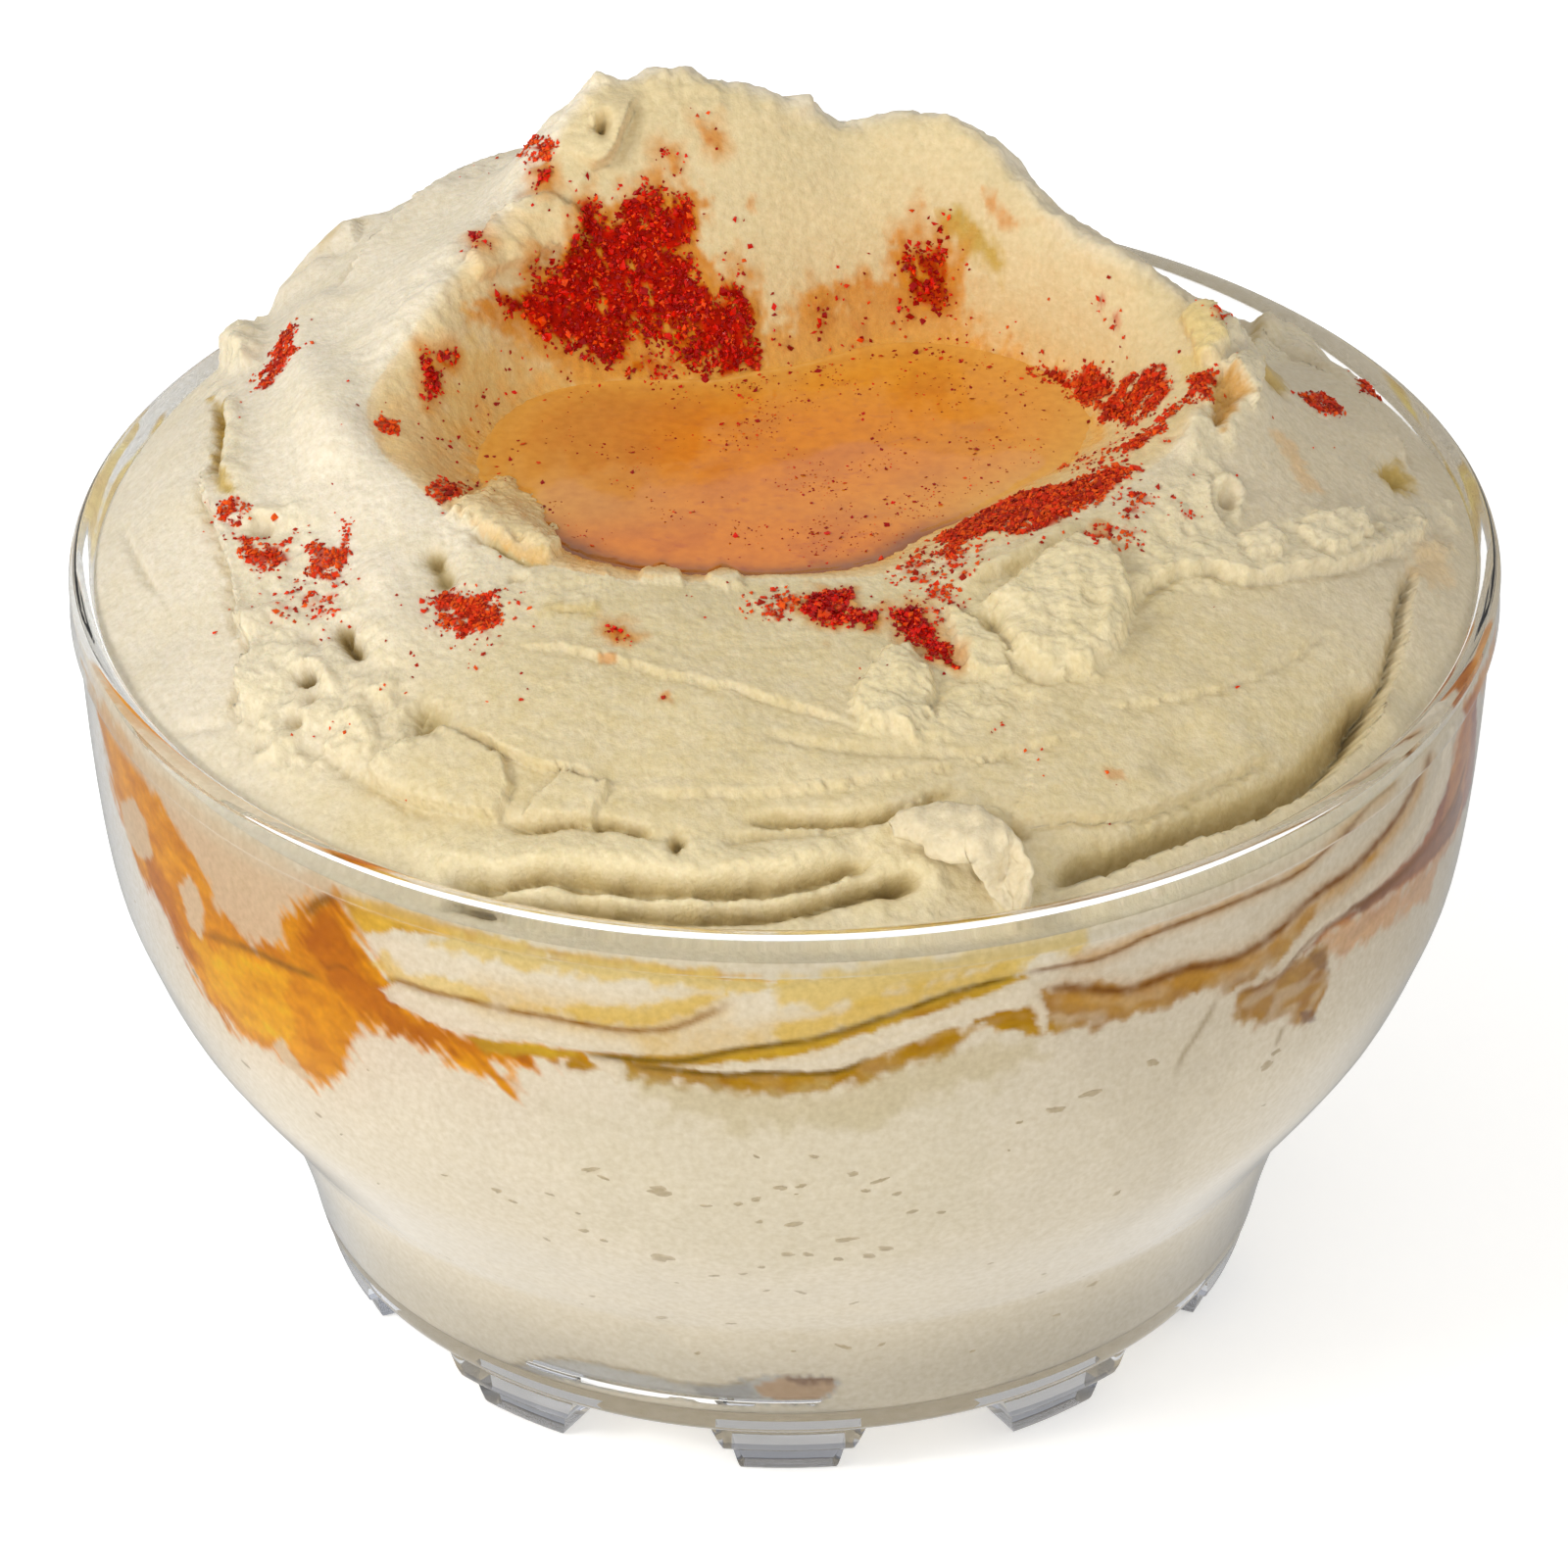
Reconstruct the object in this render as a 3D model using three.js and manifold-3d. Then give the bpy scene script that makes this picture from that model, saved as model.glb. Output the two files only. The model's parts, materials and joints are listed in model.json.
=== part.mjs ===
// Hummus in a round stacking glass bowl: a footed glass bowl, the mound of
// hummus that fills it and rises over the rim, and the pool of oil in the
// crater on top. Millimetres, +Z up, front of the bowl towards -Y, origin on
// the ground in the middle of the feet.
import * as THREE from 'three';
import { mergeVertices } from 'three/addons/utils/BufferGeometryUtils.js';
import Module from 'manifold-3d';

const wasm = await Module();
wasm.setup();

// ---------------------------------------------------------------- dimensions
const RIM_R = 70;            // outer radius at the rim
const RIM_H = 78.6;          // rim height above the ground
const LIP_H = 4.6;           // height of the rolled lip band
const LIP_OUT = 0.7;         // how far the band stands proud of the body
const WALL = 1.8;            // glass wall
const FLOOR_T = 2.8;         // glass floor
const BASE_Z = 5.0;          // underside of the base, carried by the feet
const SEG = 60;              // segments round the bowl
// outer wall stations, height : radius, from the base curve up to the lip
const OUTER = [[5.35, 45.6], [6.6, 47.3], [10, 48.1], [16, 49.9], [22, 52.6], [26.5, 55.3],
  [30, 57.8], [33, 59.9], [37, 62.4], [42, 64.6], [48, 66.7], [54, 67.7], [67, 68.9]];

const FOOT_N = 10;           // feet, one of them at the front
const FOOT_OUT = 44.4;       // outer radius of a foot on the ground
const FOOT_IN = 39.6;        // inner radius of a foot on the ground
const FOOT_HALF = 6.0;       // half angle of a foot on the ground, degrees
const FOOT_STEP_Z = 3.2;     // height of the step in a foot
const FOOT_TOP_R = 47.25;    // outer radius where a foot meets the wall
const FOOT_TOP_HALF = 9.7;   // half angle there

const GAP = 0.35;            // clearance between neighbouring solids

const CRATER = [-2, 2];      // centre of the crater in plan
const WELL_Z = 80.5;         // bottom of the crater, under the oil
const OIL_Z = 88;            // level of the oil
const AZ_N = 60;             // spokes round the mound
// the mound by compass direction, every 30 degrees from the front, anticlockwise
// seen from above: crest radius, crest height, pool radius, height a third and
// two thirds of the way down the flank, and height at the glass
const SPOKES = [
  [25.0, 89.5, 22.5, 87.5, 82.5, 75.0],
  [28.0, 90.0, 22.5, 88.0, 83.0, 75.0],
  [35.5, 92.0, 23.0, 88.5, 82.5, 75.5],
  [44.5, 95.5, 30.0, 88.5, 83.0, 77.5],
  [38.5, 100.5, 32.0, 88.0, 81.0, 76.0],
  [38.5, 107.0, 25.0, 93.0, 82.0, 75.0],
  [34.5, 109.0, 16.5, 98.0, 87.0, 77.0],
  [37.0, 109.5, 17.0, 99.0, 92.0, 78.0],
  [33.5, 101.0, 26.5, 95.0, 88.5, 78.0],
  [38.5, 94.5, 31.0, 90.0, 84.5, 77.5],
  [34.0, 91.5, 27.0, 87.5, 82.5, 76.5],
  [30.0, 90.0, 24.5, 87.5, 82.5, 75.0],
];
// swept ridges and grooves left by the spoon, each an arc round the crater:
// start and end azimuth, start and end radius, height (minus for a groove), width
const SWEEPS = [
  [26, 84, 67.0, 62.0, -3.4, 2.6],     // deep groove on the right
  [28, 80, 62.0, 57.5, 1.5, 3.2],      // its inner bank
  [225, 318, 50.5, 41.5, 2.0, 2.4],    // outer swirl on the left
  [262, 312, 55.0, 57.0, 1.2, 2.6],    // second swirl on the left
  [250, 285, 52.5, 50.0, -1.6, 2.0],   // groove between the two
  [328, 374, 66.2, 61.5, -2.0, 1.5],   // front fold
  [322, 372, 62.6, 59.0, 1.3, 2.2],    // roll above the front fold
  [0, 22, 57.0, 57.2, -1.0, 1.6],      // short front groove
  [34, 60, 33.0, 36.5, 1.3, 1.8],      // ridge along the pool
  [56, 98, 41.0, 63.0, 1.5, 2.2],      // lumpy ridge on the right
  [98, 124, 45.0, 60.0, 2.0, 2.4],     // ridge at the right rear
  [205, 240, 52.0, 57.0, 1.8, 3.4],    // curl at the left rear
];
// single lumps and hollows: azimuth, radius, height, width
const LUMPS = [
  [50, 46, 1.6, 3.4], [12, 42, 1.4, 3.2], [27, 38, 1.2, 2.8], [20, 64, 1.8, 4.0],
  [239, 59.5, 4.0, 3.6], [292, 33.5, 1.2, 2.6], [89, 45, -2.2, 3.0], [104, 52, -1.0, 6.0],
  [313, 61, -1.2, 3.0], [188, 37.5, 1.2, 3.0], [152, 39, 1.2, 3.6],
];

// ------------------------------------------------------------------- helpers
const rad = THREE.MathUtils.degToRad;
const clamp = THREE.MathUtils.clamp;

// closed manifold solid from a three.js geometry
function solid(geometry) {
  const g = geometry.clone();
  g.deleteAttribute('normal');
  g.deleteAttribute('uv');
  const m = mergeVertices(g, 1e-4);
  const s = new wasm.Manifold(new wasm.Mesh({
    numProp: 3,
    vertProperties: new Float32Array(m.attributes.position.array),
    triVerts: new Uint32Array(m.index.array),
  }));
  if (!(s.volume() > 0)) throw new Error('a solid is open or inside out');
  return s;
}

function geometryOf(manifold) {
  const m = manifold.getMesh();
  const g = new THREE.BufferGeometry();
  g.setAttribute('position', new THREE.BufferAttribute(new Float32Array(m.vertProperties), 3));
  g.setIndex(new THREE.BufferAttribute(new Uint32Array(m.triVerts), 1));
  g.computeVertexNormals();
  return g;
}

// smooth curve through points (x rising), shape preserving
function smooth(xs, ys) {
  const n = xs.length;
  const h = xs.slice(1).map((x, i) => x - xs[i]);
  const s = h.map((d, i) => (ys[i + 1] - ys[i]) / d);
  const t = ys.map((_, i) => {
    if (i === 0) return s[0];
    if (i === n - 1) return s[n - 2];
    if (s[i - 1] * s[i] <= 0) return 0;
    return 3 * (h[i - 1] + h[i]) / ((2 * h[i] + h[i - 1]) / s[i - 1] + (h[i] + 2 * h[i - 1]) / s[i]);
  });
  return (x) => {
    let i = 0;
    while (i < n - 2 && x > xs[i + 1]) i += 1;
    const u = clamp((x - xs[i]) / h[i], 0, 1);
    const u2 = u * u;
    const u3 = u2 * u;
    return (2 * u3 - 3 * u2 + 1) * ys[i] + (u3 - 2 * u2 + u) * h[i] * t[i]
      + (3 * u2 - 2 * u3) * ys[i + 1] + (u3 - u2) * h[i] * t[i + 1];
  };
}

// value of a column of SPOKES at an azimuth, periodic smooth blend
function around(column, az) {
  const n = SPOKES.length;
  const a = (((az % 360) + 360) % 360) / (360 / n);
  const i = Math.floor(a);
  const u = a - i;
  const p = [-1, 0, 1, 2].map((k) => SPOKES[(i + k + n) % n][column]);
  return 0.5 * (2 * p[1] + (p[2] - p[0]) * u + (2 * p[0] - 5 * p[1] + 4 * p[2] - p[3]) * u * u
    + (3 * p[1] - p[0] - 3 * p[2] + p[3]) * u * u * u);
}

// closed solid from rings of points: a pole, rings outwards, a last pole
function ringSolid(first, rings, last) {
  const n = rings[0].length;
  const pos = [...first];
  rings.forEach((ring) => ring.forEach((p) => pos.push(...p)));
  pos.push(...last);
  const id = (r, k) => 1 + r * n + (k % n);
  const end = 1 + rings.length * n;
  const idx = [];
  for (let k = 0; k < n; k += 1) idx.push(0, id(0, k), id(0, k + 1));
  for (let r = 0; r + 1 < rings.length; r += 1) {
    for (let k = 0; k < n; k += 1) {
      idx.push(id(r, k), id(r + 1, k), id(r + 1, k + 1), id(r, k), id(r + 1, k + 1), id(r, k + 1));
    }
  }
  for (let k = 0; k < n; k += 1) idx.push(end, id(rings.length - 1, k + 1), id(rings.length - 1, k));
  const g = new THREE.BufferGeometry();
  g.setAttribute('position', new THREE.Float32BufferAttribute(pos, 3));
  g.setIndex(idx);
  g.computeVertexNormals();
  return g;
}

// ---------------------------------------------------------------------- bowl
const outerR = smooth(OUTER.map((p) => p[0]).concat(RIM_H - LIP_H), OUTER.map((p) => p[1]).concat(RIM_R - LIP_OUT));
// inner wall stations, top to bottom: the outer wall set in along its own normal
const FLOOR_Z = BASE_Z + FLOOR_T;
const INNER_CORNER = 3.5;    // inside radius where the floor turns up
const INNER = [67, 54, 42, 33, 26.5, 16, FLOOR_Z + INNER_CORNER].map((z) => {
  const slope = (outerR(z + 0.5) - outerR(z)) / 0.5;
  return [z, outerR(z) - WALL * Math.sqrt(1 + slope * slope)];
});
const INNER_TOP = [RIM_H - 0.7, RIM_R - WALL - 0.25];
// inner wall radius at a height, straight between stations
function innerR(z) {
  const all = [INNER_TOP, ...INNER];
  let i = 0;
  while (i < all.length - 2 && z < all[i + 1][0]) i += 1;
  const [z1, r1] = all[i];
  const [z0, r0] = all[i + 1];
  return r0 + (r1 - r0) * (z - z0) / (z1 - z0);
}

function bowlProfile() {
  const pts = [[0, BASE_Z], [36.4, BASE_Z], [37.2, BASE_Z - 0.15]];
  OUTER.forEach(([z, r]) => pts.push([r, z]));
  pts.push([RIM_R - LIP_OUT, RIM_H - LIP_H - 0.5]);
  pts.push([RIM_R - 0.15, RIM_H - LIP_H + 0.1]);
  pts.push([RIM_R, RIM_H - LIP_H + 0.9]);
  pts.push([RIM_R, RIM_H - 0.8]);
  pts.push([RIM_R - 0.5, RIM_H]);
  pts.push([RIM_R - WALL + 0.3, RIM_H]);
  pts.push([INNER_TOP[1], INNER_TOP[0]]);
  INNER.forEach(([z, r]) => pts.push([r, z]));
  const rc = INNER[INNER.length - 1][1];
  for (let k = 1; k <= 3; k += 1) {
    const a = rad(90 * k / 3);
    pts.push([rc - INNER_CORNER * (1 - Math.cos(a)), FLOOR_Z + INNER_CORNER * (1 - Math.sin(a))]);
  }
  pts.push([0, FLOOR_Z]);
  return pts.map(([r, z]) => new THREE.Vector2(r, z));
}

// a foot: two stacked tapered blocks that follow the base circle
function footBlock(low, high) {
  const n = 3;
  const ring = ([z, rIn, rOut, half]) => {
    const out = [];
    for (let k = 0; k <= n; k += 1) {
      const a = rad(-half + 2 * half * k / n);
      out.push([rOut * Math.sin(a), -rOut * Math.cos(a), z]);
    }
    for (let k = n; k >= 0; k -= 1) {
      const a = rad(-half + 2 * half * k / n);
      out.push([rIn * Math.sin(a), -rIn * Math.cos(a), z]);
    }
    return out;
  };
  const mid = ([z, rIn, rOut]) => [0, -(rIn + rOut) / 2, z];
  return ringSolid(mid(high), [ring(high), ring(low)], mid(low));
}

function makeBowl() {
  const lathe = new THREE.LatheGeometry(bowlProfile(), SEG);
  lathe.rotateX(Math.PI / 2);
  let body = solid(lathe);
  const upper = footBlock([FOOT_STEP_Z, 38.2, 46.2, 7.7], [7.0, 36.6, FOOT_TOP_R - 0.25, FOOT_TOP_HALF]);
  const lower = footBlock([0, FOOT_IN, FOOT_OUT, FOOT_HALF], [FOOT_STEP_Z + 0.4, 38.8, 45.3, 7.1]);
  for (let k = 0; k < FOOT_N; k += 1) {
    for (const g of [upper, lower]) {
      const c = g.clone();
      c.rotateZ(2 * Math.PI * k / FOOT_N);
      body = body.add(solid(c));
    }
  }
  return geometryOf(body);
}

// --------------------------------------------------------------------- mound
// distance across and share along a sweep, at azimuth az and radius r
function sweepHeight([a0, a1, r0, r1, height, width], az, r) {
  let a = az;
  while (a < a0 - 40) a += 360;
  while (a > a0 + 320) a -= 360;
  const t = (a - a0) / (a1 - a0);
  const path = r0 + (r1 - r0) * clamp(t, 0, 1);
  const past = t < 0 ? -t * (a1 - a0) : t > 1 ? (t - 1) * (a1 - a0) : 0;
  const along = Math.exp(-((rad(past) * r) ** 2) / (4 * width * width));
  return height * along * Math.exp(-(((r - path) / width) ** 2));
}

function lumpHeight([az0, r0, height, width], az, r) {
  const dx = r * Math.sin(rad(az)) - r0 * Math.sin(rad(az0));
  const dy = r * Math.cos(rad(az)) - r0 * Math.cos(rad(az0));
  return height * Math.exp(-(dx * dx + dy * dy) / (width * width));
}

const TOP_EDGE = 2.2;        // roll-off beside the glass

function spoke(az) {
  const dx = Math.sin(rad(az));
  const dy = -Math.cos(rad(az));
  const [crestR, crestZ, poolR, z1, z2, wallZ] = [0, 1, 2, 3, 4, 5].map((c) => around(c, az));
  const wallR = innerR(wallZ) - GAP;
  const b = CRATER[0] * dx + CRATER[1] * dy;
  const reach = -b + Math.sqrt(b * b - (CRATER[0] ** 2 + CRATER[1] ** 2 - wallR * wallR));
  const flank = reach - crestR;
  const xs = [0, poolR * 0.5, poolR, crestR, crestR + 0.35 * flank, crestR + 0.7 * flank, reach - TOP_EDGE, reach];
  const zs = [WELL_Z, WELL_Z + 0.35 * (OIL_Z - WELL_Z), OIL_Z, crestZ, z1, z2, wallZ + 1.2, wallZ - 1.0];
  return { dx, dy, poolR, crestR, reach, wallZ: wallZ - 1.0, height: smooth(xs, zs) };
}

function relief(az, r, s) {
  let d = 0;
  SWEEPS.forEach((w) => { d += sweepHeight(w, az, r); });
  LUMPS.forEach((l) => { d += lumpHeight(l, az, r); });
  // nothing inside the pool, and nothing at the glass
  const inPool = clamp((r - s.poolR - 0.5) / 3, 0, 1);
  const atWall = clamp((s.reach - r) / 2.5, 0, 1);
  return d * inPool * atWall;
}

function makeHummus() {
  const inner = 4;             // rings over the pool
  const slope = 5;             // rings up the crater
  const outer = 15;            // rings down the flank
  const rings = [];
  const spokes = [];
  for (let k = 0; k < AZ_N; k += 1) spokes.push(spoke(k * 360 / AZ_N));
  const ringAt = (rOf) => spokes.map((s, k) => {
    const r = rOf(s);
    const az = k * 360 / AZ_N;
    return [CRATER[0] + r * s.dx, CRATER[1] + r * s.dy, s.height(r) + relief(az, r, s)];
  });
  for (let i = 1; i <= inner; i += 1) rings.push(ringAt((s) => s.poolR * i / inner));
  for (let i = 1; i <= slope; i += 1) rings.push(ringAt((s) => s.poolR + (s.crestR - s.poolR) * i / slope));
  for (let i = 1; i <= outer; i += 1) rings.push(ringAt((s) => s.crestR + (s.reach - s.crestR) * i / outer));
  // down the inside of the glass: each ring keeps the azimuth of the edge above it
  const edge = rings[rings.length - 1];
  INNER.forEach(([z, rIn]) => rings.push(edge.map(([x, y]) => {
    const a = Math.atan2(y, x);
    const r = rIn - GAP - 0.1;
    return [r * Math.cos(a), r * Math.sin(a), z];
  })));
  [[1.1, 1.0], [3.6, GAP]].forEach(([inset, up]) => rings.push(edge.map(([x, y]) => {
    const a = Math.atan2(y, x);
    const r = innerR(FLOOR_Z + INNER_CORNER) - GAP - 0.1 - inset;
    return [r * Math.cos(a), r * Math.sin(a), FLOOR_Z + up];
  })));
  return ringSolid([CRATER[0], CRATER[1], WELL_Z], rings, [0, 0, FLOOR_Z + GAP]);
}

function makeOil() {
  const n = 4;
  const edge = 0.94;           // share of the pool radius that the oil solid reaches
  const low = [];
  for (let i = n; i >= 1; i -= 1) low.push(i / n * edge);
  const spokes = [];
  for (let k = 0; k < AZ_N; k += 1) spokes.push(spoke(k * 360 / AZ_N));
  const at = (s, r, z) => [CRATER[0] + r * s.dx, CRATER[1] + r * s.dy, z];
  const rings = [spokes.map((s) => at(s, s.poolR * edge * 0.5, OIL_Z)), spokes.map((s) => at(s, s.poolR * edge, OIL_Z))];
  low.forEach((f) => rings.push(spokes.map((s) => at(s, s.poolR * f, Math.min(s.height(s.poolR * f) + GAP + 0.05, OIL_Z - 0.2)))));
  return ringSolid([CRATER[0], CRATER[1], OIL_Z], rings, [CRATER[0], CRATER[1], WELL_Z + GAP + 0.05]);
}

// --------------------------------------------------------------------- scene
function mesh(name, geometry, color, roughness, extra = {}) {
  const m = new THREE.Mesh(geometry, new THREE.MeshStandardMaterial({ color, roughness, metalness: 0, ...extra }));
  m.name = name;
  return m;
}

const group = new THREE.Group();
group.add(mesh('bowl', makeBowl(), 0xe6eaea, 0.04, { transparent: true, opacity: 0.3 }));
group.add(mesh('hummus', makeHummus(), 0xdccba6, 0.55));
group.add(mesh('oil_pool', makeOil(), 0xd2862f, 0.08, { transparent: true, opacity: 0.9 }));

export default group;
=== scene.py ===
"""Looks for a bowl of hummus: a clear footed bowl filled with a spun mound of hummus, a pool of spiced oil in its
crater and ground paprika over it. Lengths in the tables are millimetres in the row frame; meshes are made in metres."""

import json
import math

import bmesh
import bpy
import numpy as np
from mathutils import Matrix, Vector

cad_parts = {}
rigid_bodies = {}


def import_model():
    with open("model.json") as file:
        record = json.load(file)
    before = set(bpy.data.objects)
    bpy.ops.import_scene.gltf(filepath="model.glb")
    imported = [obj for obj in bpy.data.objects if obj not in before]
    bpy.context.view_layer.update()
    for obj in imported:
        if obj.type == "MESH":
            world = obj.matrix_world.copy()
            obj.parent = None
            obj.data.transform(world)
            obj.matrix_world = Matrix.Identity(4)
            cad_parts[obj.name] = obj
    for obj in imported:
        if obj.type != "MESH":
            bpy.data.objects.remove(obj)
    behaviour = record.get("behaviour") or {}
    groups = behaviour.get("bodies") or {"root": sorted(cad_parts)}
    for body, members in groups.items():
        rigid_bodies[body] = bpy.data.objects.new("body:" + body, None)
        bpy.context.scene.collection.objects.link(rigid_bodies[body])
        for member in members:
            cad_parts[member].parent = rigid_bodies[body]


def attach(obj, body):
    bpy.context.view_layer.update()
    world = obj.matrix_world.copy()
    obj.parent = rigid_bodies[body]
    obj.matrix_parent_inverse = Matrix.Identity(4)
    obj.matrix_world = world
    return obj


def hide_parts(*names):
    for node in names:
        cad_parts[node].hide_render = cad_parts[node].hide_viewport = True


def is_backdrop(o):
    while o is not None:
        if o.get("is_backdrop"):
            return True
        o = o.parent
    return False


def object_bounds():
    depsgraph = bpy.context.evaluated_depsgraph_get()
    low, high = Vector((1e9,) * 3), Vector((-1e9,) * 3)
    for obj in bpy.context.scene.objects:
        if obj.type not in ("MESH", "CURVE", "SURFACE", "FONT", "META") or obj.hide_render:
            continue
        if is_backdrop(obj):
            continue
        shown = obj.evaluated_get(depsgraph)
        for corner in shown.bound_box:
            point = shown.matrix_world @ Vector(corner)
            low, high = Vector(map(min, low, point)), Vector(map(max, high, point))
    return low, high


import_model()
cad_lo, cad_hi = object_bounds()
MM = 0.001
scene = bpy.context.scene

# ---------------------------------------------------------------- camera
T = np.array([-0.1607, 0.0, 51.5531])
EL, ROLL, DIST = math.radians(32.221), math.radians(-0.2462), 1100.0
FWD = np.array([0.0, math.cos(EL), -math.sin(EL)])
RIGHT0 = np.array([1.0, 0.0, 0.0])
UP0 = np.cross(RIGHT0, FWD)
RIGHT = RIGHT0 * math.cos(ROLL) + UP0 * math.sin(ROLL)
UP = -RIGHT0 * math.sin(ROLL) + UP0 * math.cos(ROLL)
LOC = (T - FWD * DIST) * MM
cam_data = bpy.data.cameras.new("camera")
cam_data.lens, cam_data.sensor_width = 254.79, 36.0
cam_data.clip_start, cam_data.clip_end = 0.05, 50.0
cam = bpy.data.objects.new("camera", cam_data)
scene.collection.objects.link(cam)
cam.matrix_world = Matrix([[RIGHT[i], UP[i], -FWD[i], LOC[i]] for i in range(3)] + [[0, 0, 0, 1]])
scene.camera = cam

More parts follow.
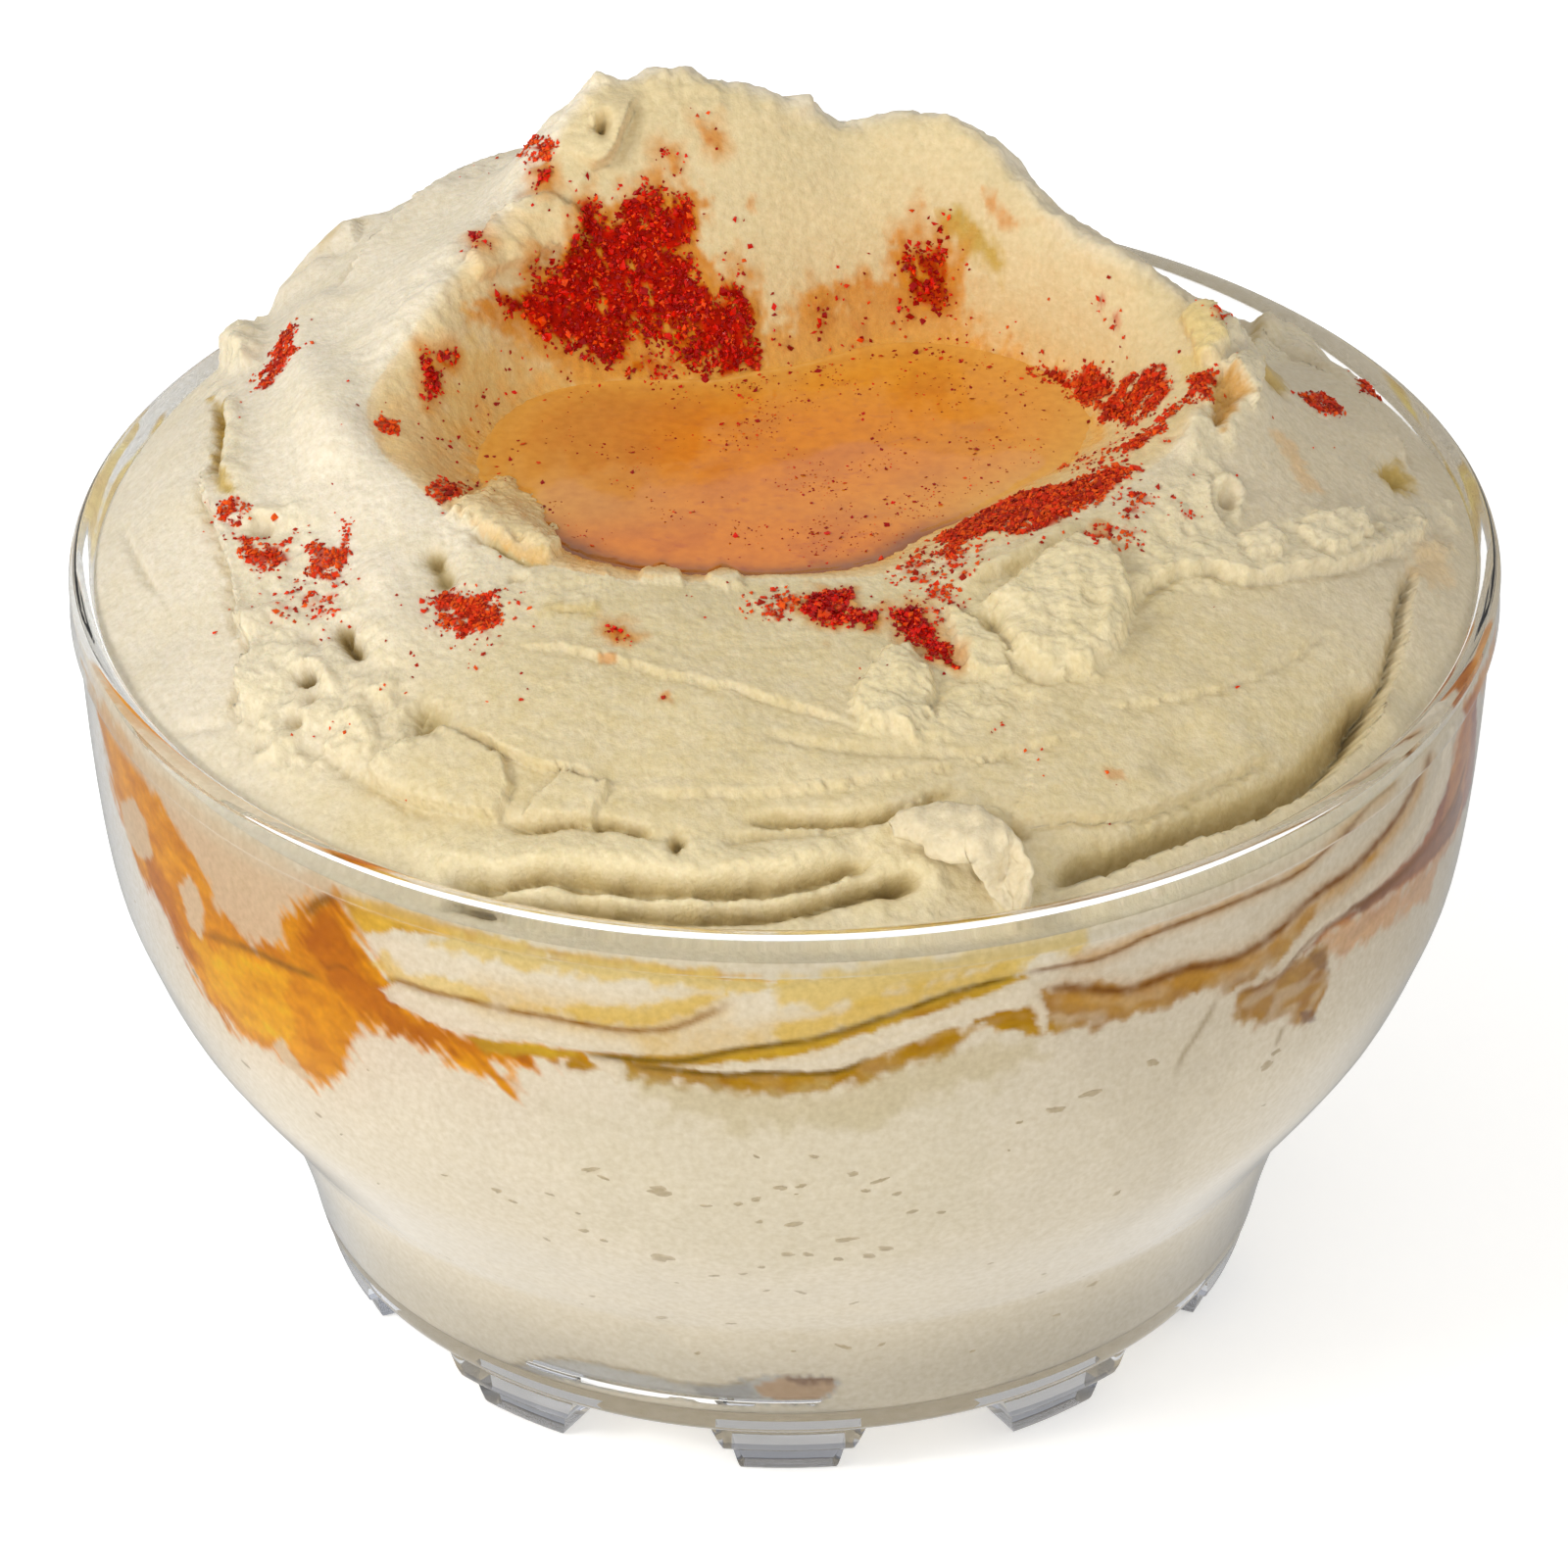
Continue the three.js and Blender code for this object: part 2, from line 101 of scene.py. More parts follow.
# ---------------------------------------------------------------- tables
FEATURES = [
    ('fold', 'groove_right', dict(h=1.3, e=0.35, back=6, crease=3.0, cw=2.2, rag=0.3, side=(57.1, -35.6)), [(57.2, -26.3), (56.2, -30.2), (52.9, -37.1), (49.1, -42.4), (44.0, -47.3), (36.3, -52.7), (30.0, -56.9), (24.2, -59.6)]),
    ('fold', 'groove_right_up', dict(h=0.8, e=0.35, back=4, crease=1.5, cw=1.0, rag=0.3, side=(62.9, -22.3)), [(61.5, -6.9), (60.2, -14.7), (58.6, -23.1), (56.2, -30.2), (53.9, -35.7)]),
    ('groove', 'front_a', dict(h=3.2, w=0.8, rag=0.2), [(-33.5, -56.0), (-27.6, -58.2), (-22.3, -58.7), (-16.3, -60.1), (-9.2, -61.3), (-3.7, -61.3), (1.3, -60.9), (7.1, -59.1), (9.3, -58.8)]),
    ('ridge', 'roll_a', dict(h=1.3, w=2.0, rag=0.3), [(-34.6, -53.4), (-25.7, -56.7), (-18.6, -57.8), (-9.5, -59.4), (0.1, -59.0), (6.9, -57.5)]),
    ('groove', 'front_b', dict(h=2.8, w=0.6, rag=0.2), [(-33.2, -57.9), (-25.9, -60.1), (-18.5, -61.9), (-9.5, -63.4), (-0.9, -63.5), (4.2, -62.3), (9.1, -61.0), (13.0, -60.3)]),
    ('ridge', 'roll_b', dict(h=1.0, w=1.1, rag=0.3), [(-34.0, -56.9), (-22.2, -60.2), (-9.3, -62.1), (-0.3, -61.9), (6.8, -60.7)]),
    ('groove', 'notch_b', dict(h=2.6, w=0.7, rag=0.1), [(8.0, -61.4), (10.8, -60.7), (12.9, -60.0)]),
    ('groove', 'front_c1', dict(h=2.2, w=0.5, rag=0.3), [(-27.7, -51.9), (-24.0, -53.8), (-18.6, -54.1), (-14.6, -55.0), (-12.3, -56.1), (-10.2, -56.5)]),
    ('groove', 'front_c2', dict(h=2.4, w=0.6, rag=0.3), [(-5.0, -54.8), (-1.0, -54.7), (2.5, -54.9), (7.0, -54.8), (11.0, -54.1), (14.7, -52.6), (17.0, -51.6)]),
    ('groove', 'front_c3', dict(h=0.9, w=0.5, rag=0.2), [(-7.7, -57.5), (-2.0, -56.3), (4.6, -56.1), (9.1, -55.3)]),
    ('pit', 'hole_c', dict(h=2.6, w=0.8), [(-10.3, -56.8)]),
    ('fold', 'stroke1', dict(h=0.45, e=0.6, back=5, crease=0.3, cw=0.6, rag=0.5, side=(-9.4, -34.2)), [(-26.3, -32.7), (-18.5, -35.1), (-9.5, -38.3), (-0.1, -41.6), (7.2, -45.2)]),
    ('fold', 'stroke2', dict(h=0.45, e=0.7, back=6, crease=0.35, cw=0.7, rag=0.5, side=(8.9, -47.1)), [(-14.8, -51.4), (-7.2, -51.9), (1.8, -51.7), (11.0, -50.2), (19.1, -47.7), (29.4, -42.8)]),
    ('groove', 'stroke3', dict(h=0.5, w=0.6, rag=0.5), [(-3.6, -44.7), (3.6, -47.1), (14.8, -48.1), (23.8, -46.4)]),
    ('fold', 'stroke4', dict(h=0.4, e=0.6, back=6, crease=0.3, cw=0.7, rag=0.5, side=(41.8, -29.8)), [(29.4, -40.4), (37.1, -37.1), (45.7, -30.8), (53.4, -21.5)]),
    ('plate', 'plate_left', dict(h=1.2, e=0.4, rag=0.4, dome=0), [(-39.6, -43.7), (-34.3, -41.7), (-32.7, -41.0), (-30.3, -43.3), (-27.7, -45.3), (-26.3, -46.7), (-25.9, -49.3), (-26.7, -52.2), (-30.3, -51.1), (-36.2, -47.8), (-38.6, -45.6)]),
    ('fold', 'edge_hl', dict(h=1.1, e=0.3, back=9, crease=0.3, cw=0.5, rag=0.3, side=(-18.7, -43.9)), [(-31.8, -41.3), (-30.2, -42.2), (-27.7, -44.4), (-24.4, -47.1), (-19.5, -48.8), (-16.4, -50.1)]),
    ('plate', 'plate_l2', dict(h=0.8, e=0.35, rag=0.4, dome=0), [(-20.9, -48.5), (-16.5, -50.4), (-17.6, -52.5), (-18.1, -54.3), (-24.6, -52.6), (-23.4, -50.9)]),
    ('pit', 'hole_l1', dict(h=2.4, w=1.0), [(-45.4, -31.3)]),
    ('pit', 'hole_l2', dict(h=1.4, w=0.7), [(-45.0, -34.1)]),
    ('pit', 'hole_l3', dict(h=1.5, w=0.8), [(-46.5, -36.0)]),
    ('ridge', 'hole_rim', dict(h=1.2, w=0.8, rag=0.2), [(-47.0, -31.3), (-46.4, -30.3), (-44.9, -30.3), (-43.5, -32.2), (-42.4, -35.7)]),
    ('ridge', 'hole_rim2', dict(h=0.7, w=0.8, rag=0.3), [(-47.6, -33.6), (-46.5, -34.7), (-45.6, -35.9), (-45.5, -37.2), (-47.1, -37.2)]),
    ('pit', 'pit_m', dict(h=1.7, w=1.6), [(-33.9, -41.0)]),
    ('pit', 'pit_m2', dict(h=1.0, w=1.2), [(-34.6, -39.0)]),
    ('fold', 'left_ridge', dict(h=1.9, e=0.5, back=3.0, crease=0.9, cw=0.9, rag=0.7, side=(-44.1, -25.9)), [(-56.6, 3.9), (-55.9, -2.2), (-54.2, -8.6), (-53.0, -14.1), (-52.4, -19.9), (-51.2, -25.8), (-51.7, -29.7), (-51.9, -32.3), (-52.1, -35.7)]),
    ('groove', 'left_low', dict(h=0.5, w=0.7, rag=0.3), [(-59.0, -30.2), (-57.7, -31.5), (-54.6, -32.8), (-52.0, -33.6)]),
    ('groove', 'crack_arc', dict(h=0.55, w=0.35, rag=0.3), [(-65.4, 4.8), (-63.7, -2.9), (-61.9, -8.6), (-59.8, -13.0)]),
    ('groove', 'crease_l1', dict(h=2.2, w=0.8, rag=0.3), [(-42.8, -24.0), (-41.8, -28.0), (-40.7, -29.9), (-39.3, -31.6)]),
    ('groove', 'crease_l2', dict(h=1.6, w=1.1, rag=0.3), [(-34.4, -17.5), (-33.3, -20.7), (-32.3, -23.4), (-31.6, -25.1)]),
    ('ridge', 'lobe_l', dict(h=1.1, w=2.6, rag=0.2), [(-40.2, -16.6), (-38.1, -22.8), (-36.5, -28.5), (-35.0, -33.4)]),
    ('ridge', 'curl_l', dict(h=1.1, w=0.8, rag=0.2), [(-51.6, -9.9), (-51.2, -8.0), (-49.9, -8.2), (-48.8, -9.7)]),
    ('pit', 'curl_l_h', dict(h=1.6, w=0.9), [(-50.1, -10.0)]),
    ('plate', 'pool_lump', dict(h=1.0, e=1.6, rag=0.9, dome=0.9), [(-32.2, -13.7), (-30.6, -11.0), (-28.9, -3.2), (-27.1, -0.9), (-25.3, -3.4), (-23.4, -4.5), (-22.0, -15.7), (-22.5, -21.2), (-25.5, -19.1), (-27.8, -17.8), (-30.8, -16.0)]),
    ('groove', 'pool_lump_c', dict(h=1.0, w=0.6, rag=0.3), [(-30.9, -15.7), (-28.1, -18.7), (-25.1, -20.7), (-22.1, -22.0)]),
    ('plate', 'nub1', dict(h=0.6, e=0.8, rag=0.45, dome=0.2), [(-14.0, -24.4), (-13.4, -20.8), (-11.8, -17.2), (-10.0, -21.3), (-9.7, -24.7)]),
    ('plate', 'nub2', dict(h=0.6, e=0.8, rag=0.45, dome=0.2), [(-7.4, -23.5), (-6.1, -17.2), (-4.7, -19.9), (-4.1, -24.6), (-5.6, -25.2)]),
    ('groove', 'crack_f', dict(h=0.4, w=0.3, rag=0.5), [(-23.0, -28.6), (-20.6, -29.0), (-17.6, -29.3)]),
    ('groove', 'crack_f2', dict(h=0.7, w=0.5, rag=0.2), [(-26.6, -24.4), (-25.8, -23.5), (-24.2, -23.9)]),
    ('plate', 'lump_m', dict(h=1.2, e=1.1, rag=0.6, dome=0.5), [(6.9, -39.8), (9.2, -35.7), (11.9, -34.3), (13.7, -37.9), (14.0, -43.2), (11.7, -45.9), (8.5, -45.3), (6.3, -42.9)]),
    ('plate', 'lump_r', dict(h=1.6, e=1.1, rag=0.5, dome=0.6), [(20.8, -32.5), (19.5, -28.2), (22.7, -24.9), (25.6, -22.0), (27.8, -20.1), (30.1, -20.5), (31.4, -21.0), (31.9, -24.5), (32.8, -27.7), (32.3, -31.1), (31.1, -34.1), (28.5, -36.3), (24.8, -37.0), (22.3, -35.4)]),
    ('groove', 'lump_r_c', dict(h=0.5, w=0.6, rag=0.3), [(21.2, -35.8), (23.1, -37.5), (25.1, -38.2), (28.3, -36.8), (30.8, -35.1)]),
    ('plate', 'lump_r2', dict(h=0.9, e=0.6, rag=0.6, dome=0.3), [(15.4, -28.8), (18.3, -31.2), (20.7, -33.6), (21.2, -37.4), (18.1, -37.5), (16.4, -35.0)]),
    ('ridge', 'pool_ridge', dict(h=1.1, w=1.2, rag=0.15), [(15.3, -25.8), (19.1, -24.1), (22.5, -22.1), (25.9, -19.4), (28.7, -18.3), (30.6, -18.8)]),
    ('groove', 'pool_ridge_c', dict(h=0.8, w=0.45, rag=0.15), [(17.2, -25.5), (21.3, -24.4), (23.7, -22.8)]),
    ('ridge', 'lump_r_edge', dict(h=0.9, w=0.7, rag=0.5), [(29.6, -26.0), (30.6, -28.9), (29.9, -32.3), (28.3, -34.1)]),
    ('pit', 'lump_r_p', dict(h=1.1, w=1.2), [(20.1, -30.7)]),
    ('fold', 'right_ridge', dict(h=1.4, e=1.0, back=6, crease=0.4, cw=0.8, rag=0.3, side=(43.5, -8.9)), [(31.7, -30.5), (33.6, -25.8), (36.8, -22.7), (40.5, -20.6), (44.1, -20.5), (48.0, -18.2), (52.6, -14.7), (56.7, -10.5), (61.2, -5.2)]),
    ('plate', 'lump_a', dict(h=1.0, e=0.7, rag=0.5, dome=0.4), [(48.9, -12.1), (50.6, -9.2), (53.1, -7.2), (55.5, -5.6), (56.0, -8.2), (53.9, -11.9), (50.7, -13.6)]),
    ('plate', 'lump_b', dict(h=0.8, e=0.7, rag=0.5, dome=0.3), [(43.7, -15.1), (45.9, -12.7), (47.7, -13.2), (47.3, -16.4), (44.3, -18.1)]),
    ('plate', 'lump_c', dict(h=0.8, e=0.6, rag=0.5, dome=0.3), [(56.8, -5.7), (60.0, -1.8), (62.5, -0.3), (61.6, -3.6), (58.1, -8.1)]),
    ('ridge', 'ring', dict(h=1.1, w=0.65, rag=0.15), [(41.8, -12.2), (41.4, -10.9), (42.1, -9.0), (43.3, -8.9), (43.7, -10.7), (42.7, -13.0), (41.8, -13.1)]),
    ('pit', 'ring_p', dict(h=1.4, w=0.9), [(42.8, -10.8)]),
    ('fold', 'tongue', dict(h=0.9, e=0.4, back=3, crease=0.2, cw=0.5, rag=0.3, side=(39.1, -13.8)), [(41.0, -7.9), (40.6, -10.6), (41.1, -12.8), (42.4, -15.5)]),
    ('plate', 'crest_torn', dict(h=1.3, e=0.6, rag=0.5, dome=0.4), [(39.1, 12.6), (40.1, 13.7), (41.6, 14.5), (42.3, 11.0), (43.4, 8.0), (42.4, 5.9), (40.8, 5.4), (39.9, 9.4)]),
    ('plate', 'amber_hollow', dict(h=-1.4, e=1.0, rag=0.3, dome=0), [(41.5, 3.5), (42.7, 5.1), (44.8, 2.4), (43.2, -0.8), (41.7, -3.0), (41.6, 0.1)]),
    ('plate', 'crest_flap', dict(h=1.0, e=0.5, rag=0.3, dome=0.2), [(43.4, 6.0), (46.5, 10.5), (46.6, 6.3), (45.4, 1.2), (44.3, 2.4)]),
    ('groove', 'crest_shadow', dict(h=1.8, w=0.9, rag=0.3), [(46.9, 9.7), (47.9, 8.6), (48.9, 9.2)]),
    ('ridge', 'crest_low', dict(h=1.2, w=1.1, rag=0.7), [(41.3, 0.5), (39.8, -3.1), (39.2, -5.6), (38.1, -8.4)]),
    ('ridge', 'rb_ridge', dict(h=0.9, w=1.6, rag=0.3), [(41.8, 14.6), (43.7, 13.0), (49.1, 44.9), (52.1, 41.3), (55.5, 37.2)]),
    ('groove', 'rb_hollow', dict(h=1.1, w=1.0, rag=0.3), [(43.7, 13.0), (48.1, 46.3), (50.5, 43.7)]),
    ('ridge', 'rb_ridge2', dict(h=0.5, w=1.6, rag=0.3), [(42.6, 13.9), (48.9, 45.5), (50.8, 43.3), (53.6, 40.2), (56.7, 35.2)]),
    ('groove', 'rb_line', dict(h=0.8, w=0.8, rag=0.2), [(48.5, 30.0), (50.9, 30.7), (53.9, 34.3), (57.7, 33.1)]),
    ('pit', 'dimple_r', dict(h=1.7, w=1.4), [(60.0, 6.3)]),
    ('groove', 'slope_dep', dict(h=0.7, w=1.5, rag=0.2), [(33.8, -47.3), (35.0, -45.4), (36.3, -43.6), (38.6, -40.8), (40.7, -40.7)]),
    ('fold', 'slope_step', dict(h=0.7, e=0.4, back=6, crease=0.7, cw=0.6, rag=0.35, side=(29.2, -48.0)), [(20.1, -52.8), (20.7, -54.3), (22.9, -54.0), (26.5, -52.7), (31.9, -51.2), (36.6, -48.2), (42.4, -43.2), (47.3, -38.6)]),
    ('pit', 'slope_pit', dict(h=1.4, w=1.0), [(21.5, -54.9)]),
    ('plate', 'flap', dict(h=1.1, e=0.7, rag=0.25, dome=0.4), [(9.6, -54.9), (11.7, -53.1), (14.2, -52.8), (16.6, -53.5), (19.9, -53.5), (21.9, -55.6), (23.0, -58.3), (22.2, -61.0), (20.9, -62.6), (19.9, -61.5), (18.7, -59.9), (17.7, -58.5), (16.5, -58.6), (14.6, -57.9), (12.7, -57.0), (10.5, -56.9)]),
    ('pit', 'flap_h', dict(h=1.6, w=1.5), [(20.6, -58.4)]),
    ('groove', 'flap_f', dict(h=1.0, w=0.5, rag=0.1), [(18.9, -57.0), (18.3, -58.6), (18.8, -60.1)]),
    ('ridge', 'flap_lump', dict(h=1.0, w=1.5, rag=0.3), [(11.3, -57.9), (13.3, -59.4), (15.7, -59.9)]),
    ('fold', 'curl_s', dict(h=2.0, e=0.5, back=4, crease=0.5, cw=1.0, rag=0.1, side=(-20.2, 32.3)), [(-13.4, 35.1), (-14.7, 33.5), (-15.7, 31.4), (-16.9, 29.4), (-18.6, 28.6), (-20.4, 29.3), (-21.3, 30.1)]),
    ('groove', 'curl_s_g', dict(h=1.5, w=0.6, rag=0.05), [(-17.1, 32.9), (-17.8, 31.7), (-18.2, 30.6)]),
    ('pit', 'curl_s_p', dict(h=1.8, w=0.7), [(-17.9, 31.4)]),
    ('plate', 'nose', dict(h=1.4, e=0.6, rag=0.5, dome=0.3), [(-31.1, 18.8), (-30.1, 20.9), (-27.9, 24.9), (-26.9, 25.6), (-26.0, 25.6), (-23.8, 26.2), (-22.0, 26.2), (-19.9, 25.3), (-20.1, 23.6), (-23.5, 22.0), (-27.3, 19.4), (-30.2, 17.0)]),
    ('ridge', 'swirl_l', dict(h=1.2, w=2.6, rag=0.1), [(-44.4, 29.5), (-46.2, 25.0), (-47.2, 19.4), (-46.4, 12.3), (-44.8, 3.5), (-43.0, -2.7), (-40.9, -7.7)]),
    ('groove', 'swirl_l_g', dict(h=0.7, w=2.2, rag=0.1), [(-40.1, 14.4), (-40.8, 5.7), (-39.5, -1.0), (-36.9, -8.3)]),
    ('ridge', 'lb_curl', dict(h=1.8, w=2.2, rag=0.3), [(-51.9, 32.6), (-49.9, 34.3), (-48.0, 36.1), (-45.1, 38.2), (-42.6, 39.9), (-41.8, 40.4), (-40.6, 38.0)]),
    ('groove', 'lb_crease', dict(h=1.0, w=0.9, rag=0.2), [(-49.9, 34.3), (-47.8, 35.9), (-45.6, 36.7), (-41.8, 36.0)]),
    ('plate', 'knob', dict(h=2.0, e=2.4, rag=0.6, dome=0.6), [(-52.6, 33.0), (-53.8, 31.9), (-55.0, 31.4), (-55.2, 27.4), (-53.0, 21.1), (-51.9, 23.2), (-52.6, 30.6)]),
    ('groove', 'olive_l', dict(h=1.8, w=0.5, rag=0.5), [(-56.2, 18.1), (-55.3, 8.6), (-55.2, 2.0), (-54.1, -3.0)]),
    ('ridge', 'olive_l_r', dict(h=0.9, w=1.0, rag=0.6), [(-54.6, 16.6), (-54.0, 7.0), (-53.4, -0.2), (-52.3, -5.5)]),
    ('pit', 'lump_l1', dict(h=-1.0, w=1.6), [(-50.4, -22.7)]),
    ('pit', 'lump_l2', dict(h=-1.1, w=1.8), [(-48.1, -38.1)]),
    ('pit', 'lump_l3', dict(h=-0.9, w=1.6), [(-40.5, -38.5)]),
    ('pit', 'lump_l4', dict(h=-0.8, w=1.4), [(-37.6, -35.5)]),
    ('groove', 'mid_l', dict(h=0.8, w=0.8, rag=0.6), [(-47.7, -37.7), (-43.7, -41.2), (-39.9, -44.8), (-35.1, -49.0), (-30.5, -51.6)]),
    ('groove', 'fold_l3', dict(h=0.6, w=0.6, rag=0.5), [(-46.9, -24.5), (-45.2, -26.6), (-43.6, -29.4)]),
    ('pit', 'tip_a', dict(h=-1.4, w=1.2), [(-18.0, 36.4)]),
    ('pit', 'tip_b', dict(h=-1.2, w=1.4), [(2.0, 37.2)]),
    ('pit', 'tip_c', dict(h=-1.0, w=2.2), [(-9.5, 37.3)]),
]
ROUGH = [
    (0.55, [(-52.6, -5.6), (-47.2, -7.2), (-42.8, -15.7), (-38.3, -27.9), (-34.6, -36.2), (-33.5, -41.3), (-37.1, -45.5), (-46.6, -42.6), (-51.7, -37.6), (-52.9, -22.8)]),
    (0.5, [(5.5, -38.4), (9.2, -33.5), (14.8, -31.6), (19.7, -26.3), (26.0, -20.7), (32.7, -20.5), (33.6, -30.1), (28.8, -37.5), (14.8, -46.7), (6.4, -45.9)]),
    (0.5, [(32.7, -20.5), (38.0, -8.0), (42.0, 13.8), (48.5, 45.9), (46.4, 1.6), (42.2, -7.4), (44.3, -13.5), (57.0, -3.2), (66.4, 9.2), (65.8, -3.9), (46.9, -20.3), (33.5, -27.8)]),
    (0.35, [(-37.1, -51.1), (-22.1, -54.8), (-4.0, -55.9), (9.1, -55.0), (21.5, -56.0), (22.6, -62.0), (8.6, -65.1), (-9.1, -65.9), (-27.6, -61.4), (-35.0, -56.3)]),
    (0.4, [(-58.1, 28.7), (-53.6, 17.3), (-50.6, -7.0), (-53.0, -7.9), (-56.8, 4.4)]),
    (0.18, [(40.7, 15.5), (50.1, 44.2), (57.6, 33.7), (51.9, 32.5), (43.9, 12.2)]),
    (0.35, [(-53.5, 32.4), (-51.5, 32.9), (-50.9, 16.5), (-55.8, 24.8)]),
    (0.3, [(-34.2, -11.0), (-21.2, 4.0), (-15.0, -25.9), (-22.4, -31.3), (-32.9, -24.4)]),
]
STAINS = [
    ('film', 3.0, 0.3, [(-38.6, 1.0), (-34.7, 7.2), (-29.1, 12.9), (-23.1, 15.2), (-25.1, 11.6), (-29.0, 2.2), (-22.9, -5.6), (-26.4, -17.1), (-31.3, -13.9), (-35.1, -8.1), (-38.0, -4.0)]),  # film_left
    # back_l: a film tint that is painted shade on the crater's inner left wall
    ('film', 2.5, 0.35, [(-28.3, 24.1), (-23.0, 24.9), (-20.3, 25.0), (-19.8, 23.2), (-23.5, 21.3), (-27.3, 18.4), (-29.5, 15.7), (-31.1, 15.9)]),  # back_l
    ('film', 1.6, 0.45, [(61.2, -5.2), (64.4, 0.3), (64.8, -6.8), (62.4, -10.5), (60.6, -9.6)]),  # edge_film
    ('amber', 1.6, 1.0, [(-10.8, 17.6), (-7.9, 16.3), (-3.2, 16.8), (9.7, 20.4), (24.1, 16.7), (25.5, 17.9), (23.6, 20.6), (19.5, 23.1), (18.2, 24.9), (17.6, 27.0), (14.5, 29.0), (12.2, 28.7), (10.0, 27.7), (5.9, 25.7), (2.6, 24.4), (0.9, 22.8), (-1.8, 21.7), (-2.6, 18.4)]),  # amber_back
    ('amber', 1.4, 1.0, [(-20.2, 25.3), (-17.5, 26.4), (-9.5, 28.2), (-7.7, 27.7), (-8.3, 25.7), (-6.6, 23.6), (-2.2, 23.7), (-1.7, 21.9), (-3.0, 17.8), (-6.4, 15.8), (-10.6, 17.2), (-14.5, 16.2), (-19.3, 15.8), (-23.1, 16.5), (-28.2, 15.9), (-31.1, 13.4), (-30.8, 14.5), (-27.8, 17.2), (-25.3, 19.5), (-24.2, 21.3), (-21.0, 23.1)]),  # amber_main
    ('yellowish', 2.4, 0.6, [(-30.8, 13.4), (-23.1, 16.5), (-19.3, 15.8), (-23.1, 11.0), (-28.8, 4.1), (-33.3, 1.2), (-33.7, 7.0)]),  # amber_left_in
    ('olive', 1.0, 0.9, [(15.1, 29.8), (17.4, 29.7), (18.8, 28.7), (21.2, 26.5), (21.9, 24.7), (19.8, 26.3), (16.2, 28.5)]),  # olive_back
    ('amber', 0.7, 0.7, [(19.9, 29.5), (21.0, 29.0), (21.4, 28.0), (23.6, 26.3), (21.7, 27.0), (20.1, 28.4)]),  # hook
    ('amberlight', 1.4, 0.8, [(24.4, 17.2), (29.0, 12.7), (31.4, 5.8), (29.3, 1.2), (24.9, -1.8), (18.9, -6.7), (15.1, -10.9), (19.0, -0.6), (23.1, 6.7), (25.3, 12.7)]),  # amber_right
    ('golden', 0.8, 0.85, [(41.5, 3.5), (42.7, 5.1), (44.8, 2.4), (43.2, -1.2), (42.0, -3.4), (41.6, 0.1)]),  # hollow
    ('yellowish', 1.0, 0.5, [(38.1, 8.7), (40.2, 7.9), (41.5, 3.9), (41.6, -1.4), (39.7, 2.0)]),  # hollow2
    ('olive', 1.2, 0.8, [(58.0, 5.7), (60.1, 9.6), (62.0, 7.6), (61.3, 4.2), (59.2, 3.1)]),  # dimple
    ('yellowish', 1.0, 0.6, [(39.1, 12.6), (41.6, 14.5), (43.4, 8.0), (40.8, 5.4)]),  # crest_r
    ('olive', 0.9, 0.8, [(-56.8, 18.7), (-55.2, 15.3), (-54.4, 2.0), (-53.0, -4.3), (-54.3, -3.5), (-55.6, 3.4)]),  # olive_l
    # these olive tints sit in cracks, creases and hollows: oil stain with painted shade in it
    ('olive', 1.3, 0.35, [(-23.3, -27.8), (-17.6, -28.7), (-17.6, -29.9), (-23.3, -29.0)]),  # crack_f
    ('olive', 0.8, 0.5, [(-28.4, -17.9), (-22.5, -20.8), (-22.4, -22.4), (-28.1, -19.5)]),  # lump_c
    ('olive', 1.0, 0.7, [(43.3, 13.3), (48.3, 46.5), (50.8, 43.3), (48.7, 45.3), (44.3, 13.6)]),  # rb_hollow
    ('olive', 0.9, 0.7, [(46.5, 8.8), (48.3, 19.8), (49.4, 10.6), (47.7, 6.3)]),  # crest_shadow
    ('olive', 1.0, 0.4, [(-48.6, 35.3), (-45.4, 37.8), (-42.9, 39.5), (-41.7, 39.7), (-45.5, 37.3)]),  # lb_curl
    ('amber', 0.8, 0.8, [(-16.9, -31.5), (-15.1, -31.2), (-14.7, -33.0), (-16.2, -34.1), (-17.1, -32.8)]),  # speck1
    ('amber', 0.6, 0.6, [(-17.4, -35.3), (-15.9, -35.1), (-15.9, -36.2), (-17.4, -36.2)]),  # speck2
    ('amber', 0.6, 0.7, [(-12.1, -40.1), (-10.9, -39.8), (-10.8, -41.2), (-12.0, -41.2)]),  # speck3
    ('amber', 0.6, 0.5, [(30.0, -47.2), (31.6, -46.8), (31.6, -47.8), (30.0, -48.2)]),  # speck4
    ('amber', 0.8, 0.7, [(-12.0, 31.1), (-10.8, 30.7), (-10.0, 29.1), (-11.0, 28.8), (-11.5, 29.7)]),  # tr1
    ('amber', 0.8, 0.7, [(-8.5, 32.4), (-5.7, 32.4), (-5.8, 30.6), (-7.6, 31.0)]),  # tr2
    ('amber', 0.6, 0.6, [(-3.6, 28.4), (-2.7, 28.7), (-2.7, 27.9), (-3.6, 27.9)]),  # tr3
    ('amber', 0.8, 0.7, [(-24.9, 30.3), (-23.0, 28.9), (-22.8, 26.8), (-24.2, 26.6)]),  # tr4
    ('amber', 0.8, 0.6, [(-30.6, 23.6), (-29.6, 22.8), (-29.4, 20.2), (-30.3, 19.3)]),  # tr5
    ('amber', 1.2, 0.55, [(29.0, -17.8), (31.2, -16.8), (31.8, -20.4), (29.7, -21.1)]),  # r_scat
    ('amberlight', 1.2, 0.4, [(47.5, 0.3), (49.4, 1.1), (52.2, -3.7), (50.1, -5.3)]),  # r_streak
]
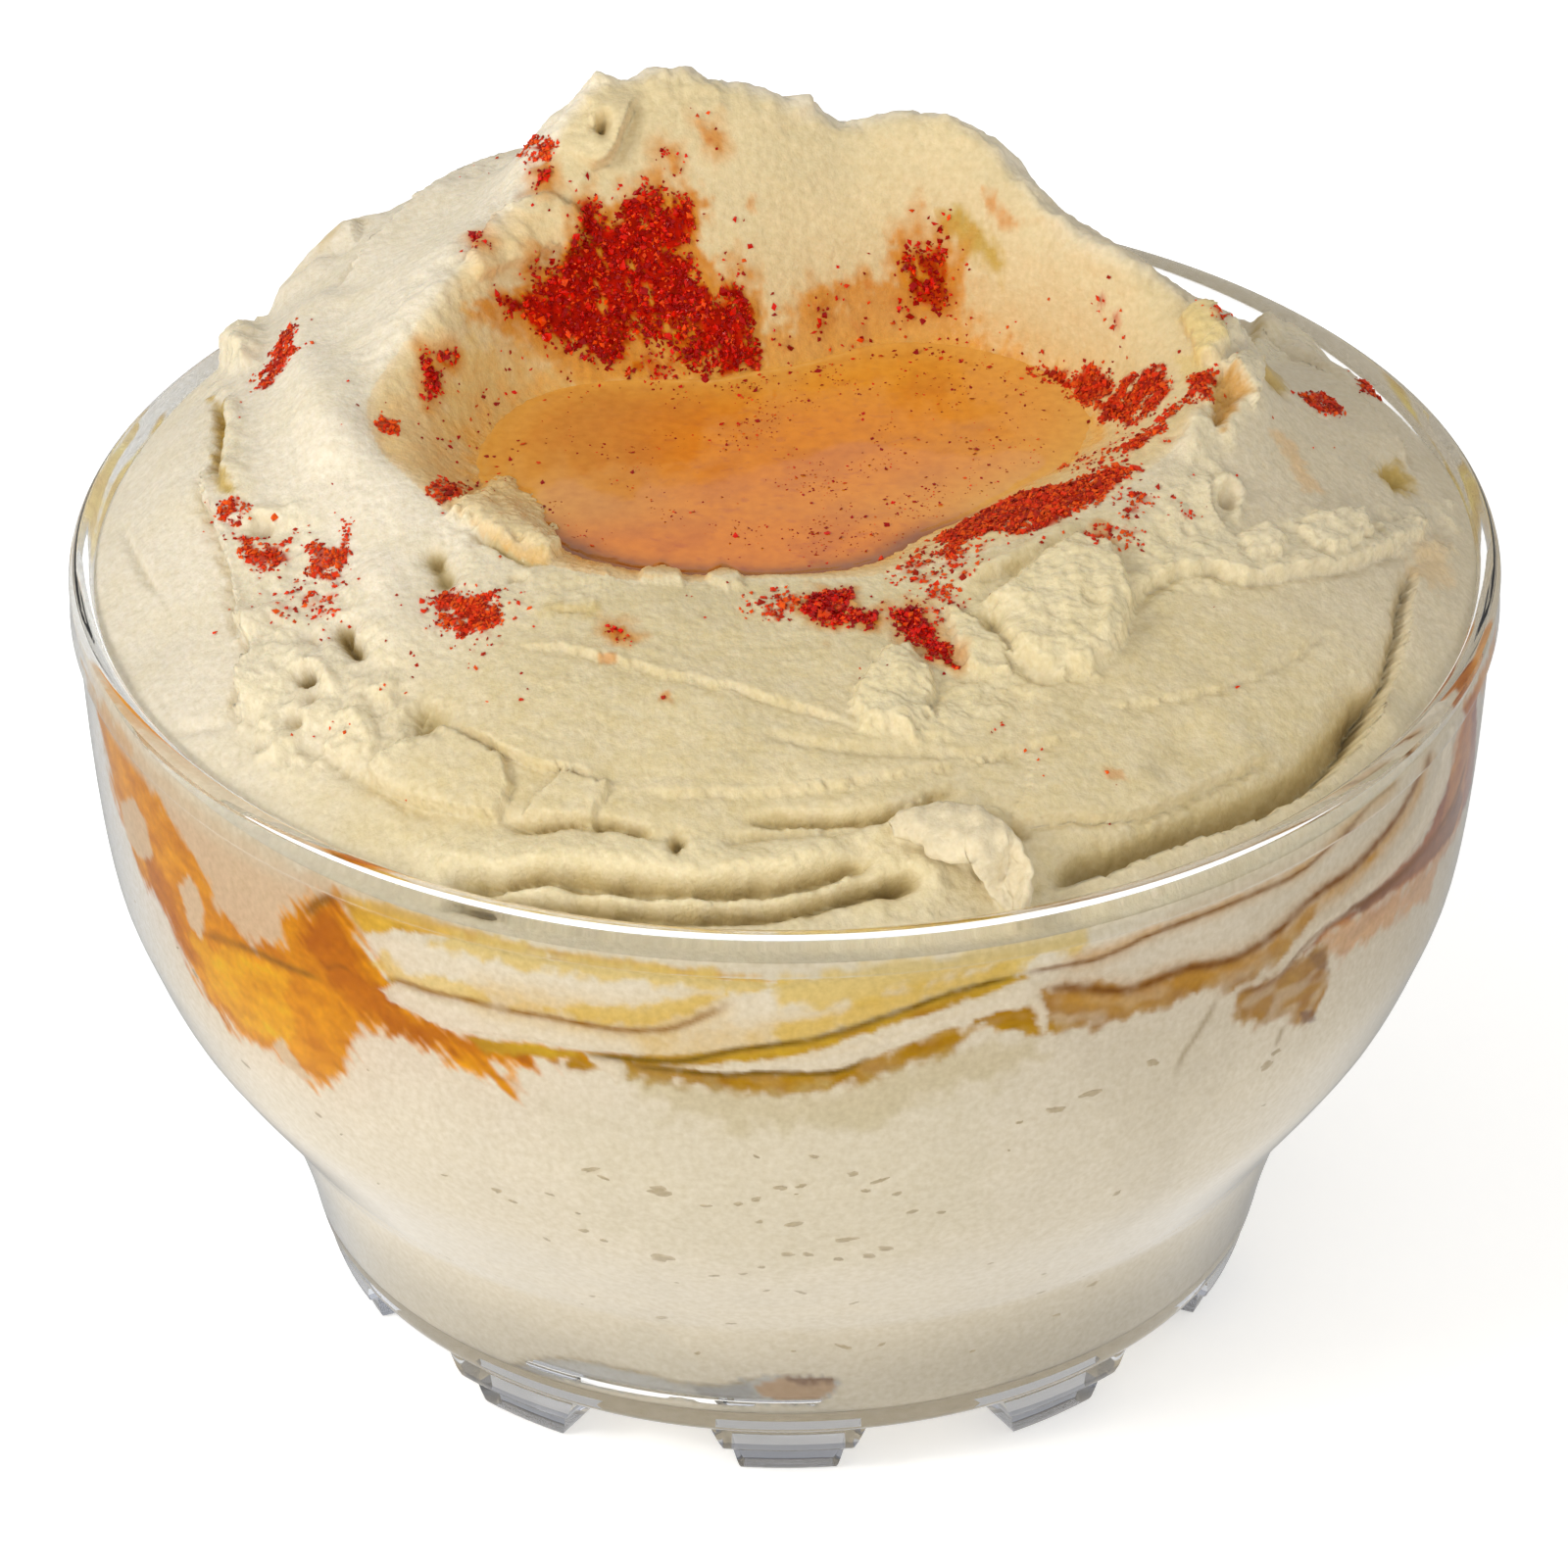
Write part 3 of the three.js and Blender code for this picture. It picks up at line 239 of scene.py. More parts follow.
SPICE = [
    (1, 1, 0.045, 2.0, [(-38.3, 0.4), (-29.2, 12.7), (-19.4, 16.1), (-22.2, 10.0), (-23.9, -3.5), (-31.3, -9.2)]),  # flm
    (1, 0.6, 1.15, 0.9, [(-19.6, 25.8), (-15.6, 27.0), (-9.9, 27.8), (-8.4, 27.5), (-9.7, 25.8), (-10.9, 24.5), (-9.3, 23.8), (-7.5, 23.1), (-3.1, 23.6), (-2.4, 22.9), (-3.4, 19.5), (-6.0, 17.5), (-9.4, 17.8), (-11.1, 19.5), (-14.0, 19.1), (-15.0, 17.8), (-18.2, 17.1), (-22.0, 17.3), (-24.9, 17.5), (-28.3, 16.3), (-28.3, 16.9), (-25.2, 18.8), (-24.8, 20.1), (-24.3, 21.1), (-21.5, 22.2), (-19.7, 24.2)]),  # main
    (1, 0.3, 0.45, 1.2, [(-15.6, 19.1), (-9.9, 19.3), (-8.3, 16.9), (-10.6, 16.3), (-15.6, 16.6)]),  # main_lo
    (1, 0.7, 1.0, 0.6, [(11.4, 28.3), (13.2, 28.8), (15.2, 28.0), (16.9, 26.6), (17.0, 25.5), (16.0, 25.0), (13.9, 26.0), (11.4, 27.1)]),  # b2
    (1, 0.5, 0.7, 0.6, [(1.5, 24.0), (2.8, 24.6), (4.1, 24.6), (3.6, 23.7), (1.9, 23.2)]),  # b3
    (0.8, 0.5, 0.16, 2.0, [(-2.2, 22.4), (2.8, 24.6), (9.4, 26.9), (17.9, 27.4), (19.5, 23.8), (23.5, 19.9), (9.9, 21.0), (-1.3, 18.1)]),  # b4
    (0.2, 0.2, 1.0, 0.5, [(23.9, 18.8), (25.1, 19.9), (26.3, 19.0), (28.4, 15.9), (30.2, 15.3), (32.0, 13.7), (33.1, 11.4), (35.9, 10.1), (37.6, 7.6), (38.3, 4.1), (36.3, 1.3), (33.3, 1.7), (31.2, 7.0), (29.1, 11.5), (27.5, 15.4), (24.7, 17.1)]),  # ra
    (0.1, 0.1, 0.9, 0.5, [(32.4, -3.8), (35.7, -1.0), (38.4, 1.3), (39.2, -0.9), (36.7, -4.1), (33.5, -6.9)]),  # rb
    (0.1, 0.1, 1.0, 0.5, [(39.1, 4.2), (40.1, 4.9), (41.5, 3.9), (41.9, 1.2), (40.8, -0.2), (39.2, 0.9)]),  # rc
    (0.1, 0.1, 0.28, 1.2, [(26.8, -0.5), (30.6, 0.6), (36.2, -1.0), (37.3, -4.2), (33.2, -8.1), (28.5, -8.8)]),  # rd
    (0.3, 0.3, 1.2, 0.6, [(14.6, -15.5), (18.9, -8.9), (23.8, -6.6), (28.3, -7.6), (33.2, -8.1), (34.6, -9.2), (32.0, -12.4), (29.1, -14.9), (24.5, -17.6), (19.6, -18.5), (15.9, -20.5)]),  # band
    (0.1, 0.1, 0.45, 1.0, [(11.1, -18.2), (15.5, -16.1), (19.8, -19.4), (17.6, -24.9), (14.4, -26.3), (10.7, -24.6)]),  # band2
    (0.6, 0.4, 1.2, 0.5, [(1.7, -28.1), (3.5, -25.1), (6.6, -25.2), (7.0, -28.2), (8.9, -28.8), (8.6, -30.6), (5.2, -31.7), (3.1, -30.1)]),  # fa
    (0.6, 0.6, 1.2, 0.5, [(9.6, -28.2), (13.0, -28.8), (14.8, -32.5), (16.1, -34.3), (15.8, -36.2), (14.1, -36.0), (11.8, -33.1), (9.6, -30.8)]),  # fb
    (0.3, 0.1, 0.6, 0.7, [(-3.3, -26.8), (-1.0, -25.3), (1.2, -26.0), (0.2, -29.5), (-1.7, -29.8)]),  # fc
    (0.2, 0.1, 0.3, 1.0, [(12.0, -26.0), (16.4, -24.8), (17.3, -27.7), (14.8, -31.6), (11.7, -28.8)]),  # fd
    (0.1, 0.1, 1.0, 0.5, [(-49.2, 23.0), (-47.4, 20.3), (-47.6, 15.5), (-49.4, 14.7), (-51.3, 13.4), (-52.2, 17.4), (-51.0, 20.8)]),  # la
    (0.1, 0.2, 0.95, 0.7, [(-51.9, -10.9), (-50.3, -11.4), (-47.5, -12.8), (-48.6, -16.3), (-50.4, -16.6), (-52.0, -13.8)]),  # lb
    (0.1, 0.2, 0.9, 0.6, [(-45.9, -14.0), (-43.2, -14.6), (-42.3, -12.7), (-41.2, -12.7), (-41.7, -17.0), (-43.1, -18.9), (-45.5, -19.2)]),  # lc
    (0.1, 0.2, 0.35, 1.0, [(-47.2, -19.1), (-42.8, -19.7), (-42.6, -24.4), (-46.9, -24.5), (-48.3, -21.1)]),  # ld
    (0.1, 0.15, 1.0, 0.7, [(-32.8, -25.3), (-31.4, -25.4), (-29.1, -25.6), (-27.5, -25.4), (-26.8, -29.2), (-28.9, -31.2), (-31.8, -29.9)]),  # le
    (0.1, 0.1, 0.25, 1.5, [(-33.7, -24.2), (-28.1, -24.1), (-25.8, -30.8), (-28.9, -33.0), (-33.7, -30.2)]),  # le2
    (0.7, 0.4, 0.9, 0.4, [(-34.4, 8.9), (-33.3, 10.1), (-32.4, 10.4), (-33.6, 8.7), (-34.5, 8.0)]),  # lf
    (0.6, 0.5, 0.9, 0.4, [(-35.4, 6.1), (-34.4, 7.7), (-33.3, 7.8), (-34.2, 5.9), (-35.3, 4.9)]),  # lg
    (0.1, 0.1, 0.9, 0.4, [(-40.3, -0.3), (-39.1, 0.7), (-37.5, 0.4), (-37.8, -0.8), (-39.2, -1.6)]),  # lh
    (0.3, 0.3, 0.8, 0.4, [(-34.1, -9.7), (-32.8, -8.0), (-30.8, -2.3), (-30.2, -4.3), (-32.0, -14.3), (-33.4, -12.3)]),  # li
    (0.2, 0.2, 1.0, 0.4, [(-25.3, 34.0), (-22.9, 30.8), (-23.4, 29.9), (-24.8, 30.6)]),  # lj
    (0.6, 0.5, 0.9, 0.4, [(-24.5, 29.3), (-23.1, 28.5), (-22.9, 27.4), (-24.0, 27.4)]),  # lk
    (0.2, 0.1, 0.8, 0.4, [(-53.6, -5.3), (-52.4, -4.6), (-51.3, -7.6), (-52.1, -9.1), (-53.4, -7.1)]),  # ll
    (0.3, 0.3, 0.5, 0.5, [(-55.6, -3.6), (-53.6, -5.7), (-52.8, -7.4), (-54.9, -5.4)]),  # lm
    (0.8, 0.3, 0.8, 0.5, [(-16.9, -31.5), (-15.1, -31.2), (-14.7, -33.0), (-16.1, -33.9)]),  # ma
    (0.7, 0.3, 0.8, 0.4, [(-30.6, 22.8), (-29.6, 22.4), (-29.4, 20.2), (-30.2, 19.9)]),  # mb
    (0.8, 0.2, 0.7, 0.5, [(-12.2, 30.7), (-10.5, 30.5), (-10.1, 29.3), (-11.1, 29.3)]),  # mc
    (0.8, 0.2, 0.6, 0.5, [(-8.5, 32.4), (-6.8, 32.2), (-6.1, 30.8), (-7.6, 31.0)]),  # md
    (0.5, 0.2, 0.5, 0.5, [(-9.3, 28.3), (-8.5, 28.0), (-9.2, 27.0), (-10.0, 27.3)]),  # me
    (0.1, 0.1, 0.9, 0.4, [(49.5, 10.2), (53.1, 18.3), (55.4, 14.2), (52.3, 9.6)]),  # ri
    (0.3, 0.5, 0.7, 0.4, [(57.8, 31.2), (59.6, 29.4), (59.9, 28.9), (57.7, 25.5)]),  # rj
    (0.1, 0.1, 0.6, 0.5, [(30.9, 18.0), (33.1, 16.5), (33.1, 15.8), (31.5, 16.9)]),  # rk
    (0.2, 0.1, 0.7, 0.5, [(28.9, -18.5), (30.5, -17.5), (31.6, -20.2), (30.0, -21.2)]),  # rl
    (0.1, 0.1, 0.5, 0.5, [(33.5, -12.4), (34.9, -12.5), (34.2, -15.6), (32.8, -15.4)]),  # rm
    (0.1, 0.1, 0.4, 0.6, [(38.2, -13.8), (40.1, -13.3), (39.6, -15.2), (38.1, -15.4)]),  # rn
    (0.1, 0.1, 0.35, 0.8, [(32.0, -13.9), (35.8, -12.5), (35.9, -17.7), (32.5, -20.4)]),  # ro
    (0.1, 0.1, 0.8, 0.4, [(42.2, 12.2), (42.9, 12.8), (42.9, 10.7), (42.3, 11.0)]),  # tb
]
SPECKS = [(-24.9, -40.3, 0.7), (-11.5, -40.8, 0.7), (42.9, -33.7, 0.6), (19.4, -44.9, 0.5), (19.7, -44.5, 0.4), (20.4, -43.9, 0.4), (22.5, -46.2, 0.5), (24.1, -46.0, 0.5), (23.7, -47.4, 0.4), (24.1, -49.3, 0.3), (20.3, -43.6, 0.4), (30.1, -47.5, 0.6), (30.9, -48.6, 0.3), (30.5, -52.0, 0.4), (-38.1, -36.1, 0.4), (-36.0, -36.4, 0.4), (-35.3, -34.9, 0.4), (-37.8, -35.7, 0.4), (-46.5, -38.0, 0.4), (-44.7, -38.5, 0.4), (-43.1, -38.4, 0.4), (-41.5, -39.7, 0.5), (-41.0, -39.1, 0.3), (-42.7, -38.0, 0.3), (-38.1, -36.1, 0.5), (-28.1, -39.8, 0.4), (-24.3, -39.1, 0.35), (-24.9, -36.9, 0.45), (-7.6, -29.7, 0.5), (-5.5, -24.7, 0.3), (-9.4, -26.5, 0.35), (-8.9, -26.6, 0.3), (-35.8, -48.1, 0.35), (-35.8, -42.1, 0.4), (-54.9, -20.5, 0.6), (-53.7, -17.8, 0.3), (-42.4, 5.2, 0.5), (-43.6, -7.6, 0.3), (-43.3, -11.0, 0.25), (-53.1, 8.3, 0.4), (-54.7, -20.4, 0.3), (-53.3, 12.4, 0.3), (-42.5, -1.9, 0.2), (-27.3, -25.6, 0.3), (7.1, -37.3, 0.4), (7.0, -38.4, 0.4), (24.6, -21.1, 0.5), (31.7, 17.0, 0.4), (26.2, 21.4, 0.5), (22.2, 22.6, 0.5), (21.4, 22.7, 0.3), (18.2, 26.9, 0.5), (18.1, 24.3, 0.4), (33.7, 12.9, 0.4), (43.0, 13.2, 0.4), (43.9, 6.4, 0.3), (40.7, 15.5, 0.4), (43.5, -7.7, 0.5), (47.5, 2.0, 0.4), (53.7, 4.9, 0.3), (51.5, 2.5, 0.3), (60.1, 29.0, 0.4), (40.9, -25.3, 0.2), (9.6, -38.4, 0.3), (-10.8, 18.2, 0.4), (-14.3, 21.3, 0.4), (-4.0, 25.0, 0.6), (-6.0, 24.7, 0.4), (6.2, 25.9, 0.6), (8.0, 26.9, 0.4), (10.8, 25.1, 0.6), (17.2, 23.4, 0.3), (-42.9, -13.3, 0.3), (-47.2, -11.0, 0.45), (-47.4, -11.4, 0.4), (-45.8, -11.4, 0.35), (-50.1, -18.9, 0.5), (-50.7, -20.7, 0.4), (-48.9, -23.5, 0.4), (-46.7, -24.3, 0.5), (-44.1, -25.9, 0.4), (-43.6, -27.1, 0.4), (-35.5, -32.1, 0.6), (-35.2, -32.4, 0.4), (-30.0, -35.1, 0.3), (-37.8, -30.2, 0.4), (-50.3, -21.0, 0.3), (-30.7, 3.0, 0.4), (-32.0, 8.1, 0.4), (-30.1, 8.5, 0.5), (-30.7, 6.6, 0.5), (-24.9, 15.2, 0.5), (-25.7, 15.4, 0.4), (-28.0, 11.0, 0.3), (-29.0, 8.7, 0.35), (-23.3, 18.4, 0.4), (-31.7, 20.2, 0.5), (-28.4, 45.1, 0.5), (-25.6, 34.4, 0.3), (-24.9, 34.6, 0.4), (-29.2, 40.1, 0.3), (-32.0, 41.1, 0.25), (-30.6, 43.7, 0.25), (-20.4, 26.8, 0.4), (35.2, -14.6, 0.4), (36.6, -15.6, 0.4), (37.8, -14.1, 0.3), (38.9, -14.1, 0.4), (39.9, -14.5, 0.35), (34.2, -19.7, 0.4), (34.4, -18.2, 0.3), (37.3, -13.1, 0.5), (39.3, -9.4, 0.4), (31.6, -14.8, 0.3)]
SIDE = [
    ('peach', 4, 0.7, [(-71.8, 75.0), (-63.7, 75.0), (-58.5, 75.0), (-50.2, 75.0), (-40.2, 75.0), (-27.4, 75.0), (-28.9, 73.3), (-39.9, 67.3), (-49.6, 60.8), (-60.0, 58.9), (-67.1, 60.8), (-73.0, 66.9), (-75.8, 73.9)]),
    ('amber', 0.8, 1, [(-39.5, 72.4), (-37.7, 74.0), (-37.4, 71.9), (-36.6, 68.9), (-34.6, 66.6), (-33.2, 65.2), (-31.4, 63.2), (-29.2, 62.3), (-26.5, 61.8), (-23.5, 61.9), (-20.7, 62.3), (-16.8, 63.0), (-13.3, 63.1), (-16.0, 61.8), (-20.8, 60.7), (-24.1, 59.4), (-22.2, 56.3), (-24.6, 57.6), (-28.0, 58.6), (-30.3, 60.0), (-33.8, 59.4), (-36.0, 59.2), (-38.0, 56.9), (-39.3, 52.5), (-43.0, 48.8), (-45.4, 49.2), (-47.0, 49.9), (-52.5, 49.2), (-57.3, 51.0), (-60.5, 55.7), (-63.0, 57.4), (-65.6, 58.4), (-68.5, 60.1), (-71.2, 63.7), (-72.7, 66.0), (-68.0, 71.6), (-65.1, 70.2), (-61.5, 69.2), (-58.2, 69.1), (-55.4, 67.5), (-53.8, 64.0), (-50.6, 63.1), (-47.9, 62.7), (-45.1, 63.6), (-44.3, 65.7), (-44.5, 67.6), (-42.1, 69.5)]),
    ('amber', 0.8, 1, [(-70.8, 75.0), (-66.3, 75.0), (-64.5, 75.0), (-62.8, 72.3), (-60.6, 69.9), (-57.0, 67.1), (-55.2, 64.3), (-57.5, 61.9), (-61.0, 62.2), (-64.6, 62.6), (-68.4, 64.5), (-72.3, 67.4), (-74.9, 71.2)]),
    ('yelloworange', 0.6, 1, [(-78.5, 75.0), (-76.8, 75.0), (-70.7, 75.0), (-66.2, 75.0), (-68.7, 75.0), (-71.7, 75.0), (-73.9, 75.0)]),
    ('deep', 1.6, 0.75, [(-40.7, 70.3), (-38.8, 71.8), (-37.6, 68.4), (-35.6, 64.8), (-33.3, 62.3), (-29.7, 61.5), (-24.4, 61.4), (-20.5, 61.9), (-24.4, 60.2), (-29.8, 60.1), (-34.5, 60.0), (-38.3, 61.2), (-40.1, 64.3), (-42.1, 66.2)]),
    ('deep', 1.2, 0.5, [(-64.3, 63.9), (-60.7, 61.8), (-59.9, 57.8), (-57.5, 55.3), (-59.6, 53.3), (-62.4, 56.1), (-65.6, 58.4)]),
    ('bright', 2.0, 0.8, [(-57.1, 57.3), (-49.7, 60.2), (-44.9, 60.0), (-44.3, 55.7), (-47.4, 51.4), (-51.9, 51.3), (-55.7, 52.9)]),
    ('peachlight', 0.6, 0.9, [(-70.5, 64.3), (-66.5, 67.8), (-63.8, 66.6), (-63.3, 63.2), (-66.1, 60.6), (-69.4, 60.9)]),
    ('peachlight', 0.6, 0.95, [(-58.8, 62.5), (-56.8, 65.2), (-55.4, 63.9), (-54.9, 61.6), (-56.3, 58.1), (-58.0, 59.0)]),
    ('peachlight', 0.5, 0.9, [(-48.0, 50.5), (-46.2, 52.3), (-44.6, 50.2), (-42.9, 48.9), (-44.1, 48.4), (-46.4, 48.8)]),
    ('yellowamber', 0.9, 1, [(-37.7, 73.9), (-32.5, 75.0), (-27.2, 75.0), (-27.3, 75.0), (-26.6, 74.8), (-22.1, 74.5), (-16.6, 74.5), (-9.4, 74.4), (-3.2, 73.8), (0.2, 72.9), (-3.3, 72.9), (-11.2, 73.5), (-20.2, 73.7), (-26.7, 73.3), (-31.8, 71.9), (-35.1, 70.0), (-36.6, 71.4)]),
    ('paste', 0.5, 1, [(-35.4, 70.1), (-32.8, 71.7), (-26.7, 73.4), (-20.2, 73.8), (-11.2, 73.6), (-3.3, 72.9), (-0.2, 72.4), (-2.5, 71.6), (-4.3, 70.7), (-6.4, 69.2), (-7.9, 68.1), (-9.5, 67.3), (-11.4, 66.7), (-14.3, 66.6), (-18.6, 66.7), (-22.4, 66.6), (-26.3, 66.5), (-29.4, 66.3), (-32.4, 66.3), (-34.2, 67.9), (-35.3, 69.0)]),
    ('yellow', 1.6, 0.75, [(-26.7, 73.6), (-20.2, 74.0), (-11.2, 73.9), (-3.3, 73.1), (-0.2, 72.4), (-2.5, 71.9), (-7.9, 72.3), (-14.1, 72.2), (-20.6, 72.1), (-25.6, 72.1), (-29.1, 71.8)]),
    ('yellow', 1.2, 0.8, [(-19.1, 67.3), (-14.2, 67.2), (-11.4, 67.3), (-7.9, 68.9), (-4.8, 71.4), (-7.9, 70.5), (-11.8, 68.8), (-15.8, 68.5)]),
    ('yellow', 1.4, 0.7, [(-34.5, 67.0), (-32.4, 66.2), (-29.4, 66.1), (-26.3, 66.4), (-22.4, 66.6), (-25.8, 67.6), (-30.2, 67.5), (-33.4, 68.6)]),
    ('paste', 0.45, 1, [(-34.3, 64.2), (-32.5, 65.8), (-29.4, 65.9), (-26.3, 66.0), (-22.5, 66.0), (-18.6, 66.2), (-14.3, 66.0), (-11.4, 66.1), (-8.7, 67.0), (-6.4, 68.6), (-4.3, 70.1), (-1.7, 72.0), (0.8, 73.1), (5.6, 74.3), (12.9, 75.0), (18.4, 75.0), (23.3, 75.0), (27.6, 75.0), (32.1, 75.0), (31.1, 72.0), (24.8, 70.9), (18.8, 71.3), (15.7, 70.9), (13.0, 70.5), (9.1, 69.1), (5.6, 67.7), (2.1, 66.5), (-1.8, 65.6), (-4.3, 65.2), (-8.0, 64.3), (-9.7, 63.9), (-13.3, 63.3), (-16.8, 63.0), (-20.7, 63.0), (-23.5, 62.6), (-26.5, 62.0), (-29.6, 62.5), (-32.4, 63.0), (-33.7, 63.6)]),
    ('yellow', 2.2, 0.8, [(-0.2, 73.1), (5.6, 74.4), (12.9, 75.0), (20.0, 75.0), (23.3, 75.0), (23.4, 73.3), (18.8, 73.0), (13.0, 72.7), (7.5, 71.3), (3.6, 70.5), (-0.2, 70.4)]),
    ('yellow', 1.6, 0.8, [(-0.2, 66.1), (2.1, 66.6), (5.6, 68.0), (9.0, 69.3), (13.0, 70.8), (18.8, 71.7), (17.7, 72.5), (13.0, 71.8), (9.0, 70.9), (5.6, 69.7), (2.1, 68.1), (-1.0, 67.2)]),
    ('yellowolive', 0.6, 1, [(-26.5, 61.9), (-20.7, 62.9), (-16.8, 63.0), (-13.3, 63.2), (-9.7, 63.7), (-4.3, 65.0), (-1.8, 65.5), (2.1, 66.4), (5.6, 67.6), (9.1, 69.0), (13.0, 70.4), (18.8, 71.2), (19.4, 70.6), (16.9, 69.9), (13.1, 68.9), (9.1, 67.5), (5.7, 66.3), (3.8, 65.4), (-0.2, 64.0), (-1.8, 63.8), (-6.5, 63.0), (-8.7, 62.7), (-12.8, 62.3), (-16.0, 62.4), (-20.7, 61.3), (-24.6, 60.4)]),
    ('olive', 2.0, 1, [(-19.3, 61.3), (-13.3, 62.6), (-8.0, 62.4), (-4.9, 62.0), (-1.8, 62.4), (3.8, 62.4), (6.8, 63.9), (9.1, 64.7), (12.2, 65.6), (15.4, 65.7), (14.3, 64.2), (10.7, 63.3), (7.6, 62.4), (6.0, 60.9), (2.9, 60.2), (-0.2, 59.8), (-3.4, 60.0), (-6.5, 60.5), (-8.8, 60.7), (-12.0, 61.2), (-16.0, 60.9)]),
    ('olivepale', 4, 0.4, [(-12.8, 61.2), (-6.5, 60.3), (-0.2, 59.6), (6.0, 60.5), (12.3, 62.8), (18.7, 63.7), (20.5, 60.9), (12.4, 59.3), (7.6, 56.5), (-0.3, 55.2), (-6.6, 56.1), (-11.3, 58.5)]),
    ('olive', 0.9, 1, [(15.4, 66.8), (16.9, 67.3), (18.9, 67.3), (20.3, 65.6), (21.7, 64.0), (19.6, 64.4), (17.1, 65.3)]),
    ('paste', 0.5, 1, [(-8.0, 62.7), (-4.9, 62.9), (-1.8, 63.5), (3.8, 65.0), (5.7, 65.8), (9.1, 67.0), (13.1, 68.4), (16.9, 69.7), (18.8, 70.5), (21.6, 69.4), (20.4, 68.7), (18.9, 67.6), (16.9, 67.5), (14.2, 66.8), (11.2, 65.9), (8.7, 64.8), (6.8, 64.0), (5.2, 63.1), (3.8, 62.5), (0.5, 62.5), (-1.8, 62.6), (-4.9, 62.2)]),
    ('paste', 0.5, 0.9, [(-16.6, 63.1), (-15.2, 62.9), (-13.4, 62.8), (-12.8, 61.5), (-13.0, 59.9), (-13.7, 59.5), (-14.6, 60.7), (-15.7, 61.7)]),
    ('yellowbrown', 1.6, 0.9, [(20.3, 68.3), (23.6, 68.0), (27.1, 66.5), (31.4, 66.1), (34.0, 65.8), (36.6, 63.9), (32.8, 63.6), (28.2, 63.4), (23.8, 63.6), (21.7, 64.0), (20.5, 65.8)]),
    ('paste', 0.5, 0.9, [(19.7, 69.6), (20.4, 68.7), (21.0, 66.5), (21.2, 63.7), (20.7, 63.6), (20.0, 66.4), (19.1, 68.4)]),
    ('yellowbrown', 1.8, 0.9, [(31.7, 66.5), (35.5, 66.0), (38.8, 65.1), (43.4, 65.2), (47.7, 67.1), (47.1, 64.6), (44.1, 62.3), (39.8, 61.8), (35.1, 63.7)]),
    ('paste', 0.5, 1, [(38.5, 61.3), (43.0, 61.7), (45.3, 63.9), (47.5, 65.5), (52.1, 64.9), (57.1, 65.8), (62.6, 66.9), (66.3, 70.7), (67.0, 75.0), (68.9, 73.7), (69.2, 67.8), (64.9, 64.9), (59.0, 63.7), (53.3, 63.2), (48.9, 63.4), (46.7, 61.8), (44.1, 60.0), (40.2, 60.3)]),
    ('brown', 1.0, 1, [(46.5, 61.9), (49.0, 63.2), (53.3, 62.9), (59.1, 63.4), (63.6, 63.5), (67.3, 65.7), (69.8, 68.5), (71.4, 71.9), (69.6, 75.0), (76.2, 75.0), (75.1, 75.0), (80.9, 58.2), (75.1, 58.4), (69.0, 59.1), (64.4, 59.8), (58.8, 61.3), (54.1, 62.1), (49.3, 62.5)]),
    ('orangepale', 2.6, 0.6, [(49.3, 62.2), (55.7, 61.0), (64.6, 59.1), (75.6, 57.5), (75.1, 75.0), (76.0, 75.0), (70.5, 75.0), (67.9, 55.0), (57.8, 58.0), (51.9, 58.3)]),
    ('darkbrown', 0.8, 0.9, [(52.5, 63.6), (58.5, 63.0), (64.3, 62.4), (69.4, 62.0), (73.2, 63.2), (75.5, 60.8), (72.4, 58.7), (66.0, 60.0), (59.4, 61.5), (53.6, 62.2)]),
    ('yellowbrown', 1.6, 0.95, [(39.0, 61.1), (42.0, 61.1), (45.4, 61.1), (48.4, 60.8), (49.7, 58.1), (49.7, 55.6), (48.7, 53.8), (47.7, 52.7), (44.9, 55.5), (42.6, 55.2), (40.8, 57.2), (39.4, 59.0)]),
    ('darkbrown', 0.8, 0.5, [(47.1, 61.2), (49.1, 60.4), (50.2, 57.6), (48.8, 58.4)]),
    ('darkbrown', 0.5, 0.6, [(46.7, 54.8), (48.7, 53.8), (49.3, 52.1), (47.7, 52.6)]),
    ('orangepale', 2.0, 0.8, [(82.1, 75.0), (82.2, 75.0), (80.6, 75.0), (83.9, 67.3), (72.9, 75.0), (70.0, 75.0)]),
    ('yellowamber', 0.8, 0.8, [(82.0, 75.0), (77.6, 75.0), (71.4, 75.0), (72.8, 75.0)]),
    ('palegreen', 8, 0.12, [(-19.6, 55.5), (-8.1, 58.9), (7.6, 57.7), (15.6, 58.7), (16.9, 40.3), (-0.3, 34.7), (-17.5, 40.3)]),
    ('shade', 9, 0.14, [(23.8, 62.2), (43.3, 59.3), (67.4, 56.5), (78.5, 59.9), (67.7, 75.0), (53.7, 75.0), (40.7, 75.0), (33.8, 32.7)]),
    ('light', 1.2, 0.35, [(-19.1, 19.0), (-16.8, 20.9), (-13.5, 19.9), (-11.5, 17.5), (-9.3, 14.1), (-12.0, 12.3), (-16.7, 13.0), (-18.8, 14.7)]),
    # void and voiddark paint the grey look of an air gap between paste and glass: a painted reflection, with voiddark
    # as its painted shade
    ('void', 0.6, 0.9, [(-36.9, 7.6), (-29.3, 12.0), (-23.9, 13.2), (-16.7, 13.0), (-12.0, 12.3), (-6.8, 12.9), (-2.7, 14.3), (4.0, 14.2), (6.1, 13.2), (5.0, 10.9), (3.0, 9.7), (-1.7, 10.0), (-7.6, 9.1), (-12.3, 9.8), (-19.7, 9.2), (-26.2, 8.9), (-32.1, 8.2)]),
    ('voiddark', 1.2, 0.8, [(-12.0, 12.0), (-6.8, 12.6), (-4.5, 13.0), (-2.8, 10.7), (-6.9, 9.8), (-10.4, 10.4)]),
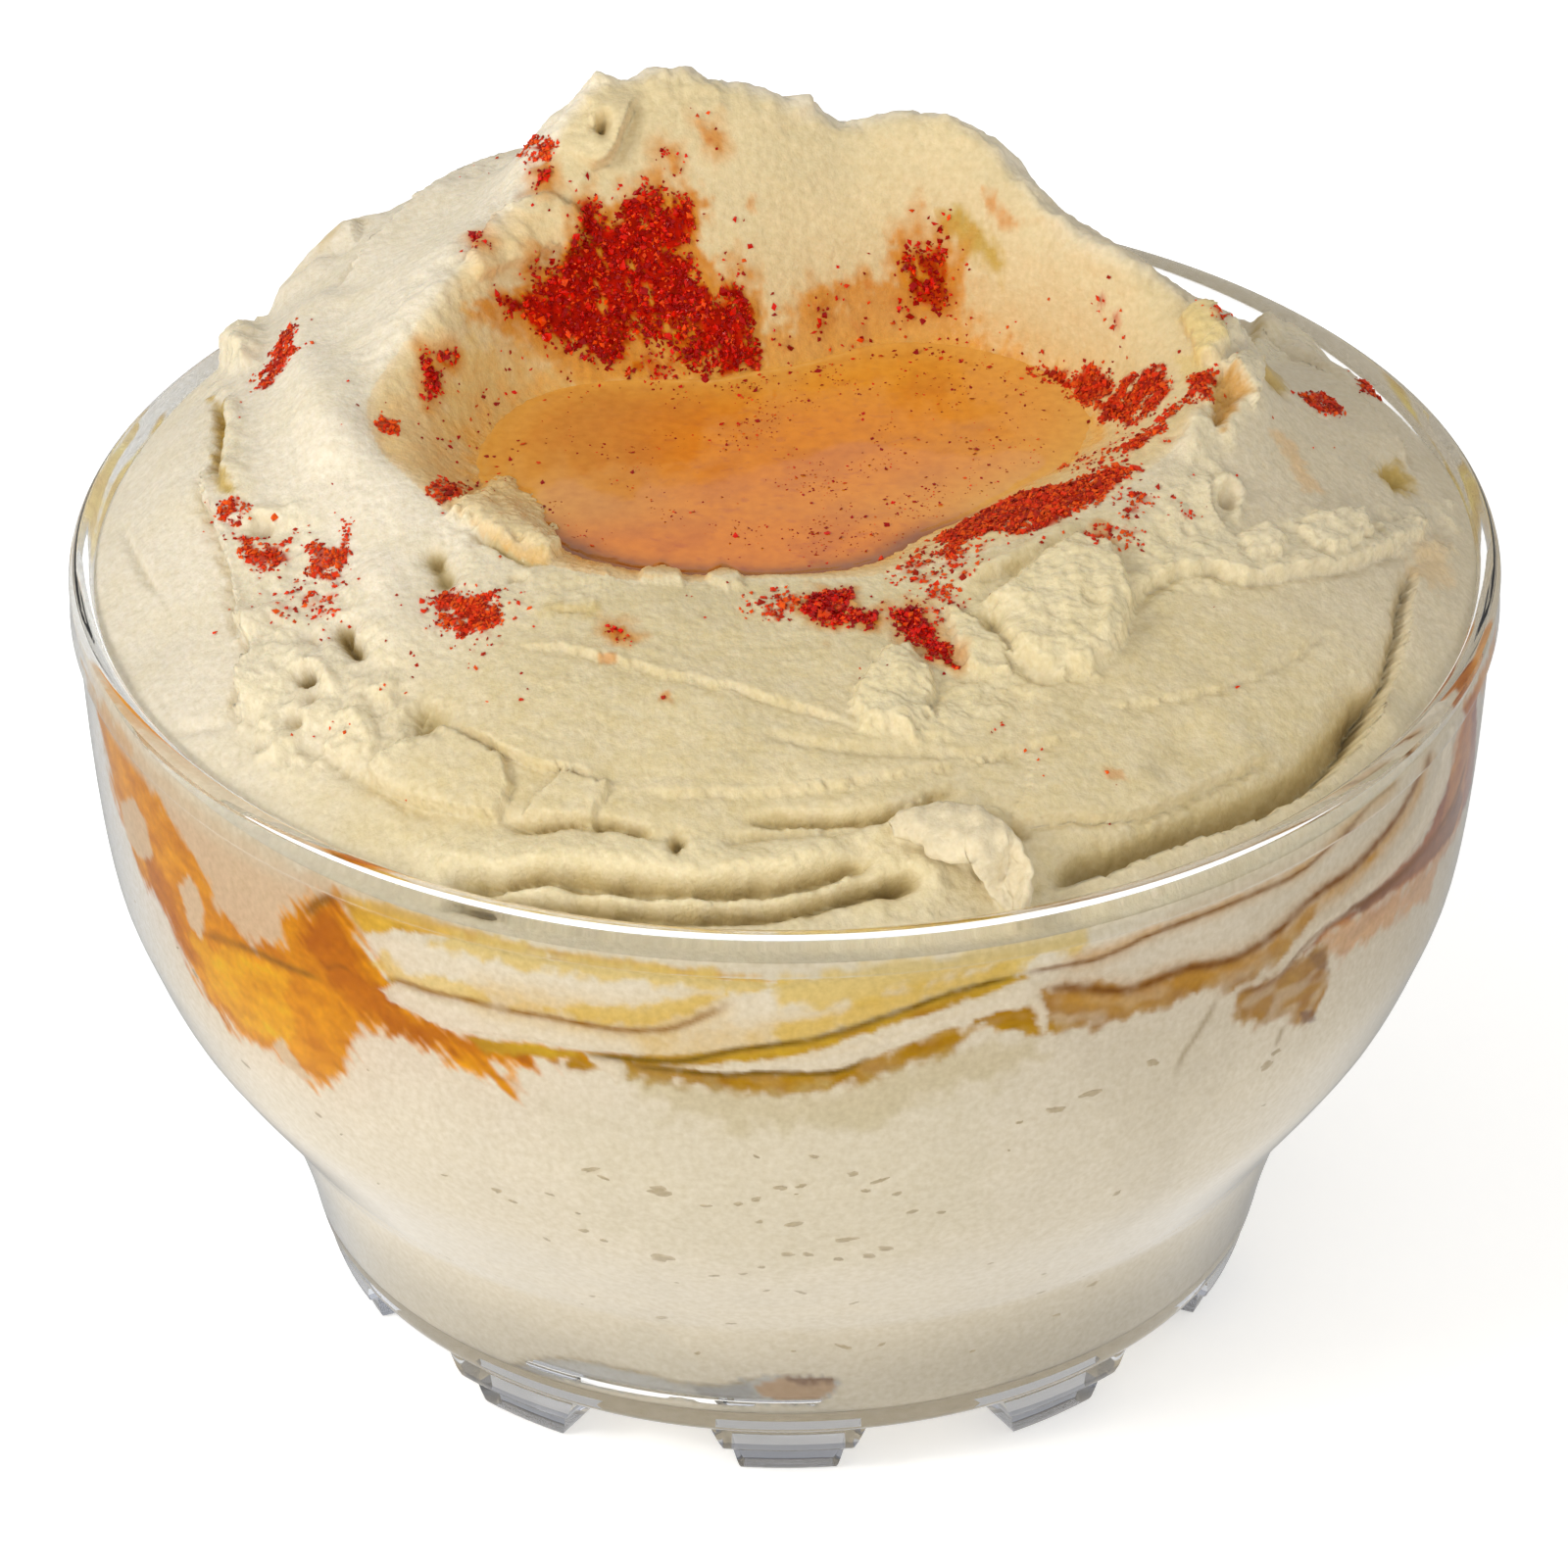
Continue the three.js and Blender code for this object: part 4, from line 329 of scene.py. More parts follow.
    ('hollow', 0.6, 1, [(-4.1, 12.5), (-0.5, 14.2), (5.2, 14.0), (5.6, 12.3), (3.7, 10.3), (-0.5, 10.1), (-3.3, 11.0)]),
    ('hollowdark', 0.4, 0.8, [(-0.5, 14.1), (5.2, 14.0), (5.4, 12.9), (2.9, 12.9), (0.2, 13.1)]),
]
SIDE_LINES = [
    ('glowyellow', 1.8, 0.55, [(-26.7, 67.0), (-22.4, 67.3), (-18.6, 67.4), (-14.2, 67.2), (-11.4, 67.3), (-8.7, 68.1), (-6.4, 69.7), (-4.3, 71.2)]),
    ('glowyellow', 1.5, 0.5, [(-12.7, 65.0), (-8.6, 64.9), (-4.3, 66.2), (2.1, 67.7), (5.6, 69.0), (9.0, 70.4), (13.0, 71.6), (16.1, 72.1), (18.8, 72.4)]),
    ('glow', 1.1, 0.5, [(21.6, 71.6), (24.8, 71.3), (27.3, 71.7), (30.2, 72.5), (35.6, 72.5), (40.3, 72.5), (45.5, 72.4), (49.6, 73.9), (53.7, 75.0), (56.5, 75.0), (58.2, 75.0)]),
    ('glow', 1.5, 0.65, [(20.4, 68.5), (23.6, 67.5), (27.1, 66.1), (29.2, 65.7), (31.4, 66.0), (33.6, 65.9), (38.3, 64.8), (42.4, 65.2), (46.0, 66.7), (48.8, 67.4), (51.9, 67.4), (55.5, 68.3), (58.4, 69.3), (61.5, 71.1), (63.1, 74.6), (63.4, 75.0)]),
    ('glowpink', 2.0, 0.3, [(54.2, 61.4), (59.6, 61.4), (64.5, 61.1), (70.6, 60.5), (75.2, 62.3), (78.9, 66.5)]),
    ('linebrown', 0.5, 0.8, [(50.6, 63.7), (54.7, 63.1), (59.4, 62.5), (63.8, 62.5), (68.0, 62.6), (72.0, 63.3), (74.9, 66.0)]),
    ('linepale', 0.3, 0.6, [(-36.9, 7.6), (-29.4, 11.6), (-24.0, 12.9), (-16.7, 12.8), (-12.0, 12.1), (-6.8, 12.7), (-2.7, 14.2)]),
    ('lineamber', 0.35, 0.8, [(-34.2, 65.1), (-32.4, 66.1), (-29.4, 66.0), (-26.3, 66.3), (-22.5, 66.2), (-18.6, 66.4), (-14.3, 66.2), (-11.4, 66.4), (-8.7, 67.2), (-6.4, 68.8), (-4.3, 70.4)]),
    ('lineolive', 0.35, 0.9, [(-16.8, 62.8), (-13.3, 62.9), (-8.6, 63.2), (-4.3, 64.8), (-1.8, 65.4), (2.1, 66.2), (5.6, 67.5), (9.1, 68.9), (13.0, 70.3), (16.1, 70.9), (18.8, 71.2)]),
    ('lineolive', 0.3, 0.9, [(-12.8, 62.0), (-8.8, 62.1), (-4.9, 61.9), (-1.8, 62.3), (3.8, 62.2), (6.9, 64.0)]),
    ('lineamber', 0.5, 0.9, [(-41.8, 69.2), (-39.6, 72.2), (-37.7, 73.9)]),
    ('linebrown', 0.3, 0.8, [(18.8, 71.3), (21.6, 71.3), (24.8, 71.0), (27.3, 71.4), (30.2, 72.1), (35.6, 72.2), (40.3, 72.1), (45.6, 72.0), (49.6, 73.5), (53.7, 75.0), (56.5, 75.0), (58.3, 75.0)]),
    ('linebrown', 0.55, 0.9, [(20.4, 69.0), (23.6, 68.2), (27.0, 66.7), (29.2, 66.3), (31.4, 66.6), (33.5, 66.6), (38.3, 65.5), (42.3, 66.0), (45.9, 67.6), (48.7, 68.2), (51.8, 68.2), (55.4, 69.2), (58.3, 70.2), (61.3, 72.1), (63.0, 75.0), (63.0, 75.0)]),
    ('linebrown', 0.35, 0.6, [(38.5, 61.1), (43.2, 60.5), (45.8, 62.3), (48.7, 63.3), (53.3, 63.0)]),
    ('linepale', 0.35, 0.7, [(37.2, 61.9), (35.5, 58.6), (33.8, 55.9), (33.5, 53.7)]),
    ('lineamber', 0.4, 0.8, [(-55.7, 59.0), (-52.3, 60.4), (-48.0, 61.5), (-44.7, 61.9), (-40.3, 62.5)]),
    ('linebrown', 0.25, 0.5, [(-40.2, 63.7), (-38.5, 65.1), (-37.0, 65.0)]),
    ('linepale', 0.3, 0.8, [(45.0, 54.2), (44.7, 52.7), (44.2, 51.7)]),
]
PORES = [(-10.6, 47.0, 1.4), (-2.6, 46.6, 0.58), (-4.1, 45.9, 0.47), (-6.8, 45.4, 0.47), (-2.4, 43.3, 0.47), (0.5, 43.0, 0.93), (5.1, 40.3, 0.93), (7.6, 48.6, 0.7), (6.5, 47.4, 0.58), (5.4, 49.7, 0.58), (2.2, 52.1, 0.47), (-2.5, 52.1, 0.35), (-25.6, 42.7, 0.7), (-24.3, 41.6, 0.47), (-16.4, 48.6, 0.7), (-15.3, 47.8, 0.47), (-20.5, 44.1, 0.47), (-11.3, 36.5, 1.4), (-6.8, 33.9, 0.47), (-4.1, 34.6, 0.47), (-2.3, 36.0, 0.58), (-2.0, 31.1, 0.47), (1.3, 30.7, 0.82), (0.0, 38.2, 0.7), (1.7, 38.2, 0.7), (4.5, 37.2, 0.58), (7.2, 37.4, 0.7), (8.6, 38.4, 0.82), (6.6, 27.7, 0.58), (-22.1, 36.5, 0.47), (-18.0, 39.3, 0.7), (-16.4, 38.2, 0.47), (6.2, 18.6, 0.82), (-10.3, 17.2, 0.47), (0.6, 18.2, 0.35), (22.2, 54.2, 1.05), (25.3, 55.1, 0.93), (36.3, 19.8, 0.7), (27.0, 26.8, 0.47), (30.0, 39.9, 0.58), (19.1, 53.6, 0.47), (-30.7, 42.7, 0.35), (13.1, 43.2, 0.47), (21.6, 15.0, 0.35), (32.0, 16.9, 0.47), (-0.5, 48.2, 0.7), (1.1, 48.4, 0.58), (9.1, 46.7, 0.47), (10.6, 43.9, 0.58), (43.6, 50.0, 1.05), (31.0, 56.6, 0.93)]

# ---------------------------------------------------------------- small tools
RNG = np.random.default_rng(71)
PERM = RNG.permutation(256)
GRAD = RNG.normal(size=(256, 3))
GRAD /= np.linalg.norm(GRAD, axis=1)[:, None]


def noise(x, y, z=0.0, seed=0):
    """gradient noise, about -1 to 1"""
    x, y, z = np.broadcast_arrays(np.asarray(x, float), np.asarray(y, float), np.asarray(z, float))
    x, y, z = x + 13.7 * seed, y - 7.9 * seed, z + 5.3 * seed
    ix, iy, iz = np.floor(x).astype(int), np.floor(y).astype(int), np.floor(z).astype(int)
    fx, fy, fz = x - ix, y - iy, z - iz
    u, v, w = (t * t * t * (t * (6 * t - 15) + 10) for t in (fx, fy, fz))
    out = 0.0
    for dx in (0, 1):
        px = PERM[(ix + dx) & 255]
        wx = u if dx else 1 - u
        for dy in (0, 1):
            py = PERM[(px + iy + dy) & 255]
            wy = v if dy else 1 - v
            for dz in (0, 1):
                g = GRAD[PERM[(py + iz + dz) & 255]]
                wz = w if dz else 1 - w
                out = out + wx * wy * wz * (g[..., 0] * (fx - dx) + g[..., 1] * (fy - dy) + g[..., 2] * (fz - dz))
    return out * 1.7


def fbm(x, y, z=0.0, octaves=4, gain=0.5, seed=0):
    out, amp, f = 0.0, 1.0, 1.0
    for k in range(octaves):
        out = out + amp * noise(np.asarray(x) * f, np.asarray(y) * f, np.asarray(z) * f, seed + k)
        amp, f = amp * gain, f * 2.03
    return out


def smooth(t):
    t = np.clip(t, 0, 1)
    return t * t * (3 - 2 * t)


def curve(points, n=5):
    """a smooth line through the points"""
    p = np.array(points, float)
    if len(p) < 3:
        return p
    q = np.vstack([2 * p[0] - p[1], p, 2 * p[-1] - p[-2]])
    out = []
    for i in range(1, len(q) - 2):
        for t in np.arange(n) / n:
            out.append(0.5 * (2 * q[i] + (q[i + 1] - q[i - 1]) * t + (2 * q[i - 1] - 5 * q[i] + 4 * q[i + 1] - q[i + 2]) * t * t + (3 * q[i] - q[i - 1] - 3 * q[i + 1] + q[i + 2]) * t ** 3))
    out.append(p[-1])
    return np.array(out)


def to_line(points, x, y):
    """distance to a line, place along it, whole length, and signed side"""
    p = np.asarray(points, float)
    if len(p) == 1:
        d = np.hypot(x - p[0, 0], y - p[0, 1])
        return d, d * 0, 1.0, d
    best = np.full(x.shape, 1e18)
    along = np.zeros(x.shape)
    side = np.zeros(x.shape)
    s0 = 0.0
    for a, b in zip(p[:-1], p[1:]):
        e = b - a
        length = math.hypot(*e)
        if length < 1e-9:
            continue
        t = np.clip(((x - a[0]) * e[0] + (y - a[1]) * e[1]) / length ** 2, 0, 1)
        d2 = (x - a[0] - t * e[0]) ** 2 + (y - a[1] - t * e[1]) ** 2
        m = d2 < best
        best = np.where(m, d2, best)
        along = np.where(m, s0 + t * length, along)
        side = np.where(m, np.sign(e[0] * (y - a[1]) - e[1] * (x - a[0])), side)
        s0 += length
    return np.sqrt(best), along, s0, side


def in_poly(points, x, y):
    """signed distance to a closed outline, positive inside"""
    p = np.asarray(points, float)
    best = np.full(x.shape, 1e18)
    inside = np.zeros(x.shape, bool)
    for a, b in zip(p, np.roll(p, -1, axis=0)):
        e = b - a
        l2 = e @ e
        if l2 < 1e-12:
            continue
        t = np.clip(((x - a[0]) * e[0] + (y - a[1]) * e[1]) / l2, 0, 1)
        best = np.minimum(best, (x - a[0] - t * e[0]) ** 2 + (y - a[1] - t * e[1]) ** 2)
        cross = (a[1] > y) != (b[1] > y)
        with np.errstate(divide="ignore", invalid="ignore"):
            hit = x < (b[0] - a[0]) * (y - a[1]) / (b[1] - a[1]) + a[0]
        inside ^= cross & hit
    d = np.sqrt(best)
    return np.where(inside, d, -d)


def near(points, x, y, pad):
    p = np.asarray(points, float)
    return np.where((x > p[:, 0].min() - pad) & (x < p[:, 0].max() + pad) & (y > p[:, 1].min() - pad) & (y < p[:, 1].max() + pad))[0]


def lin(c):
    """display colour 0 to 255 as linear"""
    c = np.asarray(c, float) / 255
    return np.where(c <= 0.04045, c / 12.92, ((c + 0.055) / 1.055) ** 2.4)


def mix(col, colour, share):
    return col * (1 - share[..., None]) + np.asarray(colour) * share[..., None]


def build(name, verts, faces, colours=None, extra=None, normals=None):
    """a mesh from vertices in millimetres and faces that all have the same number of corners"""
    faces = np.asarray(faces)
    me = bpy.data.meshes.new(name)
    me.vertices.add(len(verts))
    me.vertices.foreach_set("co", (np.asarray(verts) * MM).astype(np.float32).ravel())
    k = faces.shape[1]
    me.loops.add(faces.size)
    me.loops.foreach_set("vertex_index", faces.astype(np.int32).ravel())
    me.polygons.add(len(faces))
    me.polygons.foreach_set("loop_start", np.arange(0, faces.size, k, dtype=np.int32))
    me.update(calc_edges=True)
    me.validate()
    me.polygons.foreach_set("use_smooth", np.ones(len(me.polygons), bool))
    if colours is not None:
        a = me.attributes.new("Col", "FLOAT_COLOR", "POINT")
        c = np.ones((len(verts), 4), np.float32)
        c[:, :3] = np.clip(colours, 0, 1)
        a.data.foreach_set("color", c.ravel())
    for key, value in (extra or {}).items():
        a = me.attributes.new(key, "FLOAT", "POINT")
        a.data.foreach_set("value", np.asarray(value, np.float32))
    if normals is not None:
        me.normals_split_custom_set_from_vertices([tuple(n) for n in normals])
    o = bpy.data.objects.new(name, me)
    scene.collection.objects.link(o)
    return o


def nodes_of(name):
    m = bpy.data.materials.new(name)
    m.use_nodes = True
    nt = m.node_tree
    return m, nt, nt.nodes["Principled BSDF"], nt.nodes.new, nt.links.new


# ---------------------------------------------------------------- mound
CX, CY = -2.0, 2.0
OIL_Z, WELL_Z = 88.0, 80.5
LIP_R = [25, 26, 28, 31.5, 35.5, 39.5, 44.5, 44.5, 38.5, 37.5, 38.5, 35.5, 34.5, 36.5, 37, 33.5, 33.5, 35, 38.5, 36.5, 34, 32, 30, 27]
LIP_Z = [89.5, 89.5, 90, 91, 92, 93, 95.5, 98, 100.5, 103, 107, 106, 109, 111, 109.5, 103, 101, 97.5, 94.5, 92.5, 91.5, 90.5, 90, 89.5]
POOL_R = [22.5, 22.5, 22.5, 21.5, 23, 25.5, 30, 32.5, 32, 29, 25, 19, 16.5, 15.5, 17, 20.5, 24.5, 26.5, 27.5, 27.5, 26.5, 25.5, 24.5, 23]
FL1 = [87.5, 87.5, 88, 88.5, 88.5, 88.5, 88.5, 88, 88, 88.5, 93, 96, 98, 99, 99, 97.5, 95, 92, 90, 88, 87.5, 87.5, 87.5, 87.5]
FL2 = [82.5, 83, 83, 82.5, 82.5, 83, 83, 82.5, 81, 80, 82, 84.5, 87, 89.5, 92, 92.5, 88.5, 86, 84.5, 82.5, 82.5, 82.5, 82.5, 82.5]
WALL_Z = [75, 75, 75, 75, 75.5, 76.5, 78, 77.5, 76, 75, 75, 76, 77, 78, 78, 78, 78, 77.5, 77.5, 77, 76.5, 75.5, 75, 75]
OUT_Z = np.array([5.35, 6.6, 8.0, 10, 13, 16, 19, 21.6, 23.2, 25, 26.5, 30, 33, 37, 42, 48, 54, 60, 67, 74.2])
OUT_R = np.array([45.6, 47.3, 47.75, 48.2, 49.0, 49.95, 50.95, 51.95, 53.0, 54.3, 55.3, 57.8, 59.9, 62.4, 64.6, 66.7, 67.7, 68.35, 68.9, 69.3])
WALL = 1.8


def slopes(x, y):
    """monotone cubic slopes; y is (..., n)"""
    h = np.diff(x, axis=-1)
    d = np.diff(y, axis=-1) / h
    m = np.zeros(np.broadcast(x, y).shape)
    a, b = d[..., :-1], d[..., 1:]
    w1, w2 = 2 * h[..., 1:] + h[..., :-1], h[..., 1:] + 2 * h[..., :-1]
    with np.errstate(divide="ignore", invalid="ignore"):
        inner = (w1 + w2) / (w1 / a + w2 / b)
    m[..., 1:-1] = np.where(a * b > 0, inner, 0)
    m[..., 0], m[..., -1] = d[..., 0], d[..., -1]
    return m


def pchip(x, y, q):
    """x, y (n,) and q any shape"""
    m = slopes(x, y)
    i = np.clip(np.searchsorted(x, q) - 1, 0, len(x) - 2)
    h = x[i + 1] - x[i]
    t = (q - x[i]) / h
    return y[i] * (1 + 2 * t) * (1 - t) ** 2 + m[i] * h * t * (1 - t) ** 2 + y[i + 1] * t * t * (3 - 2 * t) + m[i + 1] * h * t * t * (t - 1)


def periodic(table, az):
    """smooth closed cubic through values 15 degrees apart"""
    y = np.asarray(table, float)
    n = len(y)
    a = np.zeros((n, n))
    for i in range(n):
        a[i, i], a[i, (i - 1) % n], a[i, (i + 1) % n] = 4, 1, 1
    m = np.linalg.solve(a, 3 * (np.roll(y, -1) - np.roll(y, 1)))
    u = (np.degrees(az) % 360) / 15
    i = np.floor(u).astype(int) % n
    t = u - np.floor(u)
    j = (i + 1) % n
    return y[i] * (1 + 2 * t) * (1 - t) ** 2 + m[i] * t * (1 - t) ** 2 + y[j] * t * t * (3 - 2 * t) + m[j] * t * t * (t - 1)


def outer_r(z):
    return pchip(OUT_Z, OUT_R, np.clip(z, OUT_Z[0], OUT_Z[-1]))


def inner_r(z):
    """inside of the wall: the outer curve, one wall thickness in, with a round into the floor"""
    z = np.asarray(z, float)
    e = 0.25
    s = (outer_r(z + e) - outer_r(z - e)) / (2 * e)
    r = outer_r(z) - WALL * np.sqrt(1 + s * s)
    low = np.clip((11.3 - z) / 3.5, 0, 1)
    return r - 3.5 * (1 - np.sqrt(np.maximum(0, 1 - low ** 2)))


NA, NR, N0 = 960, 180, 12
tt = np.linspace(-math.pi, math.pi, NA, endpoint=False)
AZ = tt - 0.3 * np.sin(tt)
DX, DY = np.sin(AZ), -np.cos(AZ)
INSIDE = 0.12
wall_z = periodic(WALL_Z, AZ)
fit_r = inner_r(wall_z) + INSIDE
bdot = CX * DX + CY * DY
rw = -bdot + np.sqrt(bdot ** 2 - (CX * CX + CY * CY - fit_r ** 2))
rl, zl = periodic(LIP_R, AZ), periodic(LIP_Z, AZ)
rp = periodic(POOL_R, AZ)
f1, f2 = periodic(FL1, AZ), periodic(FL2, AZ)
KR = np.stack([0 * rp, rp * 0.5, rp, rl, rl + 0.35 * (rw - rl), rl + 0.7 * (rw - rl), rw], -1)
KZ = np.stack([0 * rp + WELL_Z, 0 * rp + WELL_Z + 0.35 * (OIL_Z - WELL_Z), 0 * rp + OIL_Z, zl, f1, f2, wall_z], -1)
KM = slopes(KR, KZ)
KM[:, 0] = 0
RR = np.concatenate([(rp * 0.86)[:, None] * (np.arange(N0) / N0)[None], (rp * 0.86)[:, None] + (rw - rp * 0.86)[:, None] * (np.linspace(0, 1, NR)[None])], 1)
RR[:, 0] = 0.02
NT = RR.shape[1]


def profile(az_index, r):
    """height of the plain mound at radius r on a spoke"""
    kr, kz, km = KR[az_index], KZ[az_index], KM[az_index]
    i = np.clip((r[..., None] >= kr).sum(-1) - 1, 0, 5)
    g = lambda a, j: np.take_along_axis(a, j[..., None], -1)[..., 0]
    x0, x1, y0, y1, m0, m1 = g(kr, i), g(kr, i + 1), g(kz, i), g(kz, i + 1), g(km, i), g(km, i + 1)
    h = x1 - x0
    t = (r - x0) / h
    return y0 * (1 + 2 * t) * (1 - t) ** 2 + m0 * h * t * (1 - t) ** 2 + y1 * t * t * (3 - 2 * t) + m1 * h * t * t * (t - 1)


ai = np.repeat(np.arange(NA), NT)
rr = RR.ravel()
X0, Y0 = CX + DX[ai] * rr, CY + DY[ai] * rr
Z0 = profile(ai, rr)


def grid_normals(v):
    """normals of a closed-round grid (NA, n, 3)"""
    da = np.roll(v, -1, 0) - np.roll(v, 1, 0)
    dr = np.gradient(v, axis=1)
    n = np.cross(dr, da)
    n /= np.maximum(np.linalg.norm(n, axis=-1, keepdims=True), 1e-12)
    return n


base = np.stack([X0, Y0, Z0], -1).reshape(NA, NT, 3)
bn = grid_normals(base)
if bn[:, NT // 2, 2].mean() < 0:
    bn = -bn
bn[:, 0] = (0, 0, 1)

PILE = [[40.6, 49.6], [43.9, 46.2], [47.5, 42.7], [51.3, 38.1], [54.9, 32.8], [57.6, 26.3], [60.2, 19.5]]
# -- relief
D = np.zeros(NA * NT)
W1 = fbm(X0 / 2.2, Y0 / 2.2, Z0 / 2.2, 3, seed=3)
W2 = fbm(X0 / 0.9, Y0 / 0.9, Z0 / 0.9, 2, seed=9)
RAG = W1 * 0.65 + W2 * 0.5
azg, rrg = AZ[ai], rr
share = (rrg - rl[ai]) / np.maximum(rw[ai] - rl[ai], 1)     # 0 at the lip, 1 at the wall
edge_fade = smooth((rw[ai] - rrg) / 1.2)

# broad hand-spun unevenness and spatula streaks that follow the spin
D += 0.35 * fbm(X0 / 14, Y0 / 14, Z0 / 14, 2, seed=21) * smooth((rrg - rp[ai]) / 6)
arc = azg * 40.0
streak = fbm(arc / 16, (rrg + 1.6 * noise(arc / 22, 0.0, 0.0, 5)) / 1.15, 0.3, 3, 0.6, seed=31)
flank = smooth((share + 0.05) / 0.2) * smooth((1.05 - share) / 0.1)
where_streaks = smooth(0.5 + 1.4 * fbm(X0 / 11, Y0 / 11, 0.0, 2, seed=41))
D += streak * flank * (0.02 + 0.06 * where_streaks)
bowlside = smooth((rrg - rp[ai]) / 2) * smooth((-share) / 0.15)
D += fbm(arc / 14, rrg / 1.6, 0.7, 2, 0.5, seed=37) * bowlside * 0.07
D += 0.085 * fbm(X0 / 0.9, Y0 / 0.9, Z0 / 0.9, 3, seed=51)

# strokes of the spoon round the back of the mound
def arc(r0, r1, a0, a1, n=12, wob=0.8):
    t = np.linspace(0, 1, n)
    r = r0 + (r1 - r0) * t + wob * np.sin(5 * t + a0)
    a = np.radians(a0 + (a1 - a0) * t)
    return list(zip((r * np.sin(a)).tolist(), (-r * np.cos(a)).tolist()))


FEATURES += [
    ("fold", "back_1", dict(h=1.7, e=0.8, back=7, crease=0.9, cw=1.2, rag=0.7, side=(0.0, 10.0)), arc(52, 44, 120, 205)),
    ("fold", "back_2", dict(h=1.4, e=0.7, back=6, crease=0.8, cw=1.1, rag=0.7, side=(0.0, 10.0)), arc(60, 52, 150, 240)),
    ("fold", "back_3", dict(h=1.3, e=0.7, back=6, crease=0.7, cw=1.0, rag=0.8, side=(0.0, 10.0)), arc(63, 56, 98, 160)),
    ("fold", "back_4", dict(h=1.1, e=0.6, back=5, crease=0.6, cw=0.9, rag=0.7, side=(0.0, 10.0)), arc(47, 39, 190, 246)),
    ("groove", "back_5", dict(h=1.2, w=0.9, rag=0.3), arc(57, 62, 165, 222)),
    ("groove", "back_6", dict(h=1.0, w=0.8, rag=0.3), arc(49, 56, 128, 168)),
    ("ridge", "back_7", dict(h=1.1, w=2.4, rag=0.3), arc(55, 49, 172, 226)),
    ("ridge", "back_8", dict(h=0.9, w=2.0, rag=0.3), arc(41, 46, 140, 196)),
    ("plate", "back_9", dict(h=1.0, e=0.7, rag=0.7, dome=0.5), arc(44, 47, 176, 188, 6, 0.4) + arc(50, 49, 190, 176, 6, 0.6)),
    ("plate", "back_10", dict(h=1.0, e=0.7, rag=0.7, dome=0.5), arc(55, 57, 132, 141, 6, 0.4) + arc(61, 60, 143, 131, 6, 0.6)),
    ("pit", "back_11", dict(h=1.6, w=1.2), arc(51, 51.3, 214, 216, 3, 0.2)),
    ("pit", "back_12", dict(h=1.4, w=1.1), arc(58, 58.4, 146, 148, 3, 0.2)),
]
for kind, name, q, pts in FEATURES:
    line = np.array(pts, float)
    pad = q.get("back", 0) * 3 + q.get("w", 0) * 3.5 + q.get("cw", 0) * 3 + 5
    k = near(line, X0, Y0, pad)
    if not len(k):
        continue
    x, y = X0[k], Y0[k]
    rag = RAG[k] * q.get("rag", 0)
    h = q["h"]
    was = D[k].copy()
    if kind in ("groove", "ridge", "fold"):
        d, s, length, side = to_line(curve(line), x, y)
        ends = min(5.0, length * 0.35)
        taper = smooth(s / ends) * smooth((length - s) / ends)
    if kind == "groove":
        wv = q["w"] * (1 + 0.35 * noise(s / 3.0, 0.0, 0.0, len(pts)))
        D[k] -= h * taper * np.exp(-((d + np.abs(rag) * 0.8) / wv) ** 2) * (1 + 0.25 * noise(s / 2.2, 1.0, 0.0, 4))
    elif kind == "ridge":
        wv = q["w"] * (1 + 0.3 * noise(s / 4.0, 0.0, 0.0, len(pts)))
        D[k] += h * taper * np.exp(-(np.maximum(d + rag * 0.8, 0) / wv) ** 2)
    elif kind == "fold":
        high = to_line(curve(line), np.array([q["side"][0]]), np.array([q["side"][1]]))[3][0]
        sd = d * side * high + rag
        up = smooth(sd / q["e"] + 0.5)
        D[k] += taper * (up * h * np.exp(-np.maximum(sd, 0) / q["back"]) - (1 - up) * q["crease"] * np.exp(-(np.minimum(sd, 0) / q["cw"]) ** 2))
    elif kind == "plate":
        sd = in_poly(line, x, y) + rag
        D[k] += h * smooth(sd / q["e"] + 0.5) + h * q.get("dome", 0) * (1 - np.exp(-np.maximum(sd, 0) / 2.5))
    elif kind == "pit":
        d = to_line(line, x, y)[0]
        wv = q["w"] * (1 + 0.45 * W1[k] + 0.2 * W2[k])
        D[k] -= h * np.exp(-(d / np.maximum(wv, 0.2)) ** 2)
    if name.startswith("back_"):
        D[k] = was + (D[k] - was) * smooth((share[k] - 0.3) / 0.25)

crest = np.exp(-((share - 0.02) / 0.13) ** 2) * smooth((np.abs(azg) - math.radians(80)) / math.radians(30))
f_ = 1.7 * fbm(X0 / 7.0, Y0 / 7.0, Z0 / 7.0, 3, 0.5, seed=67)
D += crest * (0.5 * (np.floor(f_) + smooth((f_ - np.floor(f_)) * 1.3)) + 0.12 * W1)
k = near(PILE, X0, Y0, 12)
d, s, length, side = to_line(curve(PILE), X0[k], Y0[k])
PILED = np.zeros(len(D))
PILED[k] = smooth(s / 13) * smooth((length - s) / 13) * np.exp(-(np.maximum(d + 0.35 * W1[k], 0) / 3.3) ** 2)

ROUGHM = np.zeros(len(D))
for amp, pts in ROUGH:
    k = near(pts, X0, Y0, 4)
    m = smooth((in_poly(pts, X0[k], Y0[k]) + 0.8 * W1[k] + 0.8) / 2.2)
    f_ = 2.0 * fbm(X0[k] / 3.9, Y0[k] / 3.9, Z0[k] / 3.9, 4, 0.5, seed=61)
    stepped = np.floor(f_) + smooth((f_ - np.floor(f_)) * 1.7)
    D[k] += amp * m * (0.46 * stepped + 0.06 * W2[k] + 0.45 * W1[k])
    ROUGHM[k] = np.maximum(ROUGHM[k], m)
